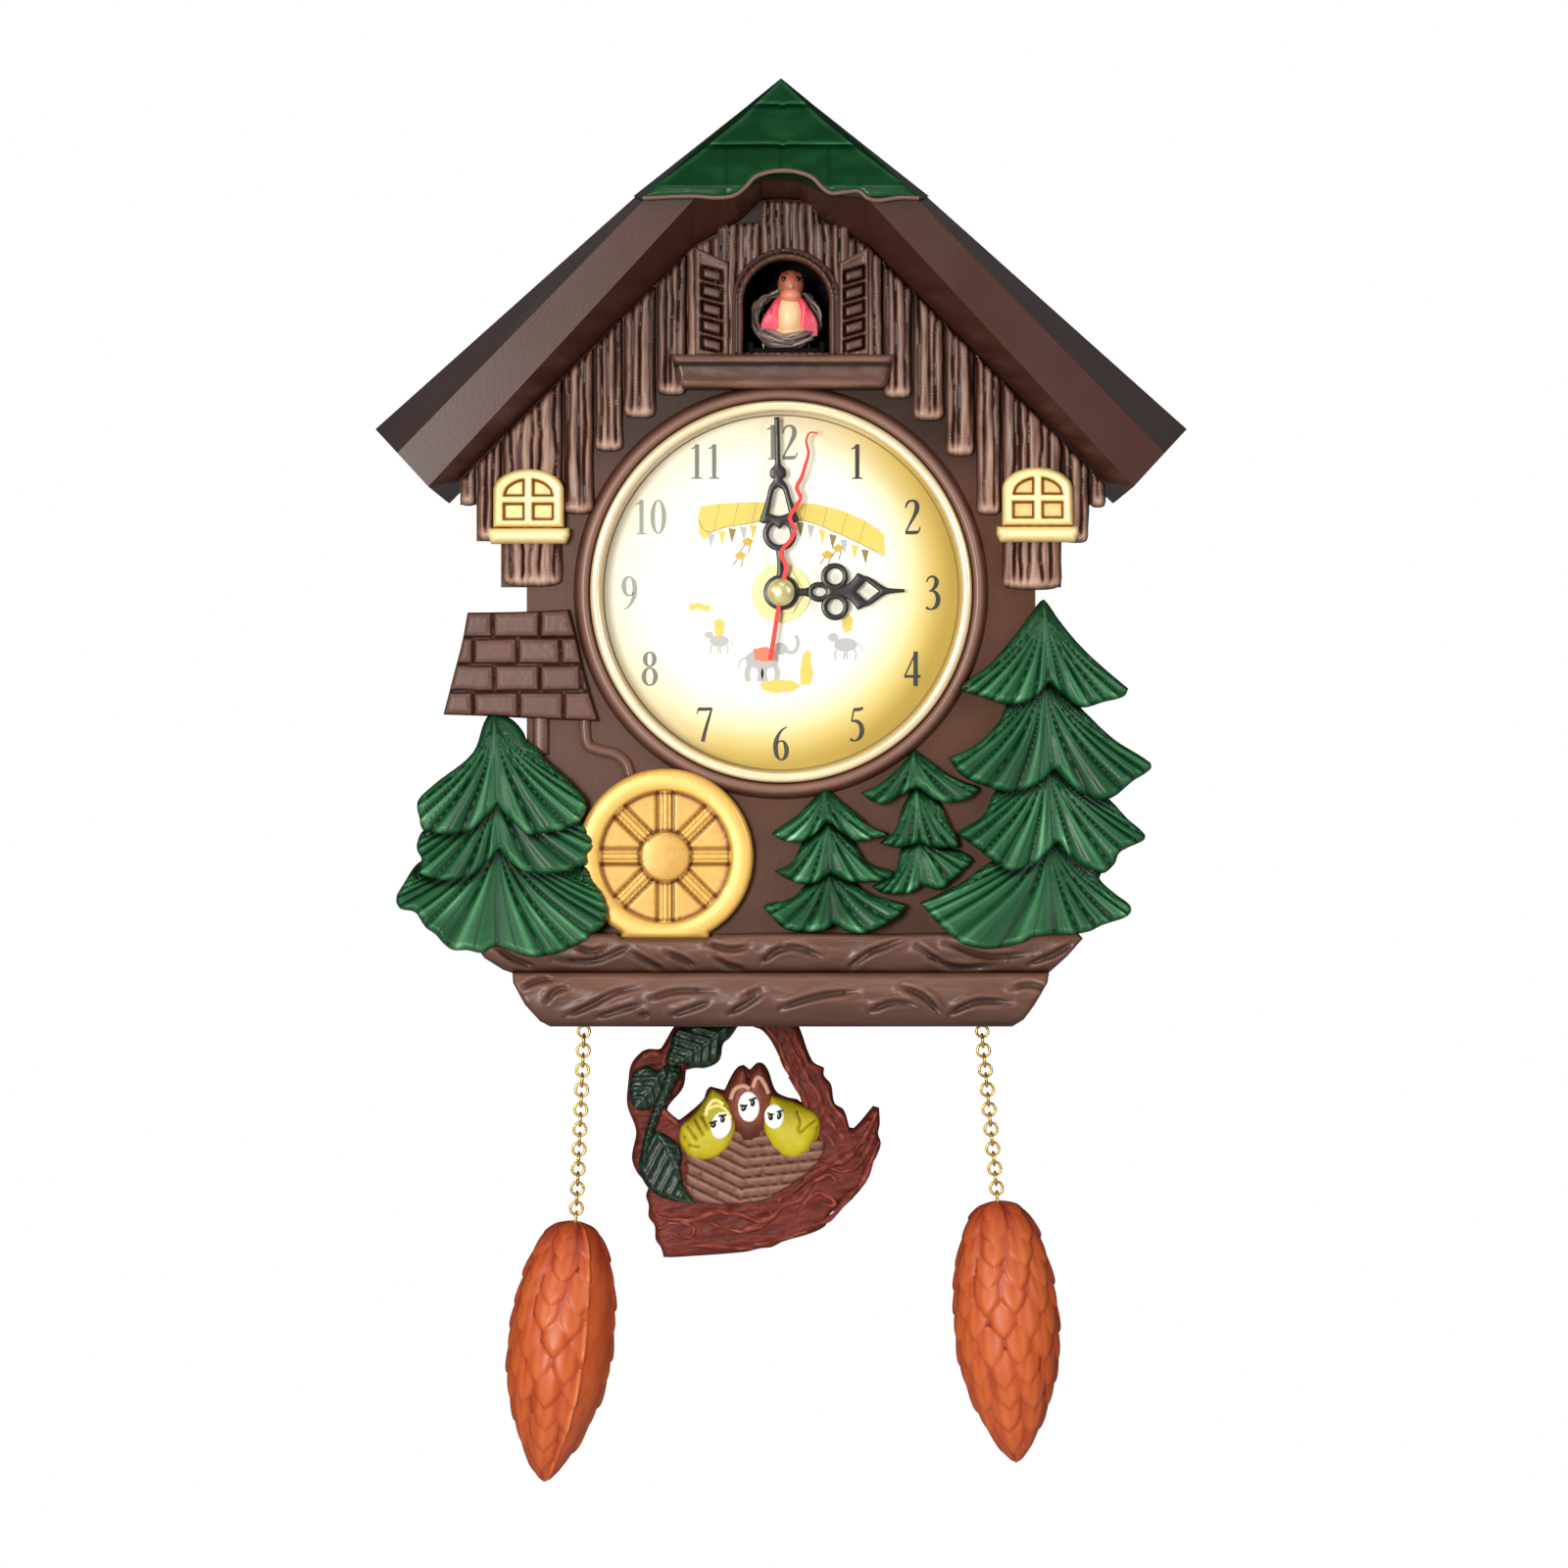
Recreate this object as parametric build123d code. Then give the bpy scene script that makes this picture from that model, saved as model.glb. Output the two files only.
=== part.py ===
from build123d import *
import math
import os

# Chalet-style pendulum wall clock, front towards -Y, wall plane at y = 0, +Z up.
# Origin: centre of the hanging hole in the back cover. All dimensions in millimetres.

# ---------------------------------------------------------------- driving dimensions
WALL = 2.2              # moulding wall of the case body
COVER_T = 3.0           # back cover thickness
HOLE_R = 4.0            # hanging hole radius
BODY_HALF = 75.0        # half width of the case body
BODY_BOTTOM = -222.3    # lower rim of the case body
PANEL_BACK = -43.5      # back face of the front panel
PANEL_FRONT = -46.0     # plain front face of the front panel
BOARD_FRONT = -49.0     # front face of the siding boards
ROOF_FRONT = -70.0      # front face of the barge boards
EAVES_K = 17.6          # soffit line: z = EAVES_K - |x|

DIAL_Z = -110.4         # height of the dial centre
DIAL_R = 55.4
BEZEL_OUT = 56.3
BEZEL_LIP = 53.2
BEZEL_IN = 54.3
COLLAR_IN = 56.5
COLLAR_OUT = 59.8
LENS_R = 54.2
DIAL_FRONT = -38.0
DIAL_BACK = -37.2

MOVE_HALF = 28.0        # half width of the square quartz movement
MOVE_BACK = -21.2
BOSS_R = 4.8
HOUR_TUBE_R, MINUTE_TUBE_R, SECOND_PIN_R = 3.0, 2.4, 0.95
RUN = 0.05              # radial running clearance

BIRD_X = 1.5            # centre of the bird window
WIN_HALF, WIN_LOW, WIN_SPRING = 12.7, -39.9, -25.3
BIRD_TRAVEL = 12.0

PIVOT_Z, PEND_Y = -161.0, -14.0
PEND_LEAN = 3.85        # rest lean of the pendulum, degrees, foot towards -X

WIRE_R = 0.4            # chain wire
LINK_R = 1.8            # link centreline half width
LINK_H = 1.88           # link centreline half height
LINK_PITCH = 2.92
CHAIN_Y = -40.0
EYE_MAJOR = 1.7
EYE_DROP = 2.2          # eye centre below the underside of the base
BASE_BOTTOM = -238.0
LEFT_EYE_X, RIGHT_EYE_X = -58.3, 59.5
LEFT_LINKS, RIGHT_LINKS = 18, 16
LEFT_CHAIN_LEAN, RIGHT_CHAIN_LEAN = 2.5, -5.4      # degrees, positive: foot towards -X
LEFT_CONE_LEAN, RIGHT_CONE_LEAN = 6.9, -4.1

DOOR_X0, DOOR_X1, DOOR_Z0, DOOR_Z1 = -30.0, 68.0, -160.0, -86.0
DOOR_TRAVEL = 9.5
SWITCH_TRAVEL = 4.0

# ---------------------------------------------------------------- outlines (x, z)
PINE_LARGE = [
    [
        (77.7, -112.8), (81.9, -118.7), (87.4, -125.5), (94.2, -132.2), (102.2, -139), (100.8, -141.3),
        (95, -142.9), (88.3, -144.5), (83.6, -141.3), (79.1, -137.3), (76, -140.7), (72.2, -143),
        (65.4, -143.5), (59.1, -141.5), (52.9, -139.7), (53.6, -137.7), (61.2, -131.8), (68, -124.2),
        (73.1, -117.4), (76.4, -113.2),
    ],
    [
        (79, -134.8), (89.1, -145.3), (98, -153.8), (108.7, -160.8), (108.6, -162.8), (103.5, -166.2),
        (97.6, -170.9), (92.5, -171.8), (85.7, -167.9), (80.7, -162.7), (77.3, -165.9), (73.9, -167.9),
        (68, -169.6), (61.2, -168.1), (53.2, -164.5), (49.2, -159.4), (57, -155.5), (63.8, -149.1),
        (66.7, -143.2), (73.9, -138.1),
    ],
    [
        (81.1, -160.1), (96.7, -171.5), (101.8, -177), (107.1, -181.9), (106.7, -183.6), (101.8, -185.9),
        (99.3, -187.6), (98, -190.7), (94.2, -193.3), (86.6, -189.9), (81.5, -184.2), (78.1, -187.6),
        (73.9, -191.2), (67.1, -192.9), (62.1, -189.6), (57, -185.5), (51.7, -181.9), (52.6, -180.8),
        (59.5, -176.2), (63.1, -169.1), (73.9, -163.5),
    ],
    [
        (81.5, -182.1), (94.2, -192.7), (93.8, -195), (98.4, -199.4), (102.8, -203.1), (101.8, -205.8),
        (94.2, -208.5), (90.8, -210.2), (84.9, -211.3), (73.9, -211.9), (70.5, -213.7), (61.2, -215.5),
        (53.6, -214.2), (49, -210.9), (44.7, -206.6), (40.9, -202), (43.5, -200.9), (53.6, -195.8),
        (62.1, -189.7), (73.9, -185.5),
    ],
]
PINE_SMALL_LEFT = [
    [
        (13.4, -168.4), (17.3, -171.5), (23.2, -176.6), (26.6, -179.6), (31, -181.1), (30.8, -182.3),
        (24.9, -183.6), (21.5, -184), (17.7, -181.3), (13.9, -178.6), (10.5, -181.3), (6.3, -184.1),
        (0.3, -183.6), (-2.9, -181.8), (-1.4, -180.4), (4.6, -176.2), (10.5, -170.3),
    ],
    [
        (14.3, -177), (21.5, -183.8), (24.9, -189.7), (33, -192.7), (32.5, -195), (25.7, -196),
        (19.8, -195.8), (14.7, -193.8), (10.5, -196), (6.3, -196.5), (1.2, -194.8), (-2, -192.7),
        (2.9, -190.2), (6.3, -184.2), (10.5, -180.4),
    ],
    [
        (14.9, -192.3), (21.5, -195.8), (26.6, -199.5), (36.9, -202.4), (35.4, -205), (31.6, -207.9),
        (24.9, -210.9), (18.9, -210.2), (16, -208.5), (13, -210), (9.6, -210.5), (4.6, -210.5),
        (0.3, -209.2), (-5.4, -203.3), (-4.3, -202.3), (2.9, -200.7), (7.1, -196.7), (11.3, -194),
    ],
]
PINE_SMALL_RIGHT = [
    [
        (39.3, -156.6), (43.5, -159.7), (48.6, -163.7), (53.6, -166.2), (58, -167.6), (57.9, -169.3),
        (53.6, -172.1), (48.6, -172.6), (44.3, -171.1), (40.1, -168.3), (35.4, -170.4), (29.9, -173.2),
        (26.6, -172.1), (23.3, -169.6), (29.1, -166.9), (35, -161.8),
    ],
    [
        (40.1, -166), (46.9, -172.4), (50.2, -179.6), (52.4, -183.8), (51.9, -185.9), (44.3, -185.7),
        (40.9, -184.4), (37.6, -185.3), (33.3, -185.8), (28.9, -184.5), (33.3, -180.6), (35.7, -173.8),
        (38.4, -168.6),
    ],
    [
        (41.1, -182.5), (48.6, -185.5), (53.6, -186.8), (57, -189.3), (51.9, -194.4), (46.9, -198.2),
        (41.8, -197.3), (40.1, -198.2), (36.7, -199.5), (29.9, -199.2), (26.6, -197.3), (33.3, -192.7),
        (35.4, -185.9), (39.3, -183.4),
    ],
]
PINE_LEFT = [
    [
        (-83.3, -146.6), (-79.3, -148), (-76.1, -151.5), (-74.7, -154.4), (-71.8, -156.1), (-69.5, -159.3),
        (-62, -166.2), (-57.4, -171.9), (-57.4, -175.1), (-59.1, -178), (-62.6, -180.3), (-68.3, -181.5),
        (-74.1, -182), (-79.3, -178), (-83.3, -173.4), (-87.1, -177.4), (-91.4, -180.9), (-96.6, -182),
        (-101.8, -181.5), (-105.2, -180.6), (-106.4, -176.8), (-106.9, -172.2), (-102.3, -167.3),
        (-90.8, -157.8), (-86.8, -147.4),
    ],
    [
        (-83.3, -167), (-59.1, -178), (-56.5, -181.2), (-55.1, -184.9), (-56.8, -188.1), (-57.1, -190.7),
        (-61.1, -192.4), (-66.9, -193.6), (-72.6, -193.8), (-77.5, -191.8), (-82.7, -186.6), (-87.1, -191.3),
        (-92, -195), (-97.7, -195.9), (-102.9, -195.3), (-107.5, -193), (-105.8, -189.5), (-107.2, -186.1),
        (-106.7, -182.9), (-105.2, -180.6),
    ],
    [
        (-83.3, -181.5), (-57.1, -190.7), (-55.3, -195.3), (-52.2, -199.6), (-50.7, -205.7), (-52.7, -209.4),
        (-55.3, -211.1), (-57.4, -213.2), (-67.2, -217.2), (-74.7, -217.5), (-83.6, -214.9), (-87.6, -216.6),
        (-92.2, -215.8), (-96, -215.8), (-98.6, -214.3), (-101.5, -211.1), (-104.4, -209.1),
        (-107.5, -204.8), (-111.8, -203.7), (-113, -201.9), (-113, -199.9), (-111.8, -197.6),
        (-105.8, -189.5),
    ],
]
BOB_OUTER = [
    (-35.2, -308.9), (-36.1, -305.9), (-37.6, -303.6), (-37.9, -299.5), (-39.7, -296.8), (-39.7, -293.3),
    (-40.5, -290.4), (-39.9, -287.4), (-42.9, -283.9), (-44.6, -280.1), (-44.6, -277.4), (-43.5, -271),
    (-46.1, -263.3), (-45.8, -256.3), (-44.9, -251), (-42, -247.5), (-39.9, -246.6), (-36.7, -246.6),
    (-35.8, -246), (-32, -239.6), (-26.7, -233.4), (-19.7, -227.5), (-11.5, -225.2), (-3.8, -228.1),
    (1.8, -234), (5.3, -239.6), (9.4, -250.1), (12.9, -252.2), (12.9, -254.5), (15, -257.2), (16.1, -262.8),
    (18.8, -264.8), (20.5, -270.1), (22, -270.1), (27.6, -263.6), (29.4, -264.2), (29.6, -268.9),
    (29.1, -271.9), (29.9, -274.8), (28.5, -278.9), (26.1, -283), (25.2, -286.3), (22.6, -289.2),
    (18.5, -292.1), (17, -294.2), (14.7, -295.9), (14.1, -298), (12.9, -299.8), (8.8, -301.8), (0.6, -304.2),
    (-2.9, -305.9), (-5.9, -306.2), (-11.5, -307.4), (-32, -308.9),
]
BOB_INNER = [
    (-29.4, -258.1), (-33.2, -262.8), (-34.1, -264.5), (-33.8, -265.4), (-30.8, -267.8), (-30, -267.5),
    (-23.5, -261.9), (-22.3, -258.9), (-21.2, -257.8), (-17, -258.9), (-14.7, -254.2), (-12.9, -251.9),
    (-11.2, -251.3), (-9.4, -252.8), (-7.1, -250.7), (-5.3, -251), (-3.8, -253.1), (-1.5, -259.2),
    (1.8, -261), (4.7, -261.6), (5.9, -262.5), (6.2, -261.9), (5.3, -259.8), (1.5, -253.1), (-2.7, -244.6),
    (-5.6, -241), (-8.8, -239.6), (-11.5, -237.5), (-12.9, -239.6), (-15.3, -243.1), (-17.3, -244.9),
    (-18.2, -249.3), (-19.7, -251), (-22.9, -252.2), (-25.8, -252.2), (-28.5, -252.8),
]
BRICK = [
    (-92.4, -116.5), (-77.6, -116.3), (-62.4, -115.6), (-60.3, -123.8), (-57.7, -135.3), (-53.6, -148.6),
    (-68.4, -148), (-85.7, -147.1), (-99.5, -146.6), (-96.6, -135.3), (-94, -125.2),
]


# ---------------------------------------------------------------- helpers
def poly_face(pts, y):
    return Face(Wire.make_polygon([Vector(x, y, z) for x, z in pts], close=True))


def prism(pts, y0, y1):
    """Prism of an (x, z) outline from y0 to y1."""
    return Solid.extrude(poly_face(pts, y0), Vector(0, y1 - y0, 0))


def loft2(pts0, y0, pts1, y1):
    w0 = Wire.make_polygon([Vector(x, y0, z) for x, z in pts0], close=True)
    w1 = Wire.make_polygon([Vector(x, y1, z) for x, z in pts1], close=True)
    return Solid.make_loft([w0, w1], ruled=True)


def box(x0, x1, y0, y1, z0, z1):
    x0, x1 = sorted((x0, x1))
    y0, y1 = sorted((y0, y1))
    z0, z1 = sorted((z0, z1))
    return Solid.make_box(x1 - x0, y1 - y0, z1 - z0).moved(Location((x0, y0, z0)))


def cyl_y(x, z, r, y0, y1):
    """Cylinder along Y from y0 (rear) to y1 (front)."""
    a, b = max(y0, y1), min(y0, y1)
    return Solid.make_cylinder(r, a - b, Plane(origin=(x, a, z), x_dir=(1, 0, 0), z_dir=(0, -1, 0)))


def cyl_z(x, y, r, z0, z1):
    return Solid.make_cylinder(r, abs(z1 - z0), Plane(origin=(x, y, min(z0, z1)), z_dir=(0, 0, 1)))


def cyl_x(y, z, r, x0, x1):
    return Solid.make_cylinder(r, abs(x1 - x0), Plane(origin=(min(x0, x1), y, z), z_dir=(1, 0, 0)))


def fuse(*parts):
    out = parts[0]
    for p in parts[1:]:
        out = out + p
    return out


def cut(base, *tools):
    out = base
    for t in tools:
        out = out - t
    return out


def solids_of(shape):
    if isinstance(shape, (list, tuple)):
        return [s for x in shape for s in solids_of(x)]
    return list(shape.solids())


def write(name, *shapes):
    s = [x for sh in shapes for x in solids_of(sh)]
    out = s[0] if len(s) == 1 else Compound(s)
    export_step(out, "parts/%s.step" % name)


def ring_y(x, z, r_out, r_in, y0, y1):
    return cut(cyl_y(x, z, r_out, y0, y1), cyl_y(x, z, r_in, y0 + 1, y1 - 1))


def turned(shape, x, y, z, degrees):
    """Turn about an axis along Y through (x, y, z); positive swings the foot towards -X."""
    return shape.rotate(Axis((x, y, z), (0, 1, 0)), degrees)


def mirror_pts(pts):
    return [(-x, z) for x, z in reversed(pts)]


def sym(pts):
    """Closed outline from its left half, listed upwards along the left side."""
    return pts + [(-x, z) for x, z in reversed(pts) if x != 0]


os.makedirs("parts", exist_ok=True)

# ---------------------------------------------------------------- roof
roof_back = [(-122.4, -60.0), (-43.8, 10.3), (0, 44.9), (43.8, 10.3), (122.4, -60.0), (99.0, -83.4), (0, -24.0),
             (-99.0, -83.4)]
roof_front = [(-111.8, -70.6), (-39.9, 3.1), (0, 38.0), (39.9, 3.1), (111.8, -70.6), (102.8, -80.4), (0, -24.0),
              (-102.8, -80.4)]
roof_outer = loft2(roof_back, 0, roof_front, ROOF_FRONT)

soffit_front = [(-112.0, -140.0), (-112.0, -90.3), (-25.2, 3.5), (-13.7, 4.6), (-5.4, 10.7), (5.4, 10.7), (13.7, 4.6),
                (25.2, 3.5), (112.0, -90.3), (112.0, -140.0)]
soffit_rear = [(-108.0, -140.0), (-108.0, -90.4), (-25.8, -8.2), (-12.3, -1.0), (-5.6, 5.4), (5.6, 5.4), (12.3, -1.0),
               (25.8, -8.2), (108.0, -90.4), (108.0, -140.0)]
soffit_space = loft2(soffit_rear, -47.0, soffit_front, ROOF_FRONT)
soffit_space2 = prism(soffit_front, ROOF_FRONT, ROOF_FRONT - 6)
gable = [(-100.0, -140.0), (-100.0, EAVES_K - 100.0), (0, EAVES_K), (100.0, EAVES_K - 100.0), (100.0, -140.0)]
panel_space = prism(soffit_rear, -47.0, PANEL_BACK)
case_space = prism(gable, 1.0, PANEL_BACK)

cap_back = [(-44.6, 10.3), (0, 45.6), (44.6, 10.3)]
cap_front = [(-40.9, 3.2), (0, 38.8), (40.9, 3.2)]
cap_block = loft2(cap_back, 0, cap_front, ROOF_FRONT - 2.5)
hip_cut = prism([(-60, 0), (-60, 80), (60, 80), (60, 0)], 0, -60).rotate(Axis((0, 0, 0), (1, 0, 0)), -51.0)
hip_cut = hip_cut.moved(Location((0, ROOF_FRONT - 2.5, 7.0)))
cap_block = cut(cap_block, hip_cut)
cap_inner = cap_block.moved(Location((0, 2.2, -3.4)))
roof_cap = cut(cap_block, cap_inner, soffit_space, soffit_space2)
pocket_back = [(-118.0, -60.1), (-46.0, 4.3), (-33.0, -11.2), (-100.0, -78.2)]
pocket_front = [(-106.9, -70.1), (-40.2, -1.8), (-33.4, -1.2), (-102.4, -75.6)]
pocket_l = loft2(pocket_back, 0.5, pocket_front, ROOF_FRONT + 4)
pocket_r = loft2(mirror_pts(pocket_back), 0.5, mirror_pts(pocket_front), ROOF_FRONT + 4)
roof_shell = cut(roof_outer, cut(cap_block, cap_inner), soffit_space, soffit_space2, panel_space, case_space,
                 pocket_l, pocket_r)
write("roof_shell", max(solids_of(roof_shell), key=lambda s: s.volume))
write("roof_cap", max(solids_of(roof_cap), key=lambda s: s.volume))

# ---------------------------------------------------------------- case body: open box with a gable top
body_out = [(-BODY_HALF, BODY_BOTTOM), (-BODY_HALF, EAVES_K - 0.3 - BODY_HALF), (0, EAVES_K - 0.3),
            (BODY_HALF, EAVES_K - 0.3 - BODY_HALF), (BODY_HALF, BODY_BOTTOM)]
inner_half = BODY_HALF - WALL
inner_k = EAVES_K - 0.3 - WALL * math.sqrt(2)
body_in = [(-inner_half, BODY_BOTTOM - 5), (-inner_half, inner_k - inner_half), (0, inner_k),
           (inner_half, inner_k - inner_half), (inner_half, BODY_BOTTOM - 5)]
case_body = cut(prism(body_out, -COVER_T, PANEL_BACK), prism(body_in, 1, PANEL_BACK - 1))
screw_pts = [(-69.5, -70.0), (69.5, -70.0), (-69.5, -164.0), (69.5, -164.0), (-69.5, -216.0), (69.5, -216.0)]
for x, z in screw_pts:
    case_body = fuse(case_body, cyl_y(x, z, 3.8, -COVER_T, -18.0))
case_body = cut(case_body, *[cyl_y(x, z, 1.3, 1, -15.0) for x, z in screw_pts])
case_body = cut(case_body, prism([(-90, -240), (-90, -50), (-BODY_HALF, -50), (-BODY_HALF, -240)], 1, -60),
                prism([(90, -240), (90, -50), (BODY_HALF, -50), (BODY_HALF, -240)], 1, -60))
write("case_body", case_body)

# ---------------------------------------------------------------- back cover
cover = prism([(-BODY_HALF, BODY_BOTTOM), (-BODY_HALF, EAVES_K - 0.3 - BODY_HALF), (0, EAVES_K - 0.3),
               (BODY_HALF, EAVES_K - 0.3 - BODY_HALF), (BODY_HALF, BODY_BOTTOM)], 0, -COVER_T)
cover = cut(cover, cyl_y(0, 0, HOLE_R, 1, -COVER_T - 1))
for x, z in screw_pts:
    cover = cut(cover, cyl_y(x, z, 1.5, 1, -COVER_T - 1), cyl_y(x, z, 3.1, 1, -1.8))
# door recess: shallow bay, undercut grooves behind two lips on each side, and the window through its floor
bay_z1 = DOOR_Z1 + DOOR_TRAVEL + 0.3
cover = cut(cover, box(DOOR_X0, DOOR_X1, 1, -2.2, DOOR_Z0 - 0.2, bay_z1))
groove_tabs = [(DOOR_Z0 + 8.0, DOOR_Z0 + 16.0), (DOOR_Z1 - 22.0, DOOR_Z1 - 14.0)]
for x0, x1 in ((DOOR_X0 - 2.0, DOOR_X0), (DOOR_X1, DOOR_X1 + 2.0)):
    for z0, z1 in groove_tabs:
        cover = cut(cover, box(x0, x1, -0.9, -2.2, z0 - 0.2, z1 + DOOR_TRAVEL + 0.3),
                    box(x0, x1, 1, -2.2, z0 + DOOR_TRAVEL - 0.3, z1 + DOOR_TRAVEL + 0.3))
cover = cut(cover, box(DOOR_X0 + 3, DOOR_X1 - 3, 1, -COVER_T - 1, DOOR_Z0 + 3, DOOR_Z1 - 3))
# sound slots behind the loudspeaker
SPK_X, SPK_Z, SPK_R = -47.0, -188.0, 18.0
for i in range(-3, 4):
    h = math.sqrt(14.0 ** 2 - (i * 4.0) ** 2)
    cover = cut(cover, box(SPK_X + i * 4.0 - 0.9, SPK_X + i * 4.0 + 0.9, 1, -COVER_T - 1, SPK_Z - h, SPK_Z + h))
# slot for the mode switch and two posts for the circuit board
cover = cut(cover, box(-57.4, -48.6, 1, -COVER_T - 1, -131.8, -128.2))
cover = fuse(cover, cyl_y(-62.0, -106.0, 2.5, -COVER_T, -10.4), cyl_y(-38.0, -152.0, 2.5, -COVER_T, -10.4))
write("back_cover", cover)

door = box(DOOR_X0 + 0.3, DOOR_X1 - 0.3, -0.2, -2.1, DOOR_Z0, DOOR_Z1)
for x0, x1 in ((DOOR_X0 - 1.7, DOOR_X0 + 1.0), (DOOR_X1 - 1.0, DOOR_X1 + 1.7)):
    for z0, z1 in groove_tabs:
        door = fuse(door, box(x0, x1, -1.05, -2.1, z0, z1))
for i in range(5):
    door = cut(door, box(9.0, 29.0, 1, -0.7, DOOR_Z1 - 8.0 - 2.4 * i, DOOR_Z1 - 9.2 - 2.4 * i))
write("battery_door", door)

write("cover_screws", *[fuse(cyl_y(x, z, 2.9, -0.2, -1.75), cyl_y(x, z, 1.25, -1.75, -14.0)) for x, z in screw_pts])

# ---------------------------------------------------------------- front panel
half_x = [94.6, 89.8, 84.0, 82.6, 64.7, 63.5, 55.6, 47.2, 37.6, 28.8]
half_z = [-84.7, -95.4, -109.0, -109.0, -109.0, -87.5, -69.6, -59.5, -52.8]
panel_left = [(-BODY_HALF, BODY_BOTTOM), (-BODY_HALF, -109.0), (-82.6, -109.0), (-82.6, -95.4), (-89.8, -95.4),
              (-89.8, -84.7), (-94.6, -84.7), (-94.6, EAVES_K - 0.3 - 94.6), (-26.0, -8.6), (-12.5, -1.2),
              (-5.7, 5.1)]
panel = prism(sym(panel_left), PANEL_BACK, PANEL_FRONT)
# siding boards with stepped lower ends
steps = [(94.6, 89.9, -84.7), (89.7, 83.6, -95.4), (83.4, 76.2, -109.0), (76.0, 70.6, -109.0), (70.4, 64.2, -109.0),
         (64.0, 55.7, -87.5), (55.5, 47.3, -69.6), (47.1, 37.7, -59.5), (37.5, 28.9, -52.8)]
for xa, xb, zb in steps:
    top_a, top_b = min(EAVES_K - 0.4 - xa, 0.0), min(EAVES_K - 0.4 - xb, -9.4)
    pts = [(-xa, zb + 1.2), (-xa, top_a), (-xb, top_b), (-xb, zb + 1.2), (-xb - 1.2, zb), (-xa + 1.2, zb)]
    panel = fuse(panel, prism(pts, PANEL_FRONT, BOARD_FRONT), prism(mirror_pts(pts), PANEL_FRONT, BOARD_FRONT))
# boards above and beside the bird window
gable_boards = [(-28.7, -52.0), (-28.7, -11.6), (-26.0, -8.9), (-12.5, -1.5), (-5.7, 4.8), (5.7, 4.8), (12.5, -1.5),
                (26.0, -8.9), (28.7, -11.6), (28.7, -52.0)]
panel = fuse(panel, prism(gable_boards, PANEL_FRONT, BOARD_FRONT))


def arch(xc, half, low, spring, y0, y1, grow=0.0):
    h = half + grow
    pts = [(xc - h, low)]
    for i in range(0, 25):
        a = math.pi * (1 - i / 24)
        pts.append((xc + h * math.cos(a), spring + h * math.sin(a)))
    pts.append((xc + h, low))
    return prism(pts, y0, y1)


panel = fuse(panel, arch(BIRD_X, WIN_HALF, -41.0, WIN_SPRING, PANEL_FRONT, -51.0, 2.7))
# open shutters with five slots each, and the sill
for s, xc in ((-1, -20.4), (1, 21.5)):
    inner, outer = xc - s * 4.7, xc + s * 4.7
    panel = fuse(panel, prism([(inner, -41.0), (inner, -13.4), (outer, -8.9), (outer, -41.0)], PANEL_FRONT, -51.4))
    for i in range(5):
        z = -17.0 - 5.2 * i
        panel = cut(panel, prism([(xc - 2.6, z - 1.5), (xc - 2.6, z + 1.5), (xc + 2.6, z + 1.5 + 0.9 * s),
                                  (xc + 2.6, z - 1.5 + 0.9 * s)], -49.8, -53))
panel = fuse(panel, box(-32.6, 32.6, PANEL_FRONT, -55.5, -42.2, -40.6),
             prism([(-31.8, -42.2), (31.8, -42.2), (30.6, -50.9), (-30.6, -50.9)], PANEL_FRONT, -54.0))
panel = cut(panel, arch(BIRD_X, WIN_HALF, WIN_LOW, WIN_SPRING, -40, -58))
# moulded collar round the dial, with a rear lip that carries the dial
panel = cut(panel, cyl_y(0, DIAL_Z, COLLAR_IN, -40, -52))
collar = ring_y(0, DIAL_Z, COLLAR_OUT, COLLAR_IN, DIAL_BACK, -49.6)
lip = ring_y(0, DIAL_Z, COLLAR_OUT, 52.0, DIAL_BACK + 1.6, DIAL_BACK)
panel = fuse(panel, collar, lip)
panel = cut(panel, ring_y(0, DIAL_Z, COLLAR_IN, 1.0, DIAL_BACK, -60))
# down pipe moulded below the brick panel and the post above it
WHEEL_X, WHEEL_Z, WHEEL_R = -34.1, -188.4, 26.0
pipes = fuse(box(-73.0, -68.6, PANEL_FRONT, -48.0, -158.0, -147.0),
             box(-59.2, -56.4, PANEL_FRONT, -48.6, -156.0, -147.0),
             prism([(-59.0, -154.0), (-56.8, -153.4), (-52.6, -156.1), (-46.0, -157.0), (-43.6, -163.5),
                    (-46.4, -164.0), (-48.0, -159.6), (-53.2, -159.0)], PANEL_FRONT, -48.6))
pipes = cut(pipes, prism(BRICK, -40, -60), cyl_y(WHEEL_X, WHEEL_Z, WHEEL_R, -40, -60),
            *[prism(t, -40, -60) for t in PINE_LEFT])
panel = fuse(panel, *solids_of(pipes))
write("front_panel", panel)

# ---------------------------------------------------------------- log base: front relief and a trough below the case
log_upper = [(-88.6, -208.5), (-91.0, -212.5), (-87.0, -218.2), (-81.7, -221.4), (-79.0, BODY_BOTTOM),
             (78.6, BODY_BOTTOM), (84.0, -217.4), (88.6, -212.0), (87.0, -208.5)]
log_lower = [(-78.8, BODY_BOTTOM), (-78.6, -225.4), (-75.1, -231.8), (-70.8, -237.0), (-68.2, BASE_BOTTOM),
             (68.6, BASE_BOTTOM), (71.2, -236.4), (74.4, -231.8), (78.2, -225.3), (78.6, BODY_BOTTOM)]
log_in = [(-75.8, BODY_BOTTOM + 3), (-75.8, -225.4), (-72.6, -231.0), (-69.0, -235.4), (69.0, -235.4), (72.6, -231.0),
          (75.8, -225.4), (75.8, BODY_BOTTOM + 3)]
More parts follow.
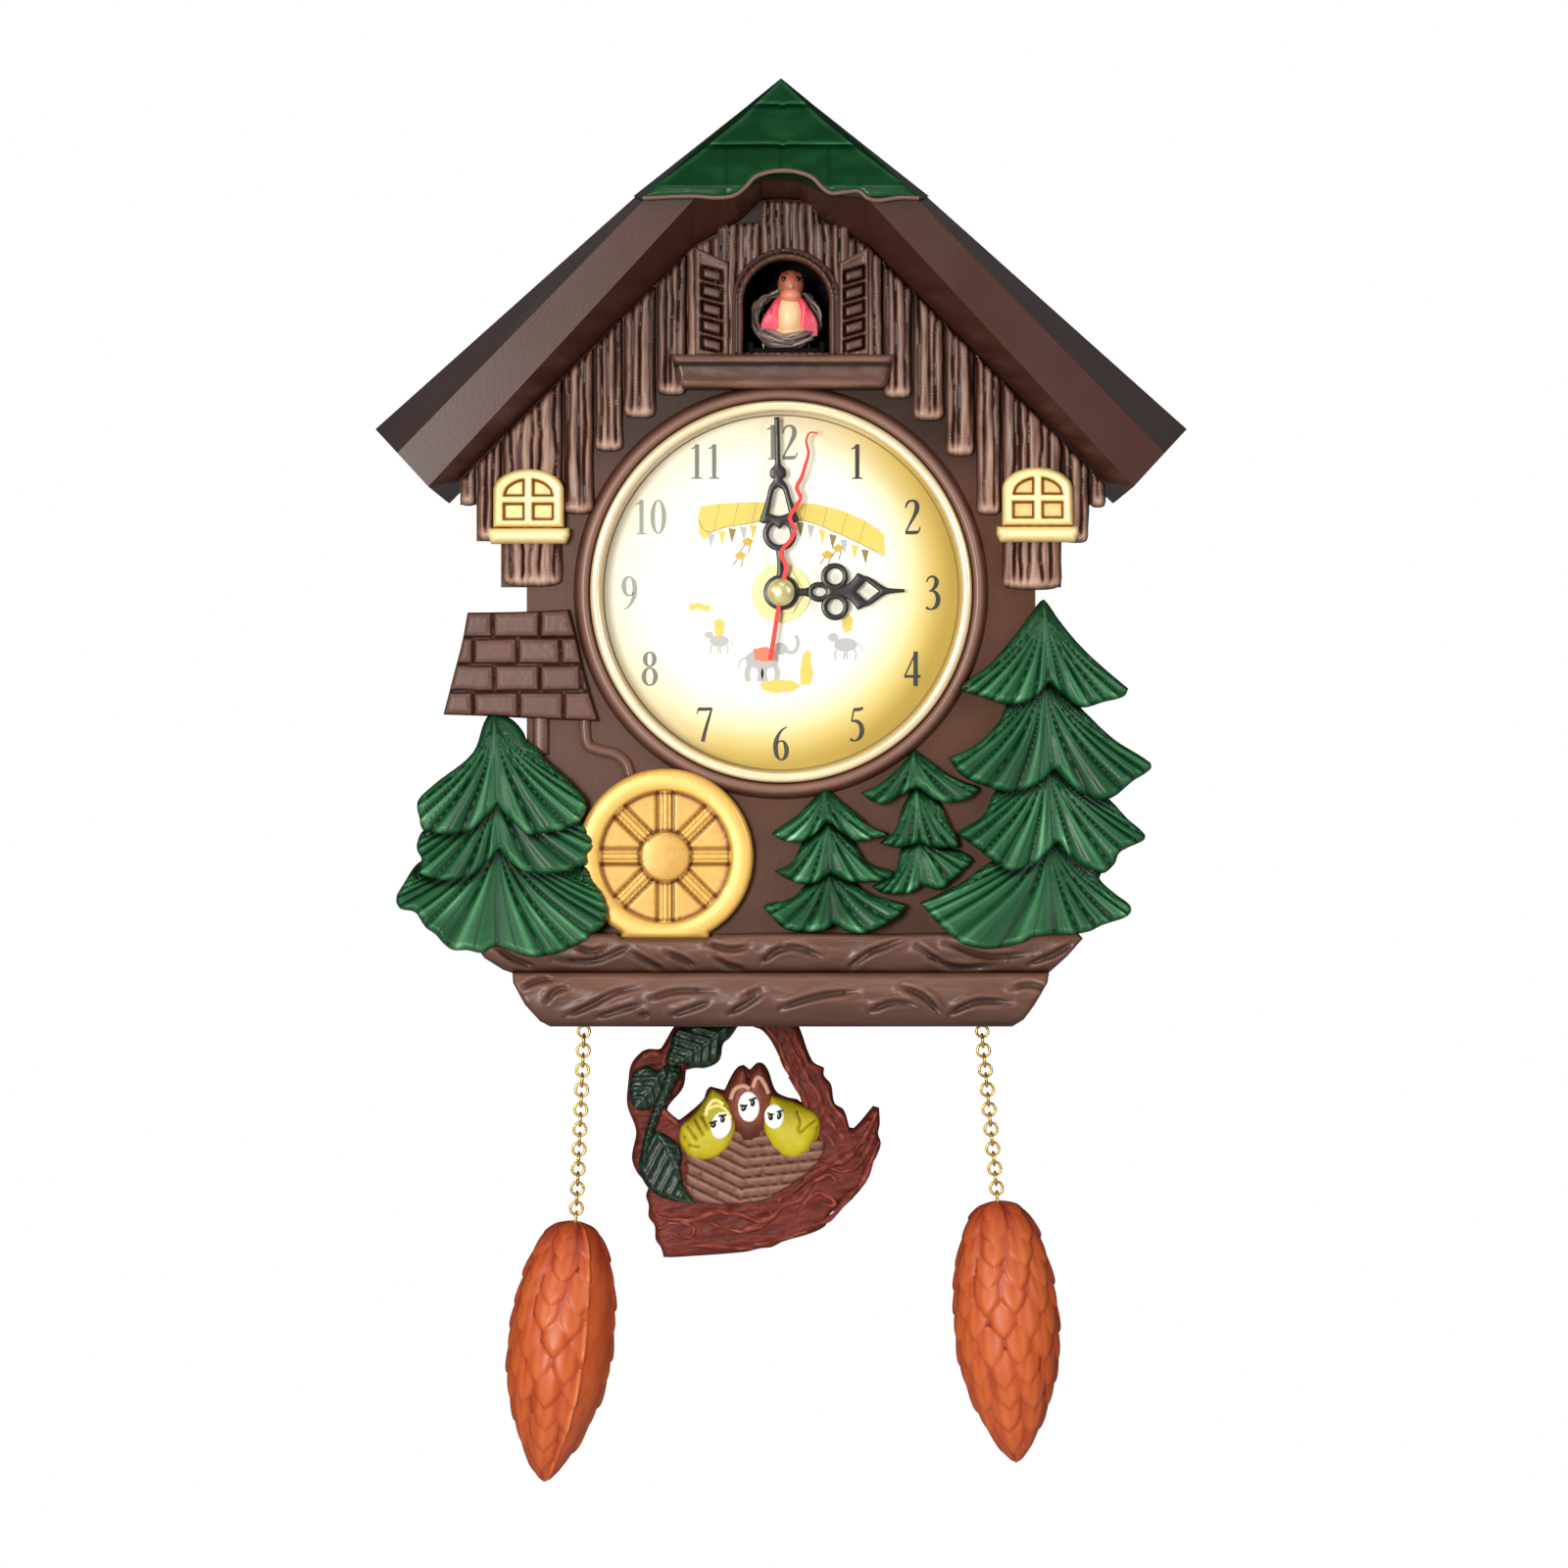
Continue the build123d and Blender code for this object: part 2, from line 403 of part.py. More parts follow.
log_base = fuse(cut(prism(log_upper, PANEL_FRONT, -56.5), box(-83, 82, PANEL_FRONT + 1, -53.0, -219.4, -211.0)),
                cut(prism(log_lower, 0, -58.0), prism(log_in, -2.6, -54.8)))
log_base = cut(log_base, box(-44, 30, -5.5, -24, BASE_BOTTOM - 1, -235.0))
for x in (LEFT_EYE_X, RIGHT_EYE_X):
    log_base = cut(log_base, cyl_z(x, CHAIN_Y, 0.75, BASE_BOTTOM - 1, -230))
write("log_base", log_base)


# ---------------------------------------------------------------- applied ornaments
def pine(tiers, fronts, back):
    out = None
    for t, f in zip(tiers, fronts):
        p = prism(t, back, f)
        out = p if out is None else out + p
    return out


pine_large = pine(PINE_LARGE, (-54.4, -53.6, -52.8, -52.0), PANEL_FRONT)
log_block = prism(log_upper, PANEL_FRONT, -60)
pine_large = cut(pine_large, log_block)
# the dial collar stands in front of the panel, so the branches stop at its rim
rim = cyl_y(0, DIAL_Z, COLLAR_OUT, -40, -60)
pine_large = cut(pine_large, rim)
pine_small_left = cut(pine(PINE_SMALL_LEFT, (-52.6, -51.8, -51.0), PANEL_FRONT), log_block, rim)
pine_small_right = cut(pine(PINE_SMALL_RIGHT, (-52.2, -51.4, -50.6), PANEL_FRONT), log_block, rim,
                       *[prism(t, -40, -60) for t in PINE_LARGE], *[prism(t, -40, -60) for t in PINE_SMALL_LEFT])
pine_left = cut(pine(PINE_LEFT, (-54.6, -53.6, -52.6), PANEL_FRONT), log_block)


def largest(shape):
    return max(solids_of(shape), key=lambda s: s.volume)


write("pine_right_large", largest(pine_large))
write("pine_small_left", largest(pine_small_left))
write("pine_small_right", largest(pine_small_right))
write("pine_left", largest(pine_left))

wheel = fuse(cyl_y(WHEEL_X, WHEEL_Z, WHEEL_R, PANEL_FRONT, -48.6),
             ring_y(WHEEL_X, WHEEL_Z, WHEEL_R, 19.3, -47, -52.0),
             cyl_y(WHEEL_X, WHEEL_Z, 7.2, -47, -51.4))
for i in range(8):
    spoke = box(WHEEL_X - 1.8, WHEEL_X + 1.8, -47, -50.4, WHEEL_Z + 5, WHEEL_Z + 21)
    wheel = fuse(wheel, spoke.rotate(Axis((WHEEL_X, 0, WHEEL_Z), (0, 1, 0)), 45.0 * i))
wheel = fuse(wheel, prism([(-45.8, -208.4), (-45.8, -204.0), (-41.0, -206.5), (-27.0, -206.5), (-22.2, -204.0),
                           (-22.2, -208.4)], PANEL_FRONT, -52.0))
wheel = cut(wheel, *[prism(t, -40, -60) for t in PINE_LEFT], log_block, rim)
write("mill_wheel", largest(wheel))

brick = prism(BRICK, PANEL_FRONT, -50.6)
for z in (-124.0, -131.8, -139.8):
    brick = cut(brick, box(-110, -40, -49.8, -52, z - 0.3, z + 0.3))
for z0, z1, xs in ((-123.7, -115.0, (-85.0, -70.9)), (-131.5, -124.3, (-90.7, -77.0, -64.9)),
                   (-139.5, -132.1, (-84.7, -71.0, -58.8)), (-148.8, -140.1, (-90.4, -77.0, -64.0))):
    for x in xs:
        brick = cut(brick, box(x - 0.3, x + 0.3, -49.8, -52, z0, z1))
brick = cut(brick, *[prism(t, -40, -60) for t in PINE_LEFT], rim)
write("brick_panel", largest(brick))


def gold_window(xc, z_low, width, height):
    w = width / 2
    spring = z_low + height - w * 0.62
    pts = [(xc - w, z_low)]
    for i in range(0, 17):
        a = math.pi * (1 - i / 16)
        pts.append((xc + w * math.cos(a), spring + 0.62 * w * math.sin(a)))
    pts.append((xc + w, z_low))
    frame = prism(pts, BOARD_FRONT, -53.0)
    panes = []
    for sx in (-1, 1):
        x0, x1 = sorted((xc + sx * 1.1, xc + sx * (w - 2.6)))
        panes.append(box(x0, x1, -51.4, -56, z_low + 2.4, z_low + height * 0.44))
        panes.append(box(x0, x1, -51.4, -56, z_low + height * 0.44 + 2.0, z_low + height - 4.0))
    frame = cut(frame, *panes)
    return fuse(frame, box(xc - w - 1.6, xc + w + 1.6, BOARD_FRONT, -54.6, z_low - 4.7, z_low))


board_block = prism([(-83.4, -109.0), (-83.4, -60.0), (-64.2, -60.0), (-64.2, -109.0)], PANEL_BACK, BOARD_FRONT)
write("window_left", gold_window(-74.4, -91.6, 20.6, 17.2))
write("window_right", gold_window(75.4, -91.4, 20.6, 17.2))

# ---------------------------------------------------------------- dial, bezel, lens
write("dial_plate", cut(cyl_y(0, DIAL_Z, DIAL_R, DIAL_BACK, DIAL_FRONT), cyl_y(0, DIAL_Z, 5.0, -30, -45)))
bezel = fuse(ring_y(0, DIAL_Z, BEZEL_OUT, BEZEL_IN, DIAL_FRONT, -48.4),
             ring_y(0, DIAL_Z, BEZEL_OUT, BEZEL_LIP, -48.4, -50.2))
write("dial_bezel", bezel)
write("dial_lens", cyl_y(0, DIAL_Z, LENS_R, -47.2, -48.4))

# ---------------------------------------------------------------- quartz movement
mz0, mz1 = DIAL_Z - MOVE_HALF, DIAL_Z + MOVE_HALF
BAT_Z, BAT_Y, BAT_R = DIAL_Z - 18.9, -28.8, 7.1
move = fuse(box(-MOVE_HALF, MOVE_HALF, DIAL_BACK, MOVE_BACK, mz0, mz1), cyl_y(0, DIAL_Z, BOSS_R, DIAL_BACK, -40.3))
move = cut(move, box(-26.2, 26.2, -36.2, MOVE_BACK + 1, BAT_Z - 7.4, BAT_Z + 7.4),
           cyl_y(0, DIAL_Z, HOUR_TUBE_R + RUN, -34.0, -50), cyl_y(0, DIAL_Z, MINUTE_TUBE_R + RUN, -31.0, -50),
           cyl_y(0, DIAL_Z, SECOND_PIN_R + RUN, -28.0, -50))
KNOB_X, KNOB_Z = 8.5, DIAL_Z + 9.0
move = cut(move, cyl_y(KNOB_X, KNOB_Z, 1.55, MOVE_BACK + 1, -27.0))
write("movement_case", move)
write("setting_knob", cut(fuse(cyl_y(KNOB_X, KNOB_Z, 7.5, -17.4, -20.9), cyl_y(KNOB_X, KNOB_Z, 1.5, -20.9, -26.5)),
                          *[cyl_y(KNOB_X + 8.0 * math.cos(i * math.pi / 9), KNOB_Z + 8.0 * math.sin(i * math.pi / 9),
                                  0.9, -15, -22) for i in range(18)]))
write("movement_battery", fuse(cyl_x(BAT_Y, BAT_Z, BAT_R, -24.6, 24.6), cyl_x(BAT_Y, BAT_Z, 2.6, 24.6, 25.8)))
nut = cut(cyl_y(0, DIAL_Z, 8.7, DIAL_FRONT, -38.9), cyl_y(0, DIAL_Z, BOSS_R + 0.05, -30, -45))
hexa = prism([(6.9 * math.cos(math.radians(60 * i)), DIAL_Z + 6.9 * math.sin(math.radians(60 * i))) for i in range(6)],
             -38.9, -40.1)
write("movement_nut", fuse(nut, cut(hexa, cyl_y(0, DIAL_Z, BOSS_R + 0.05, -30, -45))))


# ---------------------------------------------------------------- hands
def along(pts, degrees):
    """Outline given for a hand pointing up, turned clockwise and moved to the dial centre."""
    a = math.radians(degrees)
    return [(x * math.cos(a) + z * math.sin(a), DIAL_Z - x * math.sin(a) + z * math.cos(a)) for x, z in pts]


def disc_at(x, z, r, degrees, y0, y1):
    (px, pz), = along([(x, z)], degrees)
    return cyl_y(px, pz, r, y0, y1)


MIN_A, HOUR_A, SEC_A = -1.4, 89.2, 11.0
# minute hand: hub, neck, ring, bell-shaped arms, long taper with a small bead
y0, y1 = -42.1, -42.6
minute = fuse(cyl_y(0, DIAL_Z, 5.2, y0, y1),
              prism(along([(-1.2, 4.5), (-1.2, 14.0), (1.2, 14.0), (1.2, 4.5)], MIN_A), y0, y1),
              disc_at(0, 17.3, 4.9, MIN_A, y0, y1),
              prism(along([(-3.2, 20.5), (-5.6, 21.6), (-3.6, 24.6), (-2.2, 30.0), (-1.1, 34.0), (-1.6, 36.2),
                           (-0.9, 38.6), (-0.35, 44.0), (-0.2, 52.0), (0.2, 52.0), (0.35, 44.0), (0.9, 38.6),
                           (1.6, 36.2), (1.1, 34.0), (2.2, 30.0), (3.6, 24.6), (5.6, 21.6), (3.2, 20.5)], MIN_A),
                    y0, y1))
minute = cut(minute, disc_at(0, 17.3, 3.0, MIN_A, -40, -45))
minute = fuse(minute, cyl_y(0, DIAL_Z, MINUTE_TUBE_R, -31.3, y0))
minute = cut(minute, cyl_y(0, DIAL_Z, SECOND_PIN_R + RUN, -20, -60))
write("minute_hand", minute)
# hour hand: hub, oval loop, two side rings, shield and point
y0, y1 = -40.8, -41.3
hour = fuse(cyl_y(0, DIAL_Z, 5.2, y0, y1),
            prism(along([(-1.3, 4.5), (-1.3, 9.0), (-3.1, 11.5), (-2.6, 14.2), (-1.2, 18.0), (-3.9, 20.4), (-4.6, 22.6),
                         (-2.4, 25.2), (-1.1, 28.2), (-0.5, 31.5), (0, 36.2), (0.5, 31.5), (1.1, 28.2), (2.4, 25.2),
                         (4.6, 22.6), (3.9, 20.4), (1.2, 18.0), (2.6, 14.2), (3.1, 11.5), (1.3, 9.0), (1.3, 4.5)],
                        HOUR_A), y0, y1),
            disc_at(-4.4, 15.9, 4.0, HOUR_A, y0, y1), disc_at(4.4, 15.9, 4.0, HOUR_A, y0, y1))
hour = cut(hour, disc_at(-4.6, 15.9, 2.3, HOUR_A, -40, -45), disc_at(4.6, 15.9, 2.3, HOUR_A, -40, -45),
           prism(along([(0, 20.0), (-1.6, 22.4), (0, 26.4), (1.6, 22.4)], HOUR_A), -40, -45))
hour = fuse(hour, cyl_y(0, DIAL_Z, HOUR_TUBE_R, -34.3, y0))
hour = cut(hour, cyl_y(0, DIAL_Z, MINUTE_TUBE_R + RUN, -20, -60))
write("hour_hand", hour)
# second hand: serpentine blade and straight tail
y0, y1 = -43.4, -43.8
serp = [(0.0, 0.0), (0.1, 5.2), (-0.6, 8.9), (-2.6, 12.4), (0.1, 17.9), (0.3, 20.3), (-1.7, 23.1), (-0.3, 27.0),
        (0.3, 29.5), (-1.0, 32.4), (0.0, 35.3), (0.3, 40.3), (0.3, 43.0), (-0.9, 47.7), (1.0, 50.0)]
w = 0.85
left_side = [(x - w * (1 if z < 45 else 0.5), z) for x, z in serp]
right_side = [(x + w * (1 if z < 45 else 0.5), z) for x, z in reversed(serp)]
second = fuse(prism(along(left_side + right_side, SEC_A), y0, y1), cyl_y(0, DIAL_Z, 2.6, y0, y1),
              prism(along([(-0.8, 0.0), (0.8, 0.0), (0.95, -19.8), (-0.95, -19.8)], SEC_A), y0, y1),
              cyl_y(0, DIAL_Z, SECOND_PIN_R, -28.3, y0))
write("second_hand", largest(second))
cap = cyl_y(0, DIAL_Z, 4.0, -43.8, -45.0)
cap = fuse(cap, Solid.make_cone(4.0, 2.6, 0.9, Plane(origin=(0, -45.0, DIAL_Z), z_dir=(0, -1, 0))))
write("hand_cap", cap)

# ---------------------------------------------------------------- pendulum
PD = (16.0, -43.5, -19.5, -192.0, -152.0)
drive = fuse(box(-PD[0], PD[0], -35.3, PD[2], PD[3], PD[4]), box(-PD[0], PD[0], PD[1], -35.3, PD[3], -171.5))
drive = fuse(drive, cyl_y(0, PIVOT_Z, 1.2, PD[2], -10.5), cyl_y(0, PIVOT_Z, 2.6, PD[2], -16.0))
write("pendulum_drive", drive)
rod = fuse(box(-2.0, 2.0, PEND_Y - 0.5, PEND_Y + 0.5, PIVOT_Z - 78.0, PIVOT_Z), cyl_y(0, PIVOT_Z, 4.0, PEND_Y + 0.5, PEND_Y - 0.5))
rod = cut(rod, cyl_y(0, PIVOT_Z, 1.25, 0, -30))
rod = turned(rod, 0, PEND_Y, PIVOT_Z, PEND_LEAN)
write("pendulum_rod", rod)
write("pendulum_magnet", turned(cyl_y(0, PIVOT_Z - 20.0, 5.0, PEND_Y - 0.5, PEND_Y - 3.5), 0, PEND_Y, PIVOT_Z, PEND_LEAN))
bob = cut(prism(BOB_OUTER, -10.0, -18.0), prism(BOB_INNER, -5.0, -25.0))
bob = cut(bob, turned(box(-2.05, 2.05, PEND_Y - 0.55, PEND_Y + 0.55, PIVOT_Z - 78.1, PIVOT_Z), 0, PEND_Y, PIVOT_Z,
                      PEND_LEAN))
write("pendulum_bob", largest(bob))


# ---------------------------------------------------------------- chains, eyes and cones
def torus(x, y, z, major, plane):
    """Wire ring; plane 'xz' faces the front, 'yz' faces the side."""
    zd = (0, 1, 0) if plane == "xz" else (1, 0, 0)
    return Solid.make_torus(major, WIRE_R, Plane(origin=(x, y, z), z_dir=zd))


def link(x, y, z, plane):
    """Oval link: two half rings joined by short straight wires."""
    d = LINK_H - LINK_R
    ring = torus(0, 0, 0, LINK_R, plane)
    big = 10.0
    top = ring & Solid.make_box(big, big, big).moved(Location((-big / 2, -big / 2, 0)))
    bot = ring & Solid.make_box(big, big, big).moved(Location((-big / 2, -big / 2, -big)))
    side = (LINK_R, 0) if plane == "xz" else (0, LINK_R)
    out = fuse(top.moved(Location((0, 0, d))), cyl_z(side[0], side[1], WIRE_R, -d, d), cyl_z(-side[0], -side[1], WIRE_R, -d, d),
               bot.moved(Location((0, 0, -d))))
    return out.moved(Location((x, y, z)))


eyes = []
PIVOTS = {}
for name, x, n, lean_chain, lean_cone in (("left", LEFT_EYE_X, LEFT_LINKS, LEFT_CHAIN_LEAN, LEFT_CONE_LEAN),
                                          ("right", RIGHT_EYE_X, RIGHT_LINKS, RIGHT_CHAIN_LEAN, RIGHT_CONE_LEAN)):
    zc = BASE_BOTTOM - EYE_DROP
    eyes.append(fuse(torus(x, CHAIN_Y, zc, EYE_MAJOR, "xz"), cyl_z(x, CHAIN_Y, 0.7, zc + EYE_MAJOR - 0.1, -231.0)))
    pz = zc - EYE_MAJOR
    links = []
    first = LINK_H - 0.84
    for k in range(n):
        z = pz - first - LINK_PITCH * k
        links.append(turned(link(x, CHAIN_Y, z, "yz" if k % 2 == 0 else "xz"), x, CHAIN_Y, pz, lean_chain))
    write("chain_" + name, *links)
    length = first + LINK_PITCH * (n - 1) + LINK_H
    a = math.radians(lean_chain)
    qx, qz = x - length * math.sin(a), pz - length * math.cos(a)
    PIVOTS[name] = (x, pz, qx, qz, length)
    # staple eye in the cone top, in the plane across the last link
    ec = qz + 0.84 - 1.5
    staple_ring = torus(qx, CHAIN_Y, ec, 1.5, "yz") & box(qx - 5, qx + 5, CHAIN_Y - 5, CHAIN_Y + 5, ec, ec + 5)
    staple = fuse(staple_ring, cyl_z(qx, CHAIN_Y - 1.5, WIRE_R, ec, ec - 6.0), cyl_z(qx, CHAIN_Y + 1.5, WIRE_R, ec, ec - 6.0))
    write("cone_eye_" + name, turned(staple, qx, CHAIN_Y, qz, lean_cone))
    top = qz - 1.7
    prof = [(0, 0), (5.4, -0.4), (8.0, -3.0), (10.6, -9.0), (13.4, -18.0), (15.2, -28.0), (15.7, -38.0), (15.0, -48.0),
            (12.6, -58.0), (9.4, -66.5), (5.8, -74.0), (2.6, -78.6), (0, -79.6)]
    hollow = [(0, -9.0), (8.4, -9.0), (11.8, -18.0), (13.6, -28.0), (14.1, -38.0), (13.4, -48.0), (11.0, -58.0),
              (7.8, -66.5), (4.0, -73.5), (0, -75.5)]

    def turned_solid(points):
        face = Face(Wire.make_polygon([Vector(qx + r, CHAIN_Y, top + z) for r, z in points], close=True))
        return Solid.revolve(face, 360, Axis((qx, CHAIN_Y, 0), (0, 0, 1)))

    cone = cut(turned_solid(prof), turned_solid(hollow))
    cone = cut(cone, cyl_z(qx, CHAIN_Y - 1.5, WIRE_R, ec, ec - 6.0), cyl_z(qx, CHAIN_Y + 1.5, WIRE_R, ec, ec - 6.0))
    # each cone is two half shells joined on the mould line, which faces front and rear
    for half, xa, xb in (("outer", -30, 0) if name == "left" else ("inner", -30, 0),
                         ("inner", 0, 30) if name == "left" else ("outer", 0, 30)):
        piece = cone & box(qx + xa, qx + xb, CHAIN_Y - 30, CHAIN_Y + 30, top - 100, top + 10)
        write("cone_%s_%s" % (name, half), turned(largest(piece), qx, CHAIN_Y, qz, lean_cone))
write("chain_eyes", *eyes)

# ---------------------------------------------------------------- bird, nest, carriage, rail and solenoid
write("bird_rail", fuse(box(-9.8, 12.8, PANEL_BACK, -5.0, -41.6, -39.9),
                        box(-9.8, -8.3, PANEL_BACK, -5.0, -39.9, -36.5), box(11.3, 12.8, PANEL_BACK, -5.0, -39.9, -36.5),
                        box(-9.8, 12.8, -5.0, -COVER_T, -41.6, -30.0)))
write("bird_solenoid", cut(box(-5.5, 8.5, -25.0, -7.0, -37.2, -24.8), cyl_y(BIRD_X, -31.0, 2.05, 0, -30)))
carriage = fuse(box(-8.0, 11.0, -43.0, -27.5, -39.6, -38.3), box(-5.0, 8.0, -29.0, -27.5, -38.3, -24.0),
                cyl_y(BIRD_X, -31.0, 2.0, -9.5, -27.5))
write("bird_carriage", carriage)
nest = cut(cyl_y(BIRD_X, -28.2, 10.0, -29.0, -37.0), cyl_y(BIRD_X, -28.2, 8.3, -31.0, -40.0))
write("nest", nest)
bird_prof = [(0, -36.0), (4.6, -35.8), (6.6, -33.0), (6.3, -28.0), (4.6, -24.0), (3.4, -22.4), (0, -22.0)]
bx, by = 2.2, -38.2
bird_body = Solid.revolve(Face(Wire.make_polygon([Vector(bx + r, by, z) for r, z in bird_prof], close=True)), 360,
                          Axis((bx, by, 0), (0, 0, 1)))
bird = fuse(bird_body, Solid.make_sphere(4.5, Plane(origin=(bx + 0.6, by, -18.9))),
            Solid.make_cone(1.5, 0.3, 3.0, Plane(origin=(bx + 0.6, by - 4.0, -19.4), z_dir=(0, -1, 0))),
            cyl_y(bx, -30.0, 2.0, -31.0, -36.0))
bird = largest(cut(bird, ring_y(BIRD_X, -28.2, 11.0, 8.1, -28.0, -37.2)))
write("bird", bird)

# ---------------------------------------------------------------- chime electronics
write("chime_battery_box", cut(box(31.5, 65.0, -35.0, -17.0, -148.5, -92.0), box(33.3, 63.2, -33.2, -10, -146.5, -94.0)))
write("chime_batteries", *[fuse(cyl_z(x, -25.6, 7.1, -145.5, -96.6), cyl_z(x, -25.6, 2.6, -96.6, -95.4))
                           for x in (40.8, 55.7)])
write("speaker", fuse(cyl_y(SPK_X, SPK_Z, SPK_R, -COVER_T, -6.0),
                      Solid.make_cone(SPK_R - 2, 9.0, 5.0, Plane(origin=(SPK_X, -6.0, SPK_Z), z_dir=(0, -1, 0))),
                      cyl_y(SPK_X, SPK_Z, 9.0, -11.0, -15.5)))
write("circuit_board", box(-65.0, -34.0, -12.0, -10.4, -158.0, -100.0))
write("switch_body", cut(box(-60.0, -46.0, -10.4, -4.5, -134.0, -126.0), box(-57.5, -48.5, -8.0, 0, -131.7, -128.3)))
write("mode_switch", box(-57.0, -53.0, -7.8, -0.5, -131.4, -128.6))

for k, v in PIVOTS.items():
    print(k, ["%.2f" % a for a in v])
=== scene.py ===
import bpy, bmesh, math
import numpy as np
from mathutils import Vector, Matrix
from mathutils.geometry import delaunay_2d_cdt


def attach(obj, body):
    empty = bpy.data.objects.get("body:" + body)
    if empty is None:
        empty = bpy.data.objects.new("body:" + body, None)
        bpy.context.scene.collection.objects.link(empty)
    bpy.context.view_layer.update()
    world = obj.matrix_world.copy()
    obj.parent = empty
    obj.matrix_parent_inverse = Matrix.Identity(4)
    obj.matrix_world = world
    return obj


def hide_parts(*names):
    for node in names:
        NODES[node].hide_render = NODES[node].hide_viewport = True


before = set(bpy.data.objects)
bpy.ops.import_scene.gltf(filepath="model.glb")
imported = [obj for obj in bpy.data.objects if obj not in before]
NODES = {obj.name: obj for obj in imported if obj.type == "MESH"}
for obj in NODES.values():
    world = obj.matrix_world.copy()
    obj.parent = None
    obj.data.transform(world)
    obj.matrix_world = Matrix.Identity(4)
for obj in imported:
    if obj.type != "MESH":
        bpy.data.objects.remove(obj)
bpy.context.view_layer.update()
scene = bpy.context.scene

# ------------------------------------------------------------------ camera
cam_data = bpy.data.cameras.new("camera")
cam = bpy.data.objects.new("camera", cam_data)
scene.collection.objects.link(cam)
cam.location = (0.00087, -2.046, -0.16704)
cam.rotation_euler = (math.radians(90), 0, 0)
cam_data.sensor_width = 36.0
cam_data.lens = 155.71
cam_data.clip_start = 0.05
cam_data.clip_end = 50.0
scene.camera = cam


# ------------------------------------------------------------------ number helpers (millimetres)
def _hash(a, b, seed):
    n = (a * 374761393 + b * 668265263 + seed * 1442695041) & 0xFFFFFFFF
    n = ((n ^ (n >> 13)) * 1274126177) & 0xFFFFFFFF
    return ((n ^ (n >> 16)) & 0xFFFF) / 65535.0


def vnoise(x, y, seed=0):
    """Value noise in 0..1."""
    x = np.asarray(x, float)
    y = np.asarray(y, float) + 0 * x
    xi, yi = np.floor(x).astype(np.int64), np.floor(y).astype(np.int64)
    xf, yf = x - xi, y - yi
    u, v = xf * xf * (3 - 2 * xf), yf * yf * (3 - 2 * yf)
    a, b = _hash(xi, yi, seed), _hash(xi + 1, yi, seed)
    c, d = _hash(xi, yi + 1, seed), _hash(xi + 1, yi + 1, seed)
    return (a * (1 - u) + b * u) * (1 - v) + (c * (1 - u) + d * u) * v


def fbm(x, y, seed=0, octaves=3):
    """Fractal noise, about -1..1."""
    out, amp, tot = 0, 1.0, 0
    for k in range(octaves):
        out = out + amp * (vnoise(np.asarray(x) * 2 ** k + 17.3 * k, np.asarray(y) * 2 ** k + 5.1 * k, seed + k) * 2 - 1)
        tot += amp
        amp *= 0.5
    return out / tot


def sstep(a, b, x):
    t = np.clip((x - a) / (b - a), 0, 1)
    return t * t * (3 - 2 * t)


def rnd(d, r):
    """Quarter-round edge: 0 at the rim, 1 from r inwards."""
    t = np.clip(d / r, 0, 1)
    return np.sqrt(np.clip(1 - (1 - t) ** 2, 0, 1))


def bell(x, c, w):
    return np.exp(-(((x - c) / w) ** 2))


def smooth_loop(pts, sharp=62, n=6):
    """Closed smooth curve through the points; corners sharper than the given turn stay corners."""
    p = np.asarray(pts, float)
    N = len(p)
    nxt, prv = np.roll(p, -1, 0), np.roll(p, 1, 0)
    a, b = p - prv, nxt - p
    la, lb = np.linalg.norm(a, axis=1), np.linalg.norm(b, axis=1)
    ua, ub = a / la[:, None], b / lb[:, None]
    turn = np.degrees(np.arccos(np.clip((ua * ub).sum(1), -1, 1)))
    tan = ua * la[:, None] + ub * lb[:, None]
    tan /= np.maximum(np.linalg.norm(tan, axis=1), 1e-9)[:, None]
    out = []
    for i in range(N):
        j = (i + 1) % N
        t0 = ub[i] if turn[i] > sharp else tan[i]
        t1 = ua[j] if turn[j] > sharp else tan[j]
        L = lb[i]
        for k in range(n):
            s = k / n
            h00, h10 = 2 * s ** 3 - 3 * s ** 2 + 1, s ** 3 - 2 * s ** 2 + s
            h01, h11 = -2 * s ** 3 + 3 * s ** 2, s ** 3 - s ** 2
            out.append(h00 * p[i] + h10 * L * t0 + h01 * p[j] + h11 * L * t1)
    return np.array(out)


def smooth_path(pts, n=8):
    """Open smooth curve through the points (2-D or 3-D)."""
    p = np.asarray(pts, float)
    seg = np.linalg.norm(np.diff(p, axis=0), axis=1)
    d = np.diff(p, axis=0) / np.maximum(seg, 1e-9)[:, None]
    tan = np.vstack([d[:1], (d[:-1] * seg[1:, None] + d[1:] * seg[:-1, None]), d[-1:]])
    tan /= np.maximum(np.linalg.norm(tan, axis=1), 1e-9)[:, None]
    out = []
    for i in range(len(p) - 1):
        for k in range(n):
            s = k / n
            out.append((2 * s ** 3 - 3 * s ** 2 + 1) * p[i] + (s ** 3 - 2 * s ** 2 + s) * seg[i] * tan[i]
                       + (-2 * s ** 3 + 3 * s ** 2) * p[i + 1] + (s ** 3 - s ** 2) * seg[i] * tan[i + 1])
    out.append(p[-1])
    return np.array(out)


def resample(loop, step):
    """Closed loop with edges no longer than step; keeps its corners."""
    p = np.asarray(loop, float)
    out = []
    for i in range(len(p)):
        a, b = p[i], p[(i + 1) % len(p)]
        L = np.linalg.norm(b - a)
        if L < 1e-6:
            continue
        n = max(1, int(math.ceil(L / step - 0.25)))
        for k in range(n):
            out.append(a + (b - a) * k / n)
    out = np.array(out)
    keep = np.ones(len(out), bool)
    last = 0
    for i in range(1, len(out)):
        if np.linalg.norm(out[i] - out[last]) < step * 0.3 and i % 2 == 1:
            keep[i] = False
        else:
            last = i
    return out[keep]


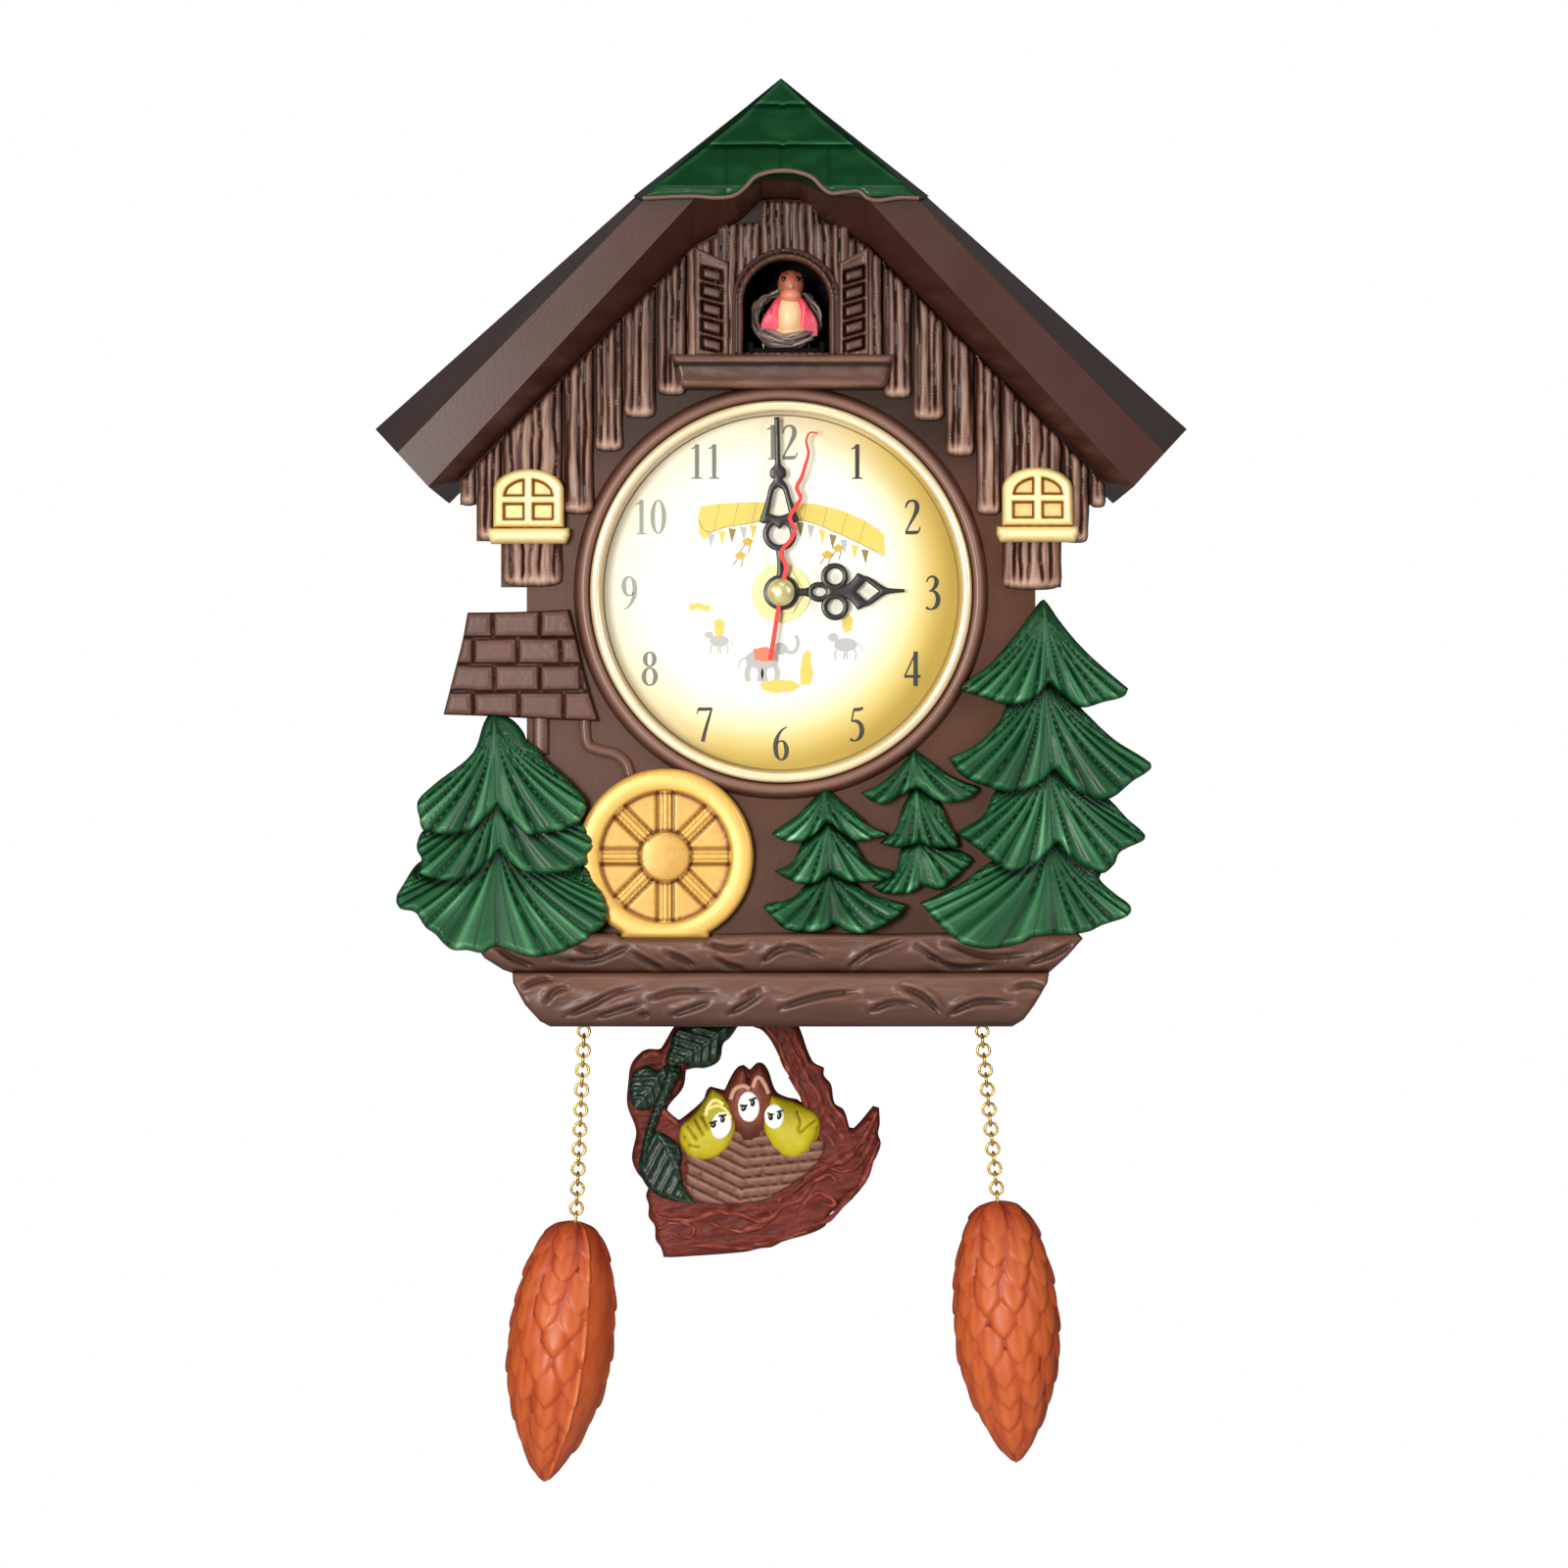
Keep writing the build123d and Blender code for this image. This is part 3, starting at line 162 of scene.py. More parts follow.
def seg_arrays(loops):
    a = np.vstack(loops)
    b = np.vstack([np.roll(l, -1, 0) for l in loops])
    return a, b


def dist_to(P, A, B):
    out = np.empty(len(P))
    ab = B - A
    ll = np.maximum((ab ** 2).sum(1), 1e-12)
    for i in range(0, len(P), 3000):
        q = P[i:i + 3000, None, :] - A[None]
        t = np.clip((q * ab[None]).sum(2) / ll[None], 0, 1)
        r = q - t[..., None] * ab[None]
        out[i:i + 3000] = np.sqrt((r ** 2).sum(2).min(1))
    return out


def inside(P, A, B):
    out = np.zeros(len(P), bool)
    for i in range(0, len(P), 4000):
        x, y = P[i:i + 4000, 0, None], P[i:i + 4000, 1, None]
        ay, by = A[None, :, 1], B[None, :, 1]
        cross = (ay > y) != (by > y)
        with np.errstate(divide="ignore", invalid="ignore"):
            xi = A[None, :, 0] + (y - ay) / (by - ay) * (B[None, :, 0] - A[None, :, 0])
        out[i:i + 4000] = ((cross & (x < xi)).sum(1) % 2) == 1
    return out


def arc(cx, cz, r, a0, a1, n, rz=None):
    """Points on an arc, degrees, 0 = +X, 90 = +Z."""
    rz = r if rz is None else rz
    return [(cx + r * math.cos(math.radians(a0 + (a1 - a0) * k / n)), cz + rz * math.sin(math.radians(a0 + (a1 - a0) * k / n)))
            for k in range(n + 1)]


def circle(cx, cz, r, n=48, rz=None):
    return arc(cx, cz, r, 0, 360, n, rz)[:-1]


# ------------------------------------------------------------------ mesh builder
class Build:
    """Collects closed shells in millimetres and makes one object of them."""

    def __init__(self):
        self.V, self.F, self.C, self.M, self.n = [], [], [], [], 0

    def add(self, V, F, cav=None, mi=0):
        V = np.asarray(V, float)
        if cav is None:
            cav = np.full(len(V), 0.5)
        elif np.isscalar(cav):
            cav = np.full(len(V), float(cav))
        self.V.append(V)
        self.C.append(np.asarray(cav, float))
        n = self.n
        self.F.extend([tuple(i + n for i in f) for f in F])
        self.M.extend([mi] * len(F))
        self.n += len(V)

    def turn(self, x, z, deg, x0, y0=None):
        pass

    def make(self, name, mats, body="case", slot=None, angle=38, replaces=()):
        V = np.vstack(self.V) * 0.001
        me = bpy.data.meshes.new(name)
        me.from_pydata(V.tolist(), [], self.F)
        for m in (mats if isinstance(mats, (list, tuple)) else [mats]):
            me.materials.append(m)
        me.polygons.foreach_set("material_index", np.array(self.M, np.int32))
        me.polygons.foreach_set("use_smooth", np.ones(len(me.polygons), bool))
        a = me.attributes.new("cav", "FLOAT", "POINT")
        a.data.foreach_set("value", np.concatenate(self.C).astype(np.float32))
        me.update()
        if angle:
            me.set_sharp_from_angle(angle=math.radians(angle))
        o = bpy.data.objects.new(name, me)
        scene.collection.objects.link(o)
        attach(o, body)
        if replaces:
            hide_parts(*replaces)
        return o


def relief(b, outer, fn, back, holes=(), cell=0.7, r=1.2, rings=(0.1, 0.32, 0.68), mi=0, smooth=True, sharp=62, extra=None):
    """Closed relief. fn(x, z, d) gives (y of the front, paint value); d is the distance to the rim.
    back is the y of the rear face, a number or a function of (x, z)."""
    loops = [np.asarray(outer, float)] + [np.asarray(h, float) for h in holes]
    if smooth:
        loops = [smooth_loop(l, sharp) for l in loops]
    loops = [resample(l, cell * 0.8) for l in loops]
    A, B = seg_arrays(loops)
    lo, hi = loops[0].min(0), loops[0].max(0)
    gx = np.arange(lo[0], hi[0] + cell, cell)
    gz = np.arange(lo[1], hi[1] + cell, cell * 0.866)
    X, Z = np.meshgrid(gx, gz)
    X = X + (np.arange(len(gz)) % 2)[:, None] * cell * 0.5
    G = np.column_stack([X.ravel(), Z.ravel()])
    G = G[inside(G, A, B)]
    dG = dist_to(G, A, B)
    ringpts = []
    rmax = max(rings) * r if rings else 0
    for l in loops:
        e = np.roll(l, -1, 0) - np.roll(l, 1, 0)
        e /= np.maximum(np.linalg.norm(e, axis=1), 1e-9)[:, None]
        nrm = np.column_stack([-e[:, 1], e[:, 0]])
        for f in rings:
            for s in (1, -1):
                q = l + nrm * s * f * r
                q = q[inside(q, A, B)]
                if len(q):
                    dq = dist_to(q, A, B)
                    ringpts.append(q[dq > f * r * 0.93])
    G = G[dG > max(0.5 * cell, rmax + 0.45 * cell if rings else 0)]
    nb = sum(len(l) for l in loops)
    pts = np.vstack(loops + ringpts + [G] + ([np.asarray(extra, float)] if extra is not None else []))
    # drop near duplicates of ring points
    key = np.round(pts / (cell * 0.33)).astype(np.int64)
    _, idx = np.unique(key[nb:], axis=0, return_index=True)
    pts = np.vstack([pts[:nb], pts[nb:][np.sort(idx)]])
    edges, k = [], 0
    for l in loops:
        edges += [(k + i, k + (i + 1) % len(l)) for i in range(len(l))]
        k += len(l)
    vo, eo, fo = delaunay_2d_cdt([Vector(p) for p in pts.tolist()], edges, [], 1, 1e-5)[:3]
    P = np.array([(v.x, v.y) for v in vo])
    T = np.array([f for f in fo], np.int64)
    c = P[T].mean(1)
    T = T[inside(c, A, B)]
    # anticlockwise in (x, z) seen from the front gives a normal towards -Y
    e1, e2 = P[T[:, 1]] - P[T[:, 0]], P[T[:, 2]] - P[T[:, 0]]
    cr = e1[:, 0] * e2[:, 1] - e1[:, 1] * e2[:, 0]
    T = T[np.abs(cr) > 1e-9]
    cr = cr[np.abs(cr) > 1e-9]
    T[cr < 0] = T[cr < 0][:, ::-1]
    used = np.unique(T)
    remap = -np.ones(len(P), np.int64)
    remap[used] = np.arange(len(used))
    P, T = P[used], remap[T]
    d = dist_to(P, A, B)
    d[d < 1e-4] = 0
    y, cav = fn(P[:, 0], P[:, 1], d)
    V = np.column_stack([P[:, 0], y + 0 * P[:, 0], P[:, 1]])
    E = np.vstack([T[:, [0, 1]], T[:, [1, 2]], T[:, [2, 0]]])
    ek = E[:, 0] * len(P) + E[:, 1]
    rk = E[:, 1] * len(P) + E[:, 0]
    bd = E[~np.isin(ek, rk)]
    bv = np.unique(bd)
    bm = -np.ones(len(P), np.int64)
    bm[bv] = np.arange(len(bv)) + len(P)
    yb = back(P[bv, 0], P[bv, 1]) if callable(back) else np.full(len(bv), float(back))
    VB = np.column_stack([P[bv, 0], yb, P[bv, 1]])
    faces = [tuple(t) for t in T.tolist()]
    faces += [(int(u), int(bm[u]), int(bm[v]), int(v)) for u, v in bd]
    pb = P[bv]
    bo = {int(v): i for i, v in enumerate(bv)}
    vb, _, fb = delaunay_2d_cdt([Vector(p) for p in pb.tolist()], [(bo[int(u)], bo[int(v)]) for u, v in bd], [], 1, 1e-5)[:3]
    ok = len(vb) == len(pb) and all((Vector(pb[i]) - vb[i]).length < 1e-4 for i in range(0, len(pb), 7))
    if ok:
        TB = np.array([f for f in fb], np.int64)
        cb = pb[TB].mean(1)
        e1, e2 = pb[TB[:, 1]] - pb[TB[:, 0]], pb[TB[:, 2]] - pb[TB[:, 0]]
        crb = e1[:, 0] * e2[:, 1] - e1[:, 1] * e2[:, 0]
        # keep what lies inside the true rim of the front mesh
        sa, sb = P[bd[:, 0]], P[bd[:, 1]]
        keep = inside(cb, sa, sb)
        TB, crb = TB[keep], crb[keep]
        TB[crb > 0] = TB[crb > 0][:, ::-1]
        faces += [tuple(int(bm[bv[i]]) for i in t) for t in TB]
    else:
        VB2 = np.column_stack([P[:, 0], (back(P[:, 0], P[:, 1]) if callable(back) else np.full(len(P), float(back))), P[:, 1]])
        faces = [tuple(t) for t in T.tolist()] + [tuple(i + len(P) for i in t[::-1]) for t in T.tolist()]
        faces += [(int(u), int(u) + len(P), int(v) + len(P), int(v)) for u, v in bd]
        b.add(np.vstack([V, VB2]), faces, np.concatenate([cav + 0 * d, cav + 0 * d]), mi)
        return
    b.add(np.vstack([V, VB]), faces, np.concatenate([cav + 0 * d, (cav + 0 * d)[bv]]), mi)


def plate(b, outer, y_front, y_back, holes=(), cav=0.5, mi=0, smooth=False, bev=0.0, cell=2.5, sharp=62):
    """Flat plate with an optional rounded front edge."""
    def fn(x, z, d):
        return (y_front + (bev * (1 - rnd(d, bev)) if bev else 0 * x)), cav + 0 * x
    relief(b, outer, fn, y_back, holes, cell=cell, r=bev if bev else 1.0, rings=(0.08, 0.3, 0.62, 1.0) if bev else (),
           mi=mi, smooth=smooth, sharp=sharp)


def revolve(b, profile, x0, z0, n=128, cav=0.5, mi=0):
    """Closed profile of (r, y) turned about the Y axis through (x0, z0)."""
    pr = np.asarray(profile, float)
    m = len(pr)
    V, F = [], []
    for i in range(n):
        a = 2 * math.pi * i / n
        for r, y in pr:
            V.append((x0 + r * math.cos(a), y, z0 + r * math.sin(a)))
    for i in range(n):
        j = (i + 1) % n
        for k in range(m):
            l = (k + 1) % m
            F.append((i * m + k, i * m + l, j * m + l, j * m + k))
    s = 0.0
    for k in range(m):
        l = (k + 1) % m
        s += pr[k][0] * pr[l][1] - pr[l][0] * pr[k][1]
    if s > 0:
        F = [f[::-1] for f in F]
    c = cav if np.isscalar(cav) else np.tile(np.asarray(cav, float), n)
    b.add(V, F, c, mi)


def sweep(b, path, radius, k=10, cav=0.5, mi=0, ry=1.0, closed=False, noise=0.0, seed=0, up=(0, 1, 0)):
    """Tube along a path; ry squashes it along up."""
    p = np.asarray(path, float)
    n = len(p)
    R = np.full(n, float(radius)) if np.isscalar(radius) else np.asarray(radius, float)
    if closed:
        t = np.roll(p, -1, 0) - np.roll(p, 1, 0)
    else:
        t = np.gradient(p, axis=0)
    t /= np.maximum(np.linalg.norm(t, axis=1), 1e-9)[:, None]
    u = np.asarray(up, float)
    side = np.cross(t, u)
    ln = np.linalg.norm(side, axis=1)
    side[ln < 1e-3] = (1, 0, 0)
    side /= np.maximum(np.linalg.norm(side, axis=1), 1e-9)[:, None]
    nrm = np.cross(side, t)
    V, C = [], []
    L = np.concatenate([[0], np.cumsum(np.linalg.norm(np.diff(p, axis=0), axis=1))])
    for i in range(n):
        for j in range(k):
            a = 2 * math.pi * j / k
            q = 1 + noise * float(fbm(L[i] * 0.5 + 3.0 * seed, j * 1.3, seed, 2)) if noise else 1.0
            V.append(p[i] + R[i] * q * (math.cos(a) * side[i] + ry * math.sin(a) * nrm[i]))
            C.append((cav if np.isscalar(cav) else cav[i]) + (q - 1) * 1.4)
    F = []
    for i in range(n if closed else n - 1):
        i2 = (i + 1) % n
        for j in range(k):
            j2 = (j + 1) % k
            F.append((i * k + j, i * k + j2, i2 * k + j2, i2 * k + j))
    if not closed:
        F.append(tuple(range(k))[::-1])
        F.append(tuple((n - 1) * k + j for j in range(k)))
    # orientation: first side quad must face away from the path
    f = F[0]
    a0, a1, a2 = V[f[0]], V[f[1]], V[f[2]]
    nn = np.cross(a1 - a0, a2 - a0)
    if np.dot(nn, (a0 + a2) / 2 - (p[0] + p[1]) / 2) < 0:
        F = [f[::-1] for f in F]
    b.add(V, F, np.array(C), mi)


def ribbon(b, pts, widths, y_front, y_back, cav=0.5, mi=0, n=6, smooth=True):
    """Flat stroke of varying width in the XZ plane."""
    p = np.asarray(pts, float)
    w = np.asarray(widths, float)
    if smooth and len(p) > 2:
        q = smooth_path(np.column_stack([p, w]), n)
        p, w = q[:, :2], q[:, 2]
    t = np.gradient(p, axis=0)
    t /= np.maximum(np.linalg.norm(t, axis=1), 1e-9)[:, None]
    nr = np.column_stack([-t[:, 1], t[:, 0]])
    L, R = p + nr * w[:, None] / 2, p - nr * w[:, None] / 2
    m = len(p)
    V = [(x, y_front, z) for x, z in L] + [(x, y_front, z) for x, z in R] + [(x, y_back, z) for x, z in L] + [(x, y_back, z) for x, z in R]
    F = []
    for i in range(m - 1):
        F += [(i, m + i, m + i + 1, i + 1), (2 * m + i, 2 * m + i + 1, 3 * m + i + 1, 3 * m + i),
              (i, i + 1, 2 * m + i + 1, 2 * m + i), (m + i, 3 * m + i, 3 * m + i + 1, m + i + 1)]
    F += [(0, 2 * m, 3 * m, m), (m - 1, 2 * m - 1, 4 * m - 1, 3 * m - 1)]
    b.add(V, F, cav, mi)


def ball(b, c, r, nu=20, nv=14, cav=0.5, mi=0, tilt=0.0):
    """Ellipsoid with radii r = (x, y, z), tilted about Y by degrees."""
    V, F = [], []
    a = math.radians(tilt)
    for i in range(nv + 1):
        th = math.pi * i / nv
        for j in range(nu):
            ph = 2 * math.pi * j / nu
            x, y, z = r[0] * math.sin(th) * math.cos(ph), r[1] * math.sin(th) * math.sin(ph), r[2] * math.cos(th)
            V.append((c[0] + x * math.cos(a) + z * math.sin(a), c[1] + y, c[2] - x * math.sin(a) + z * math.cos(a)))
    V = V[:1] + V[nu:-nu] + V[-1:]
    nr = nv - 1
    for j in range(nu):
        F.append((0, 1 + j, 1 + (j + 1) % nu))
        F.append((len(V) - 1, 1 + (nr - 1) * nu + (j + 1) % nu, 1 + (nr - 1) * nu + j))
    for i in range(nr - 1):
        for j in range(nu):
            F.append((1 + i * nu + j, 1 + (i + 1) * nu + j, 1 + (i + 1) * nu + (j + 1) % nu, 1 + i * nu + (j + 1) % nu))
    b.add(V, F, cav, mi)


# ------------------------------------------------------------------ materials
def lin(c):
    out = []
    for v in c:
        v = v / 255.0
        out.append(v / 12.92 if v <= 0.04045 else ((v + 0.055) / 1.055) ** 2.4)
    return (*out, 1.0)


def material(name, stops, rough=(0.38, 0.52), mott=0.16, mscale=45.0, grain=0.10, gscale=1400.0, bump=0.12, bscale=900.0,
             bdist=0.00012, metallic=0.0, spec=0.4, coat=0.0, stretch=(1, 1, 1), cavity=True, sheen=0.0, wear=None, extra=None):
    """Moulded and painted plastic: paint value ramp, broad mottling, fine grain, uneven gloss, orange-peel bump."""
    m = bpy.data.materials.new(name)
    m.use_nodes = True
    nt = m.node_tree
    N, Lk = nt.nodes, nt.links
    for n in list(N):
        N.remove(n)
    out = N.new("ShaderNodeOutputMaterial")
    bs = N.new("ShaderNodeBsdfPrincipled")
    Lk.new(bs.outputs[0], out.inputs[0])
    tc = N.new("ShaderNodeTexCoord")
    mp = N.new("ShaderNodeMapping")
    mp.inputs["Scale"].default_value = stretch
    Lk.new(tc.outputs["Object"], mp.inputs[0])
    big = N.new("ShaderNodeTexNoise")
    big.inputs["Scale"].default_value = mscale
    big.inputs["Detail"].default_value = 4
    fine = N.new("ShaderNodeTexNoise")
    fine.inputs["Scale"].default_value = gscale
    fine.inputs["Detail"].default_value = 2
    peel = N.new("ShaderNodeTexNoise")
    peel.inputs["Scale"].default_value = bscale
    peel.inputs["Detail"].default_value = 2
    for t in (big, fine, peel):
        Lk.new(mp.outputs[0], t.inputs["Vector"])
    # paint value = vertex value + mottling + grain; the vertex value carries painted shade in grooves, creases and at
    # rims and painted highlights on crests
    add = N.new("ShaderNodeMath")
    add.operation = "MULTIPLY_ADD"
    Lk.new(big.outputs["Fac"], add.inputs[0])
    add.inputs[1].default_value = mott
    if cavity:
        at = N.new("ShaderNodeAttribute")
        at.attribute_name = "cav"
        Lk.new(at.outputs["Fac"], add.inputs[2])
    else:
        add.inputs[2].default_value = 0.5
    add2 = N.new("ShaderNodeMath")
    add2.operation = "MULTIPLY_ADD"
    Lk.new(fine.outputs["Fac"], add2.inputs[0])
    add2.inputs[1].default_value = grain
    Lk.new(add.outputs[0], add2.inputs[2])
    sub = N.new("ShaderNodeMath")
    sub.operation = "SUBTRACT"
    Lk.new(add2.outputs[0], sub.inputs[0])
    sub.inputs[1].default_value = (mott + grain) / 2
    ramp = N.new("ShaderNodeValToRGB")
    el = ramp.color_ramp.elements
    while len(el) < len(stops):
        el.new(0.5)
    for e, (p, c) in zip(el, stops):
        e.position = p
    for e, (p, c) in zip(el, stops):
        e.position, e.color = p, lin(c)
    Lk.new(sub.outputs[0], ramp.inputs[0])
    col = ramp.outputs[0]
    if extra:
        col = extra(N, Lk, mp, col)
    Lk.new(col, bs.inputs["Base Color"])
    rr = N.new("ShaderNodeMapRange")
    rr.inputs["From Min"].default_value = 0.3
    rr.inputs["From Max"].default_value = 0.7
    rr.inputs["To Min"].default_value = rough[0]
    rr.inputs["To Max"].default_value = rough[1]
    Lk.new(big.outputs["Fac"], rr.inputs["Value"])
    Lk.new(rr.outputs[0], bs.inputs["Roughness"])
    bu = N.new("ShaderNodeBump")
    bu.inputs["Strength"].default_value = bump
    bu.inputs["Distance"].default_value = bdist
    Lk.new(peel.outputs["Fac"], bu.inputs["Height"])
    Lk.new(bu.outputs[0], bs.inputs["Normal"])
    bs.inputs["Metallic"].default_value = metallic
    bs.inputs["Specular IOR Level"].default_value = spec
    if coat:
        bs.inputs["Coat Weight"].default_value = coat
        bs.inputs["Coat Roughness"].default_value = 0.25
    return m


BROWN = (96, 70, 58)
M = {}
def stain(z0, z1, low):
    """Painted shade of the roof overhang, darker high under the roof: full colour below z0, multiplied by low above z1.
    """
    def f(N, Lk, mp, col):
        tc = N.new("ShaderNodeTexCoord")
        sp = N.new("ShaderNodeSeparateXYZ")
        Lk.new(tc.outputs["Object"], sp.inputs[0])
        mr = N.new("ShaderNodeMapRange")
        mr.interpolation_type = "SMOOTHSTEP"
        mr.inputs["From Min"].default_value = z0 * 0.001
        mr.inputs["From Max"].default_value = z1 * 0.001
        mr.inputs["To Min"].default_value = 1.0
        mr.inputs["To Max"].default_value = low
        Lk.new(sp.outputs["Z"], mr.inputs["Value"])
        vm = N.new("ShaderNodeVectorMath")
        vm.operation = "SCALE"
        Lk.new(col, vm.inputs[0])
        Lk.new(mr.outputs[0], vm.inputs["Scale"])
        return vm.outputs[0]
    return f


M["roof_brown"] = material("roof_brown", [(0.25, (60, 32, 24)), (0.5, (75, 42, 32)), (0.8, (94, 58, 45))], rough=(0.26, 0.32), spec=0.27, bump=0.10)
M["case_brown"] = material("case_brown", [(0.25, (62, 36, 27)), (0.5, (76, 46, 36)), (0.8, (92, 60, 48))], rough=(0.30, 0.4), spec=0.3, cavity=False)
# wall, siding and trim darken towards the roof: painted shade of the overhang
M["wall_brown"] = material("wall_brown", [(0.2, (62, 34, 21)), (0.5, (78, 46, 30)), (0.8, (98, 62, 44))], rough=(0.30, 0.38), spec=0.16, bump=0.14, extra=stain(-82, -62, 0.32))
M["siding"] = material("siding", [(0.05, (40, 20, 14)), (0.3, (76, 46, 35)), (0.52, (118, 84, 69)), (0.78, (160, 128, 110)), (1.0, (184, 156, 140))],
                       rough=(0.32, 0.45), mott=0.3, mscale=60, stretch=(1, 1, 0.22), bump=0.2, spec=0.28, extra=stain(-78, 2, 0.5))
M["trim_brown"] = material("trim_brown", [(0.05, (30, 14, 10)), (0.35, (66, 39, 31)), (0.55, (92, 61, 49)), (0.9, (136, 102, 88))], rough=(0.28, 0.36), bump=0.12, spec=0.28, extra=stain(-66, -20, 0.62))
M["log_brown"] = material("log_brown", [(0.05, (34, 16, 10)), (0.3, (62, 36, 26)), (0.55, (86, 56, 44)), (0.8, (114, 80, 65)), (1.0, (146, 112, 96))],
                          rough=(0.30, 0.42), mott=0.2, mscale=50, stretch=(0.25, 1, 1), bump=0.14, spec=0.3)
M["brick_brown"] = material("brick_brown", [(0.05, (46, 24, 18)), (0.4, (78, 49, 40)), (0.6, (94, 64, 54)), (0.95, (134, 100, 88))], rough=(0.38, 0.48), mott=0.14, bump=0.10, spec=0.25)
M["pine_green"] = material("pine_green", [(0.02, (3, 27, 13)), (0.28, (9, 50, 26)), (0.5, (22, 75, 41)), (0.75, (64, 122, 80)), (1.0, (156, 196, 158))],
                           rough=(0.34, 0.44), mott=0.16, bump=0.12, spec=0.26)
M["roof_green"] = material("roof_green", [(0.05, (3, 30, 13)), (0.5, (9, 56, 26)), (0.8, (30, 86, 47)), (1.0, (64, 120, 78))], rough=(0.28, 0.38), mott=0.2, bump=0.12, spec=0.2)
M["gold_paint"] = material("gold_paint", [(0.02, (92, 54, 12)), (0.25, (150, 104, 46)), (0.5, (204, 158, 74)), (0.75, (226, 182, 98)), (1.0, (244, 212, 148))],
                           rough=(0.3, 0.42), mott=0.14, bump=0.14, metallic=0.15)
M["gold_pale"] = material("gold_pale", [(0.02, (108, 68, 20)), (0.25, (186, 142, 72)), (0.5, (228, 194, 124)), (0.8, (244, 222, 162)), (1.0, (252, 238, 196))],
                          rough=(0.3, 0.42), mott=0.12, bump=0.12, metallic=0.1)
M["bezel_gold"] = material("bezel_gold", [(0.2, (150, 112, 70)), (0.5, (204, 172, 124)), (0.9, (238, 218, 178))], rough=(0.2, 0.3), mott=0.1, metallic=0.35, bump=0.05)
M["black_plastic"] = material("black_plastic", [(0.2, (16, 16, 17)), (0.6, (30, 30, 32)), (0.9, (46, 46, 48))], rough=(0.35, 0.5), cavity=False)
M["brass"] = material("brass", [(0.2, (150, 108, 36)), (0.5, (206, 162, 76)), (0.9, (240, 210, 130))], rough=(0.2, 0.34), metallic=0.9, cavity=False, bump=0.08)
M["brass_pale"] = material("brass_pale", [(0.2, (150, 136, 84)), (0.5, (206, 196, 140)), (0.9, (236, 230, 186))], rough=(0.28, 0.4), metallic=0.5, cavity=False, bump=0.08)
M["battery_jacket"] = material("battery_jacket", [(0.2, (22, 52, 110)), (0.5, (34, 74, 150)), (0.9, (70, 110, 180))], rough=(0.25, 0.35), cavity=False)
M["board_green"] = material("board_green", [(0.2, (14, 70, 40)), (0.5, (24, 92, 54)), (0.9, (60, 120, 80))], rough=(0.3, 0.5), cavity=False)
M["steel"] = material("steel", [(0.2, (150, 150, 152)), (0.5, (180, 180, 184)), (0.9, (210, 210, 214))], rough=(0.25, 0.38), metallic=0.95, cavity=False)
M["cover_brown"] = material("cover_brown", [(0.25, (62, 42, 34)), (0.5, (74, 52, 43)), (0.8, (90, 66, 56))], rough=(0.45, 0.62), cavity=False, bump=0.3, bscale=1500)
M["hand_black"] = material("hand_black", [(0.2, (10, 9, 8)), (0.6, (22, 20, 18)), (0.9, (40, 37, 34))], rough=(0.25, 0.35), bump=0.05)
M["hand_red"] = material("hand_red", [(0.2, (176, 24, 22)), (0.5, (214, 40, 34)), (0.9, (236, 80, 66))], rough=(0.25, 0.35), bump=0.05)
M["cone_paint"] = material("cone_paint", [(0.02, (96, 25, 16)), (0.2, (134, 45, 21)), (0.45, (168, 71, 30)), (0.7, (192, 96, 45)), (1.0, (222, 138, 86))],
                           rough=(0.36, 0.5), mott=0.2, bump=0.2, spec=0.3)
M["bob_bark"] = material("bob_bark", [(0.02, (34, 9, 6)), (0.3, (74, 24, 17)), (0.5, (102, 38, 28)), (0.75, (142, 72, 58)), (1.0, (188, 122, 106))], rough=(0.44, 0.54), mott=0.16, mscale=120, bump=0.05, spec=0.16)
M["bob_weave"] = material("bob_weave", [(0.02, (50, 24, 17)), (0.3, (82, 46, 36)), (0.55, (106, 67, 55)), (0.8, (138, 98, 84)), (1.0, (172, 132, 118))], rough=(0.42, 0.55), mott=0.16, mscale=120, bump=0.07, spec=0.2)
M["bob_leaf"] = material("bob_leaf", [(0.02, (4, 14, 8)), (0.3, (13, 31, 19)), (0.55, (25, 47, 33)), (0.8, (52, 78, 58)), (1.0, (104, 130, 108))], rough=(0.28, 0.38), mott=0.14, mscale=120, bump=0.05, spec=0.28)
M["bob_yellow"] = material("bob_yellow", [(0.02, (100, 82, 6)), (0.3, (146, 132, 12)), (0.55, (176, 162, 22)), (0.8, (200, 188, 66)), (1.0, (226, 214, 130))], rough=(0.4, 0.5), mott=0.14, mscale=120, spec=0.2, bump=0.07)
M["bob_red"] = material("bob_red", [(0.02, (52, 18, 10)), (0.3, (84, 34, 23)), (0.55, (108, 52, 38)), (0.8, (150, 90, 72)), (1.0, (196, 146, 126))], rough=(0.4, 0.5), mott=0.14, mscale=120, spec=0.2, bump=0.07)
M["paint_white"] = material("paint_white", [(0.1, (190, 190, 184)), (0.5, (238, 238, 234)), (0.9, (252, 252, 250))], rough=(0.3, 0.4), mott=0.1)
M["paint_black"] = material("paint_black", [(0.1, (8, 8, 8)), (0.5, (18, 18, 18)), (0.9, (34, 34, 34))], rough=(0.2, 0.3), mott=0.1)
M["nest_paint"] = material("nest_paint", [(0.02, (36, 22, 20)), (0.3, (78, 60, 56)), (0.55, (112, 94, 88)), (0.8, (146, 128, 120)), (1.0, (176, 160, 150))], rough=(0.45, 0.6), mott=0.2, mscale=200)
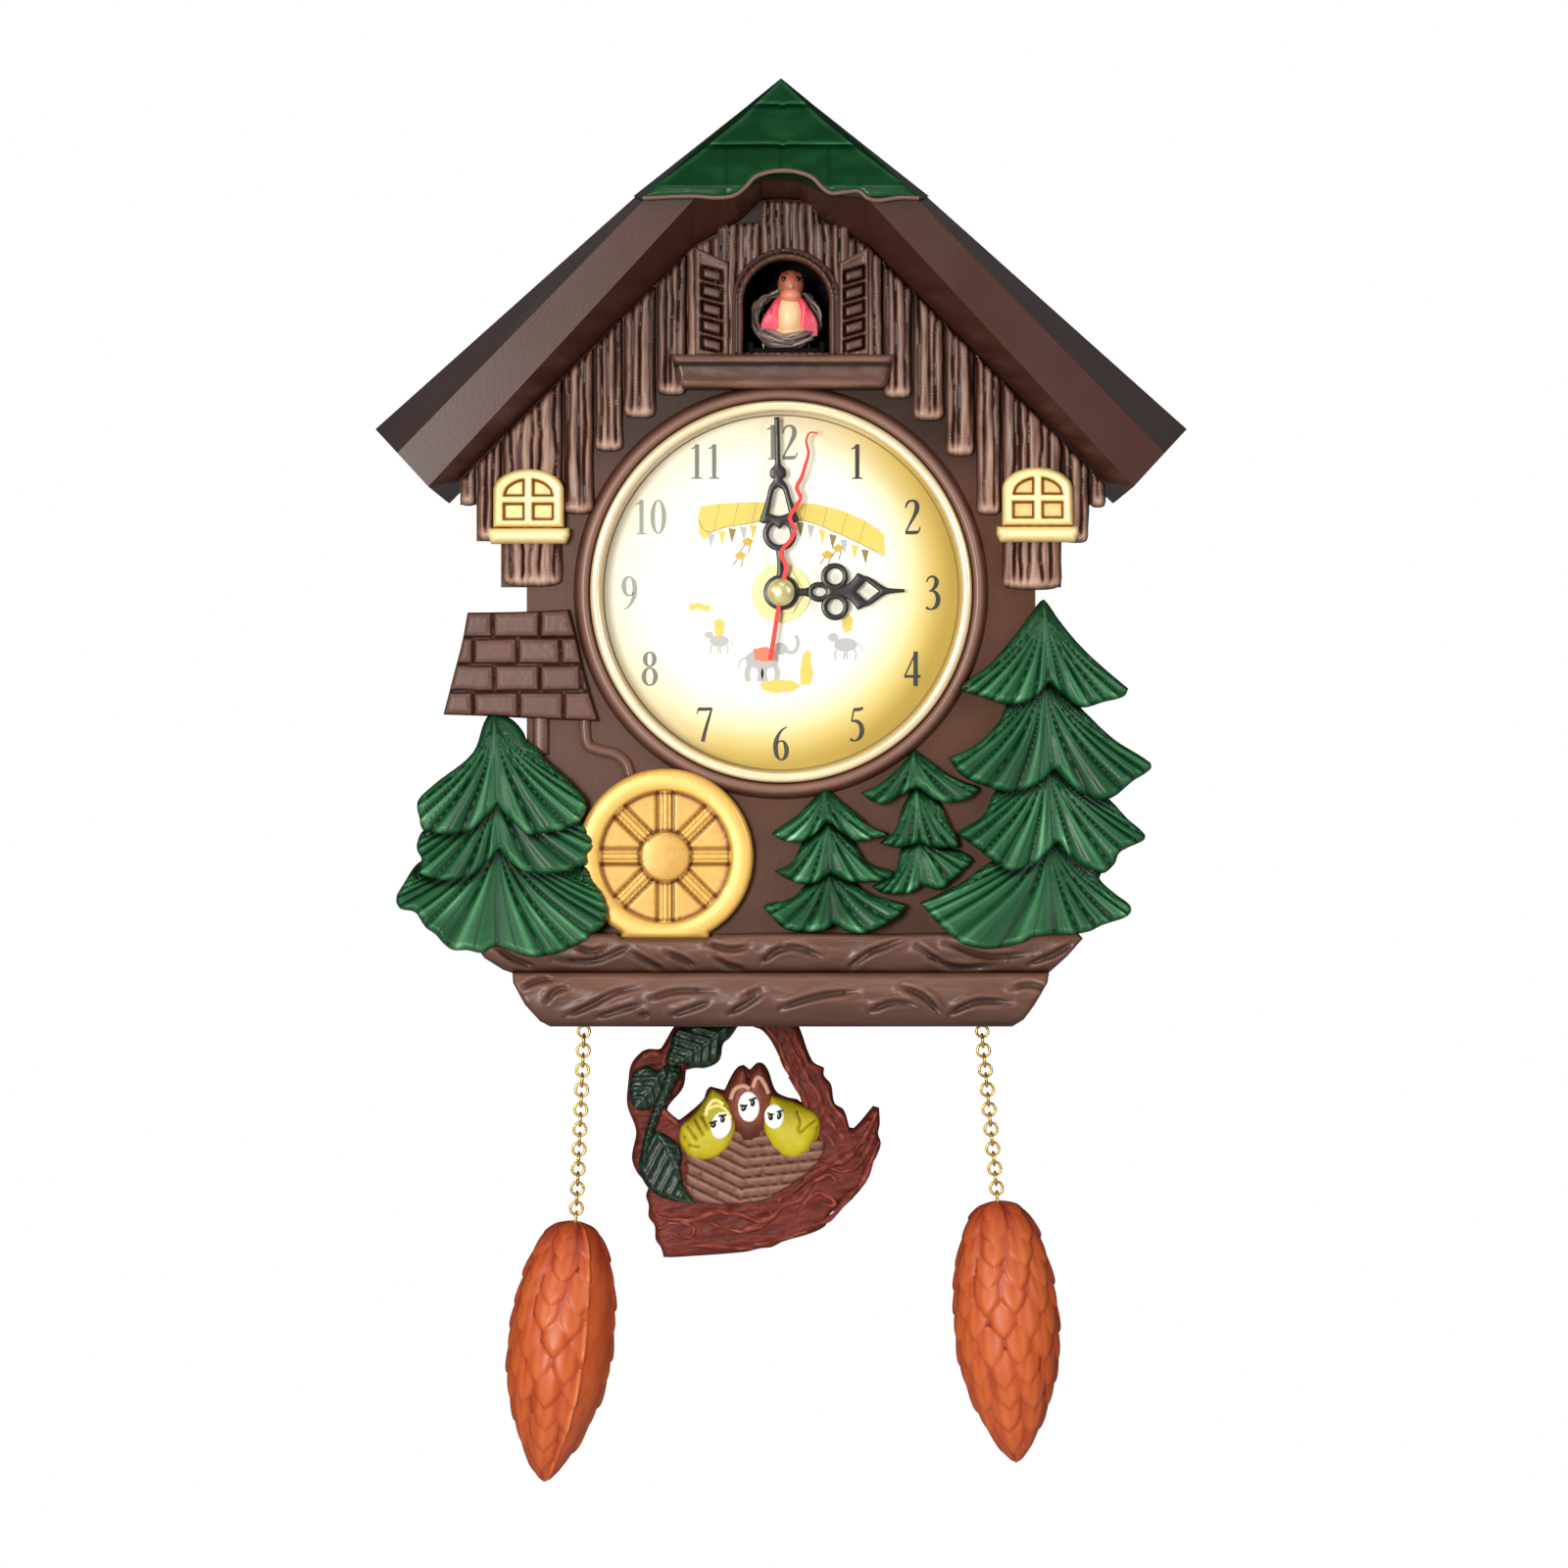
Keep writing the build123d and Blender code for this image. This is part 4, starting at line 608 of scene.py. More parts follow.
# near-black matte paint that stands for the shade inside the bird chamber
M["painted_shade_dark"] = material("painted_shade_dark", [(0.1, (8, 5, 4)), (0.5, (13, 8, 6)), (0.9, (22, 14, 11))], rough=(0.6, 0.75), spec=0.08, bump=0.05)
M["switch_white"] = material("switch_white", [(0.2, (208, 206, 200)), (0.5, (228, 226, 220)), (0.9, (240, 240, 236))], rough=(0.35, 0.5), cavity=False)
M["pink_paint"] = material("pink_paint", [(0.02, (140, 24, 44)), (0.4, (214, 54, 78)), (0.7, (238, 96, 114)), (1.0, (250, 160, 168))], rough=(0.3, 0.42), mott=0.15, mscale=150)
M["orange_head"] = material("orange_head", [(0.02, (84, 30, 18)), (0.4, (150, 74, 52)), (0.7, (204, 124, 94)), (1.0, (232, 170, 140))], rough=(0.3, 0.42), mott=0.2, mscale=150)
M["cream_belly"] = material("cream_belly", [(0.02, (160, 112, 72)), (0.4, (214, 168, 122)), (0.7, (238, 204, 160)), (1.0, (250, 230, 198))], rough=(0.3, 0.42), mott=0.15, mscale=150)


def keep(node, mat, bevel=0.0, seg=2):
    """A CAD node that stays, with its finish and softened moulded edges."""
    o = NODES[node]
    o.data.materials.clear()
    o.data.materials.append(M[mat])
    for p in o.data.polygons:
        p.use_smooth = True
    o.data.set_sharp_from_angle(angle=math.radians(32))
    if bevel:
        d = o.modifiers.new("planar", "DECIMATE")
        d.decimate_type = "DISSOLVE"
        d.angle_limit = math.radians(0.6)
        w = o.modifiers.new("edge", "BEVEL")
        w.width = bevel * 0.001
        w.segments = seg
        w.limit_method = "ANGLE"
        w.angle_limit = math.radians(28)
        w.harden_normals = False
        w.use_clamp_overlap = True
        t = o.modifiers.new("tri", "TRIANGULATE")
    return o


def cut_copy(node, name, y_keep, mat, body="case"):
    """A new piece made from the rear part of a CAD node, everything behind y_keep."""
    me = NODES[node].data.copy()
    bm = bmesh.new()
    bm.from_mesh(me)
    geom = bm.verts[:] + bm.edges[:] + bm.faces[:]
    res = bmesh.ops.bisect_plane(bm, geom=geom, plane_co=(0, y_keep * 0.001, 0), plane_no=(0, -1, 0), clear_outer=True, dist=1e-7)
    bmesh.ops.remove_doubles(bm, verts=bm.verts[:], dist=2e-7)
    rim = [e for e in bm.edges if len(e.link_faces) == 1]
    rv = sorted({v for e in rim for v in e.verts}, key=lambda v: v.index)
    bm.verts.index_update()
    rv = list({v.index: v for e in rim for v in e.verts}.values())
    at = {v: i for i, v in enumerate(rv)}
    co = np.array([(v.co.x * 1000, v.co.z * 1000) for v in rv])
    ed = [(at[e.verts[0]], at[e.verts[1]]) for e in rim]
    sa, sb = co[[e[0] for e in ed]], co[[e[1] for e in ed]]
    vo, _, fo, ovo = delaunay_2d_cdt([Vector(q) for q in co.tolist()], ed, [], 1, 1e-6)[:4]
    tri = np.array([f for f in fo], np.int64)
    cen = np.array([(v.x, v.y) for v in vo])[tri].mean(1)
    for t in tri[inside(cen, sa, sb)]:
        src = [ovo[i][0] for i in t if len(ovo[i])]
        if len(src) == 3 and len(set(src)) == 3:
            try:
                bm.faces.new([rv[i] for i in src])
            except ValueError:
                pass
    bmesh.ops.recalc_face_normals(bm, faces=bm.faces[:])
    bm.normal_update()
    me2 = bpy.data.meshes.new(name)
    bm.to_mesh(me2)
    bm.free()
    me2.materials.clear()
    me2.materials.append(M[mat])
    ca = me2.attributes.get("custom_normal")
    if ca is not None:
        me2.attributes.remove(ca)
    for p in me2.polygons:
        p.use_smooth = False
        p.material_index = 0
    a = me2.attributes.new("cav", "FLOAT", "POINT")
    a.data.foreach_set("value", np.full(len(me2.vertices), 0.5, np.float32))
    o = bpy.data.objects.new(name, me2)
    scene.collection.objects.link(o)
    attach(o, body)
    return o


# ------------------------------------------------------------------ outlines shared with the design (x, z)
PINE_LARGE = [[(77.7,-112.8),(81.9,-118.7),(87.4,-125.5),(94.2,-132.2),(102.2,-139),(100.8,-141.3),(95,-142.9),(88.3,-144.5),(83.6,-141.3),(79.1,-137.3),(76,-140.7),(72.2,-143),(65.4,-143.5),(59.1,-141.5),(52.9,-139.7),(53.6,-137.7),(61.2,-131.8),(68,-124.2),(73.1,-117.4),(76.4,-113.2)],
 [(79,-134.8),(89.1,-145.3),(98,-153.8),(108.7,-160.8),(108.6,-162.8),(103.5,-166.2),(97.6,-170.9),(92.5,-171.8),(85.7,-167.9),(80.7,-162.7),(77.3,-165.9),(73.9,-167.9),(68,-169.6),(61.2,-168.1),(53.2,-164.5),(49.2,-159.4),(57,-155.5),(63.8,-149.1),(66.7,-143.2),(73.9,-138.1)],
 [(81.1,-160.1),(96.7,-171.5),(101.8,-177),(107.1,-181.9),(106.7,-183.6),(101.8,-185.9),(99.3,-187.6),(98,-190.7),(94.2,-193.3),(86.6,-189.9),(81.5,-184.2),(78.1,-187.6),(73.9,-191.2),(67.1,-192.9),(62.1,-189.6),(57,-185.5),(51.7,-181.9),(52.6,-180.8),(59.5,-176.2),(63.1,-169.1),(73.9,-163.5)],
 [(81.5,-182.1),(94.2,-192.7),(93.8,-195),(98.4,-199.4),(102.8,-203.1),(101.8,-205.8),(94.2,-208.5),(90.8,-210.2),(84.9,-211.3),(73.9,-211.9),(70.5,-213.7),(61.2,-215.5),(53.6,-214.2),(49,-210.9),(44.7,-206.6),(40.9,-202),(43.5,-200.9),(53.6,-195.8),(62.1,-189.7),(73.9,-185.5)]]
PINE_A = [[(13.4,-168.4),(17.3,-171.5),(23.2,-176.6),(26.6,-179.6),(31,-181.1),(30.8,-182.3),(24.9,-183.6),(21.5,-184),(17.7,-181.3),(13.9,-178.6),(10.5,-181.3),(6.3,-184.1),(0.3,-183.6),(-2.9,-181.8),(-1.4,-180.4),(4.6,-176.2),(10.5,-170.3)],
 [(14.3,-177),(21.5,-183.8),(24.9,-189.7),(33,-192.7),(32.5,-195),(25.7,-196),(19.8,-195.8),(14.7,-193.8),(10.5,-196),(6.3,-196.5),(1.2,-194.8),(-2,-192.7),(2.9,-190.2),(6.3,-184.2),(10.5,-180.4)],
 [(14.9,-192.3),(21.5,-195.8),(26.6,-199.5),(36.9,-202.4),(35.4,-205),(31.6,-207.9),(24.9,-210.9),(18.9,-210.2),(16,-208.5),(13,-210),(9.6,-210.5),(4.6,-210.5),(0.3,-209.2),(-5.4,-203.3),(-4.3,-202.3),(2.9,-200.7),(7.1,-196.7),(11.3,-194)]]
PINE_B = [[(39.3,-156.6),(43.5,-159.7),(48.6,-163.7),(53.6,-166.2),(58,-167.6),(57.9,-169.3),(53.6,-172.1),(48.6,-172.6),(44.3,-171.1),(40.1,-168.3),(35.4,-170.4),(29.9,-173.2),(26.6,-172.1),(23.3,-169.6),(29.1,-166.9),(35,-161.8)],
 [(40.1,-166),(46.9,-172.4),(50.2,-179.6),(52.4,-183.8),(51.9,-185.9),(44.3,-185.7),(40.9,-184.4),(37.6,-185.3),(33.3,-185.8),(28.9,-184.5),(33.3,-180.6),(35.7,-173.8),(38.4,-168.6)],
 [(41.1,-182.5),(48.6,-185.5),(53.6,-186.8),(57,-189.3),(51.9,-194.4),(46.9,-198.2),(41.8,-197.3),(40.1,-198.2),(36.7,-199.5),(29.9,-199.2),(26.6,-197.3),(33.3,-192.7),(35.4,-185.9),(39.3,-183.4)]]
PINE_LEFT = [[(-83.3,-146.6),(-79.3,-148),(-76.1,-151.5),(-74.7,-154.4),(-71.8,-156.1),(-69.5,-159.3),(-62,-166.2),(-57.4,-171.9),(-57.4,-175.1),(-59.1,-178),(-62.6,-180.3),(-68.3,-181.5),(-74.1,-182),(-79.3,-178),(-83.3,-173.4),(-87.1,-177.4),(-91.4,-180.9),(-96.6,-182),(-101.8,-181.5),(-105.2,-180.6),(-106.4,-176.8),(-106.9,-172.2),(-102.3,-167.3),(-90.8,-157.8),(-86.8,-147.4)],
 [(-83.3,-167),(-59.1,-178),(-56.5,-181.2),(-55.1,-184.9),(-56.8,-188.1),(-57.1,-190.7),(-61.1,-192.4),(-66.9,-193.6),(-72.6,-193.8),(-77.5,-191.8),(-82.7,-186.6),(-87.1,-191.3),(-92,-195),(-97.7,-195.9),(-102.9,-195.3),(-107.5,-193),(-105.8,-189.5),(-107.2,-186.1),(-106.7,-182.9),(-105.2,-180.6)],
 [(-83.3,-181.5),(-57.1,-190.7),(-55.3,-195.3),(-52.2,-199.6),(-50.7,-205.7),(-52.7,-209.4),(-55.3,-211.1),(-57.4,-213.2),(-67.2,-217.2),(-74.7,-217.5),(-83.6,-214.9),(-87.6,-216.6),(-92.2,-215.8),(-96,-215.8),(-98.6,-214.3),(-101.5,-211.1),(-104.4,-209.1),(-107.5,-204.8),(-111.8,-203.7),(-113,-201.9),(-113,-199.9),(-111.8,-197.6),(-105.8,-189.5)]]
BOB_OUTER = [(-35.2,-308.9),(-36.1,-305.9),(-37.6,-303.6),(-37.9,-299.5),(-39.7,-296.8),(-39.7,-293.3),(-40.5,-290.4),(-39.9,-287.4),(-42.9,-283.9),(-44.6,-280.1),(-44.6,-277.4),(-43.5,-271),(-46.1,-263.3),(-45.8,-256.3),(-44.9,-251),(-42,-247.5),(-39.9,-246.6),(-36.7,-246.6),(-35.8,-246),(-32,-239.6),(-26.7,-233.4),(-19.7,-227.5),(-11.5,-225.2),(-3.8,-228.1),(1.8,-234),(5.3,-239.6),(9.4,-250.1),(12.9,-252.2),(12.9,-254.5),(15,-257.2),(16.1,-262.8),(18.8,-264.8),(20.5,-270.1),(22,-270.1),(27.6,-263.6),(29.4,-264.2),(29.6,-268.9),(29.1,-271.9),(29.9,-274.8),(28.5,-278.9),(26.1,-283),(25.2,-286.3),(22.6,-289.2),(18.5,-292.1),(17,-294.2),(14.7,-295.9),(14.1,-298),(12.9,-299.8),(8.8,-301.8),(0.6,-304.2),(-2.9,-305.9),(-5.9,-306.2),(-11.5,-307.4),(-32,-308.9)]
BOB_INNER = [(-29.4,-258.1),(-33.2,-262.8),(-34.1,-264.5),(-33.8,-265.4),(-30.8,-267.8),(-30,-267.5),(-23.5,-261.9),(-22.3,-258.9),(-21.2,-257.8),(-17,-258.9),(-14.7,-254.2),(-12.9,-251.9),(-11.2,-251.3),(-9.4,-252.8),(-7.1,-250.7),(-5.3,-251),(-3.8,-253.1),(-1.5,-259.2),(1.8,-261),(4.7,-261.6),(5.9,-262.5),(6.2,-261.9),(5.3,-259.8),(1.5,-253.1),(-2.7,-244.6),(-5.6,-241),(-8.8,-239.6),(-11.5,-237.5),(-12.9,-239.6),(-15.3,-243.1),(-17.3,-244.9),(-18.2,-249.3),(-19.7,-251),(-22.9,-252.2),(-25.8,-252.2),(-28.5,-252.8)]
BRICK = [(-92.4,-116.5),(-77.6,-116.3),(-62.4,-115.6),(-60.3,-123.8),(-57.7,-135.3),(-53.6,-148.6),(-68.4,-148),(-85.7,-147.1),(-99.5,-146.6),(-96.6,-135.3),(-94,-125.2)]
DIAL_Z = -110.4

# ------------------------------------------------------------------ roof
keep("roof_shell", "roof_brown", 0)
keep("case_body", "case_brown")
keep("back_cover", "cover_brown")
keep("battery_door", "cover_brown")
keep("cover_screws", "steel")
keep("roof_cap", "roof_green")


def hip(z):
    return -72.5 + np.maximum(0, z - 7.0) * 1.2349


b = Build()
cap_low = [(-40.2, 3.6), (-24.4, 4.1), (-19.0, 3.7), (-13.3, 4.5), (-10.2, 6.9), (-7.5, 9.7), (-4.0, 11.0), (5.3, 11.0), (9.4, 9.3),
           (11.8, 6.8), (14.0, 5.2), (19.0, 5.4), (22.8, 5.5), (25.1, 3.6), (35.6, 3.8), (40.2, 3.6)]
cap_out = cap_low + [(36.6, 7.0), (24.4, 17.6), (12.2, 29.0), (0.0, 42.6), (-12.2, 29.0), (-24.4, 17.6), (-36.6, 7.0)]
LEDGES = (20.3, 33.8)


def cap_fn(x, z, d):
    wob = 0.35 * fbm(x / 9.0, 0, 3) + 0.5 * bell(x, 0.5, 1.2)
    zz = z + wob
    t = np.where(zz < LEDGES[0], 0.7 + 1.1 * (1 - np.clip((zz - 3) / 17.3, 0, 1)),
                 np.where(zz < LEDGES[1], 0.7 + 1.5 * (1 - np.clip((zz - LEDGES[0]) / 13.5, 0, 1)),
                          0.7 + 1.4 * (1 - np.clip((zz - LEDGES[1]) / 10.0, 0, 1))))
    ledge = sum(bell(zz, L + 0.5, 0.55) for L in LEDGES)
    under = sum(bell(zz, L - 0.6, 0.6) for L in LEDGES)
    seams = sum(bell(x, c, 0.35) * (z < 20) for c in (-16.0, 0.0, 14.2))
    t = t - 0.25 * seams + 0.12 * fbm(x / 5, z / 2.5, 9)
    # lighter lip on each ledge and lighter band inside the sloping rims are painted highlights; the dark band under
    # each ledge and the darker seams are painted shade
    cav = 0.5 + 0.42 * ledge - 0.42 * under - 0.2 * seams + 0.25 * bell(d, 0.5, 0.7) * (z > 8) + 0.16 * fbm(x / 7, z / 4, 4)
    return hip(z) - t * (0.35 + 0.65 * rnd(d, 1.2)), cav


relief(b, cap_out, cap_fn, lambda x, z: hip(z) + 0.8, cell=0.75, r=1.2, smooth=False, extra=[(x, L + o) for L in LEDGES
       for o in (-0.45, -0.15, 0.15, 0.45) for x in np.arange(-21 if L < 25 else -8, 21 if L < 25 else 8, 0.7)])
b.make("roof_cap_courses", M["roof_green"], slot="roof_green", angle=50)
b = Build()
rim_path = smooth_path([(x, -73.3, z - 0.15) for x, z in cap_low], 6)
sweep(b, rim_path, 0.62, k=10, cav=0.85, ry=1.0)
b.make("roof_cap_rim", M["trim_brown"], slot="roof_brown")

# ------------------------------------------------------------------ front panel: wall, siding, window trim
wall = cut_copy("front_panel", "front_panel_wall", -45.98, "wall_brown")
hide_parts("front_panel")

WIN = [(-11.2, -39.9), (-11.2, -25.3)] + arc(1.5, -25.3, 12.7, 180, 0, 28)[1:-1] + [(14.2, -25.3), (14.2, -39.9)]


def roofline(x):
    x = np.abs(np.asarray(x, float))
    return np.interp(x, [0, 5.7, 12.5, 26.0, 100.0], [4.9, 4.9, -1.5, -8.8, -83.0])


def board(b, xa, xb, zb, seed, ngr=3, top=None, thick=3.3):
    zt = lambda x: float(roofline(x)) if top is None else top
    w = xb - xa
    # slightly wandering sides and a rounded lower lip
    zs = np.linspace(0, 1, 7)
    L = [(xa + 0.35 * float(fbm(seed, 3.0 * t, 7)) + 0.25, zb + 1.5 + (zt(xa) - zb - 1.5) * t) for t in zs]
    R = [(xb + 0.35 * float(fbm(seed + 9, 3.0 * t, 8)) - 0.25, zb + 1.5 + (zt(xb) - zb - 1.5) * t) for t in zs[::-1]]
    low = [(xb - 0.28 * w * 0.5, zb + 0.15), (xa + w * 0.55, zb - 0.25), (xa + 0.28 * w * 0.5, zb + 0.15)]
    mid = [(xa + w * t, zt(xa + w * t)) for t in (0.25, 0.5, 0.75)]
    out = L + mid + R + low
    us = (np.arange(ngr) + 1) / (ngr + 1)
    rs = np.random.RandomState(seed)
    us = us + rs.uniform(-0.07, 0.07, ngr)
    ztop, zlow = max(zt(xa), zt(xb)), zb

    def fn(x, z, d):
        u = (x - xa) / w
        h = 0.55 * (1 - (2 * u - 1) ** 2)
        g = 0
        for k, u0 in enumerate(us):
            wander = 0.055 * fbm(z / 11.0 + 5.3 * k, seed, 21 + k, 3)
            depth = 0.55 + 0.45 * vnoise(z / 9.0, k + seed, 31)
            gk = bell((u - u0 - wander) * w, 0, 0.42) * depth
            gk = gk * sstep(zlow + 0.6, zlow + 3.5 + 2 * rs_off[k], z)
            g = g + gk
        fine = fbm(x * 1.5, z * 0.11, seed, 3)
        lip = bell(z, zlow + 1.9, 1.7)
        hh = h - 1.05 * g + 0.28 * fine + 0.5 * lip
        # darker grooves and board edges are painted shade; the lighter crown and lower lip are painted highlights
        cav = 0.52 + 0.34 * (h - 0.25) - 0.95 * g + 0.26 * fine + 0.2 * lip - 0.55 * (1 - rnd(d, 1.3))
        return -46.0 - (thick + hh) * rnd(d, 1.5) * 0.98, cav

    rs_off = rs.uniform(0, 1, ngr)
    relief(b, out, fn, -45.4, cell=0.62, r=1.5, rings=(0.1, 0.34, 0.7), sharp=70)


b = Build()
RB = [(29.7, 38.7, -53.3, 3), (38.7, 48.2, -59.9, 3), (48.2, 57.3, -70.3, 3), (57.3, 65.0, -87.6, 2), (65.0, 82.9, -109.6, 5),
      (82.9, 90.9, -95.7, 2), (90.9, 95.9, -85.3, 1)]
LB = [(-94.6, -89.8, -84.8, 1), (-89.8, -82.2, -95.2, 2), (-82.2, -64.4, -108.7, 5), (-64.4, -55.1, -87.4, 3), (-55.1, -46.5, -68.9, 3),
      (-46.5, -36.7, -59.1, 3), (-36.7, -27.6, -52.4, 3)]
for i, (xa, xb, zb, n) in enumerate(RB):
    board(b, xa, xb, zb, 11 + i, n)
for i, (xa, xb, zb, n) in enumerate(LB):
    board(b, xa, xb, zb, 31 + i, n)
# gable boards round the bird window, in one relief
gb = [-27.6, -20.6, -13.0, -6.2, 0.4, 7.4, 14.8, 22.0, 29.7]
gtop = [(29.7, float(roofline(29.7))), (26.0, -8.8), (20.6, -6.2), (20.2, -2.6), (11.4, -1.6), (10.6, 4.4), (0.0, 4.9), (-5.2, 4.7), (-6.0, -1.4), (-18.6, -2.4), (-19.2, -5.8), (-26.0, -8.8),
        (-27.6, float(roofline(27.6)))]
g_out = [(-27.6, -50.2), (29.7, -50.2)] + gtop


def gable_fn(x, z, d):
    h = np.zeros_like(x)
    cav = np.full_like(x, 0.5)
    for k in range(len(gb) - 1):
        xa, xb = gb[k], gb[k + 1]
        w = xb - xa
        wob = 0.5 * fbm(z / 10.0, 3.0 * k, 51)
        u = (x + wob - xa) / w
        m = (u >= 0) & (u < 1)
        e = rnd(np.minimum(u, 1 - u) * w, 0.9)
        g = 0
        for j, u0 in enumerate((0.36, 0.68)):
            g = g + bell((u - u0 - 0.07 * fbm(z / 8.0 + 3 * j, k, 61 + j)) * w, 0, 0.4) * (0.4 + 0.6 * vnoise(z / 7.0, k + 5 * j, 71))
        fine = fbm(x * 1.5, z * 0.12, 81 + k, 3)
        hk = 2.2 * e + 0.5 * (1 - (2 * u - 1) ** 2) - 0.8 * g + 0.25 * fine + 0.5 * _hash(k, 3, 5)
        h = np.where(m, hk, h)
        # darker grooves and board edges are painted shade
        cav = np.where(m, 0.62 - 0.6 * (1 - e) - 0.85 * g + 0.28 * fine + 0.1 * (_hash(k, 7, 9) - 0.5), cav)
    return -46.0 - 0.9 - h * rnd(d, 0.8), cav


relief(b, g_out, gable_fn, -45.4, holes=[WIN], cell=0.6, r=0.8, smooth=False)
b.make("front_panel_siding", M["siding"], slot="panel_brown", angle=60)

# bird window frame: double rounded rim swept round the arch
b = Build()
fr = lambda g, low: [(-11.2 - g, low), (-11.2 - g, -25.3)] + arc(1.5, -25.3, 12.7 + g, 180, 0, 32)[1:-1] + [(14.2 + g, -25.3), (14.2 + g, low)]
frame_out = fr(3.4, -41.0)


def frame_fn(x, z, d):
    h = np.where(z > -25.3, np.hypot(x - 1.5, z + 25.3) - 12.7, np.abs(x - 1.5) - 12.7)
    t = np.clip(h / 3.4, 0, 1)
    prof = 1.9 * bell(t, 0.27, 0.26) + 1.5 * bell(t, 0.80, 0.2)
    # lighter bead crests are painted highlights, the darker hollow between them painted shade
    cav = 0.35 + 0.42 * bell(t, 0.27, 0.2) + 0.36 * bell(t, 0.8, 0.16) - 0.45 * bell(t, 0.56, 0.12)
    return -49.0 - 2.6 * (0.25 + 0.75 * rnd(d, 0.7)) * (0.35 + 0.65 * prof / 1.9), cav


# the rim is an open arch, so its outline runs round the outside and back along the opening
arch_loop = fr(3.4, -41.0) + fr(0.0, -41.0)[::-1]
relief(b, arch_loop, frame_fn, -43.6, cell=0.5, r=0.7, rings=(0.12, 0.5), smooth=False)
b.make("bird_window_frame", M["trim_brown"], slot="panel_brown", angle=50)

# shutters with five slanted slots
b = Build()
for s, xi, xo in ((-1, -15.4, -25.4), (1, 17.0, 26.0)):
    outl = [(xi, -41.0), (xi, -13.6), (xo, -8.8), (xo, -41.0)]
    if s > 0:
        outl = outl[::-1]
    xc, hw = (xi + xo) / 2, abs(xo - xi) / 2
    slant = 4.8 / (xo - xi)
    slots = []
    for i in range(5):
        zc = -17.2 - 5.15 * i
        slots.append([(xc - 2.9, zc - 1.75 - 2.9 * slant * 0.55), (xc - 2.9, zc + 1.75 - 2.9 * slant * 0.55),
                      (xc + 2.9, zc + 1.75 + 2.9 * slant * 0.55), (xc + 2.9, zc - 1.75 + 2.9 * slant * 0.55)])
    SA, SB = seg_arrays([resample(sl, 1.5) for sl in slots])

    def shut_fn(x, z, d, xc=xc, hw=hw, SA=SA, SB=SB):
        P = np.column_stack([x, z])
        ds = dist_to(P, SA, SB)
        ins = inside(P, SA, SB)
        groove = bell(ds, 0.0, 0.42)
        h = np.where(ins, 1.35 + 0.5 * rnd(ds, 0.9), 2.2)
        h = h - 1.0 * groove + 0.35 * bell(d, 0.9, 0.5)
        # darker slot grooves and rim are painted shade; the lighter band near the edge a painted highlight
        cav = 0.55 + np.where(ins, 0.0, 0.08) - 0.7 * groove + 0.3 * bell(d, 0.7, 0.5) - 0.25 * (1 - rnd(d, 0.6)) + 0.12 * fbm(x, z, 3)
        return -49.2 - h * (0.15 + 0.85 * rnd(d, 0.9)), cav

    relief(b, outl, shut_fn, -45.6, cell=0.42, r=0.9, smooth=False)
b.make("bird_window_shutters", M["trim_brown"], slot="panel_brown", angle=50)

# sill below the window
b = Build()
sill = [(-32.2, -40.6), (-31.6, -44.6), (-30.4, -48.9), (-28.8, -50.9), (29.6, -50.9), (31.4, -48.9), (32.6, -44.6), (33.2, -40.6)]


def sill_fn(x, z, d):
    up = sstep(-43.8, -43.0, z)
    y = -53.6 - 1.9 * up - 0.5 * bell(z, -49.4, 1.6) + 0.10 * fbm(x / 6, z / 2, 5)
    # lighter top lip and lower front band are painted highlights; the dark crease under the lip and the darker rim are
    # painted shade
    cav = 0.5 + 0.28 * up * bell(z, -41.8, 1.0) - 0.5 * bell(z, -44.0, 0.5) + 0.22 * bell(z, -49.6, 1.0) + 0.12 * fbm(x / 9, z, 6) - 0.3 * (1 - rnd(d, 1.0))
    return np.where(d < 1e-9, -49.0, y + (1 - rnd(d, 1.8)) * 4.6), cav


relief(b, sill, sill_fn, -45.6, cell=0.6, r=1.8, rings=(0.06, 0.2, 0.45, 0.8), smooth=False)
b.make("bird_window_sill", M["trim_brown"], slot="panel_brown", angle=55)

# near-black back plate and lining of the bird chamber behind the opening: painted shade of the chamber interior
b = Build()
room = [(-13.5, -43.0), (16.5, -43.0), (16.5, -25.3)] + arc(1.5, -25.3, 15.0, 0, 180, 20)[1:-1] + [(-13.5, -25.3)]
plate(b, room, -18.5, -17.9, holes=[circle(1.5, -31.0, 2.7, 32)], cav=0.5)
lin_o = [(-14.6, -44.2), (17.6, -44.2), (17.6, -25.3)] + arc(1.5, -25.3, 16.1, 0, 180, 20)[1:-1] + [(-14.6, -25.3)]
lin_i = [(-13.6, -43.2), (16.6, -43.2), (16.6, -25.3)] + arc(1.5, -25.3, 15.1, 0, 180, 20)[1:-1] + [(-13.6, -25.3)]
plate(b, lin_o, -42.6, -18.5, holes=[lin_i], cav=0.3)
b.make("bird_chamber_back", M["painted_shade_dark"], slot="panel_brown", angle=40)

# collar round the dial
b = Build()
prof = [(56.5, -37.2), (56.5, -48.6), (56.9, -49.6), (57.6, -50.2), (58.6, -50.2), (59.6, -49.5), (60.3, -48.2), (60.9, -46.8), (61.2, -45.9), (58.6, -45.9), (58.6, -37.2)]
# lighter on the bead's crest and darker at its foot: painted highlight and painted shade
revolve(b, prof, 0, DIAL_Z, n=160, cav=[0.3, 0.45, 0.6, 0.78, 0.78, 0.6, 0.45, 0.35, 0.3, 0.3, 0.3])
b.make("dial_collar", M["trim_brown"], slot="panel_brown", angle=50)

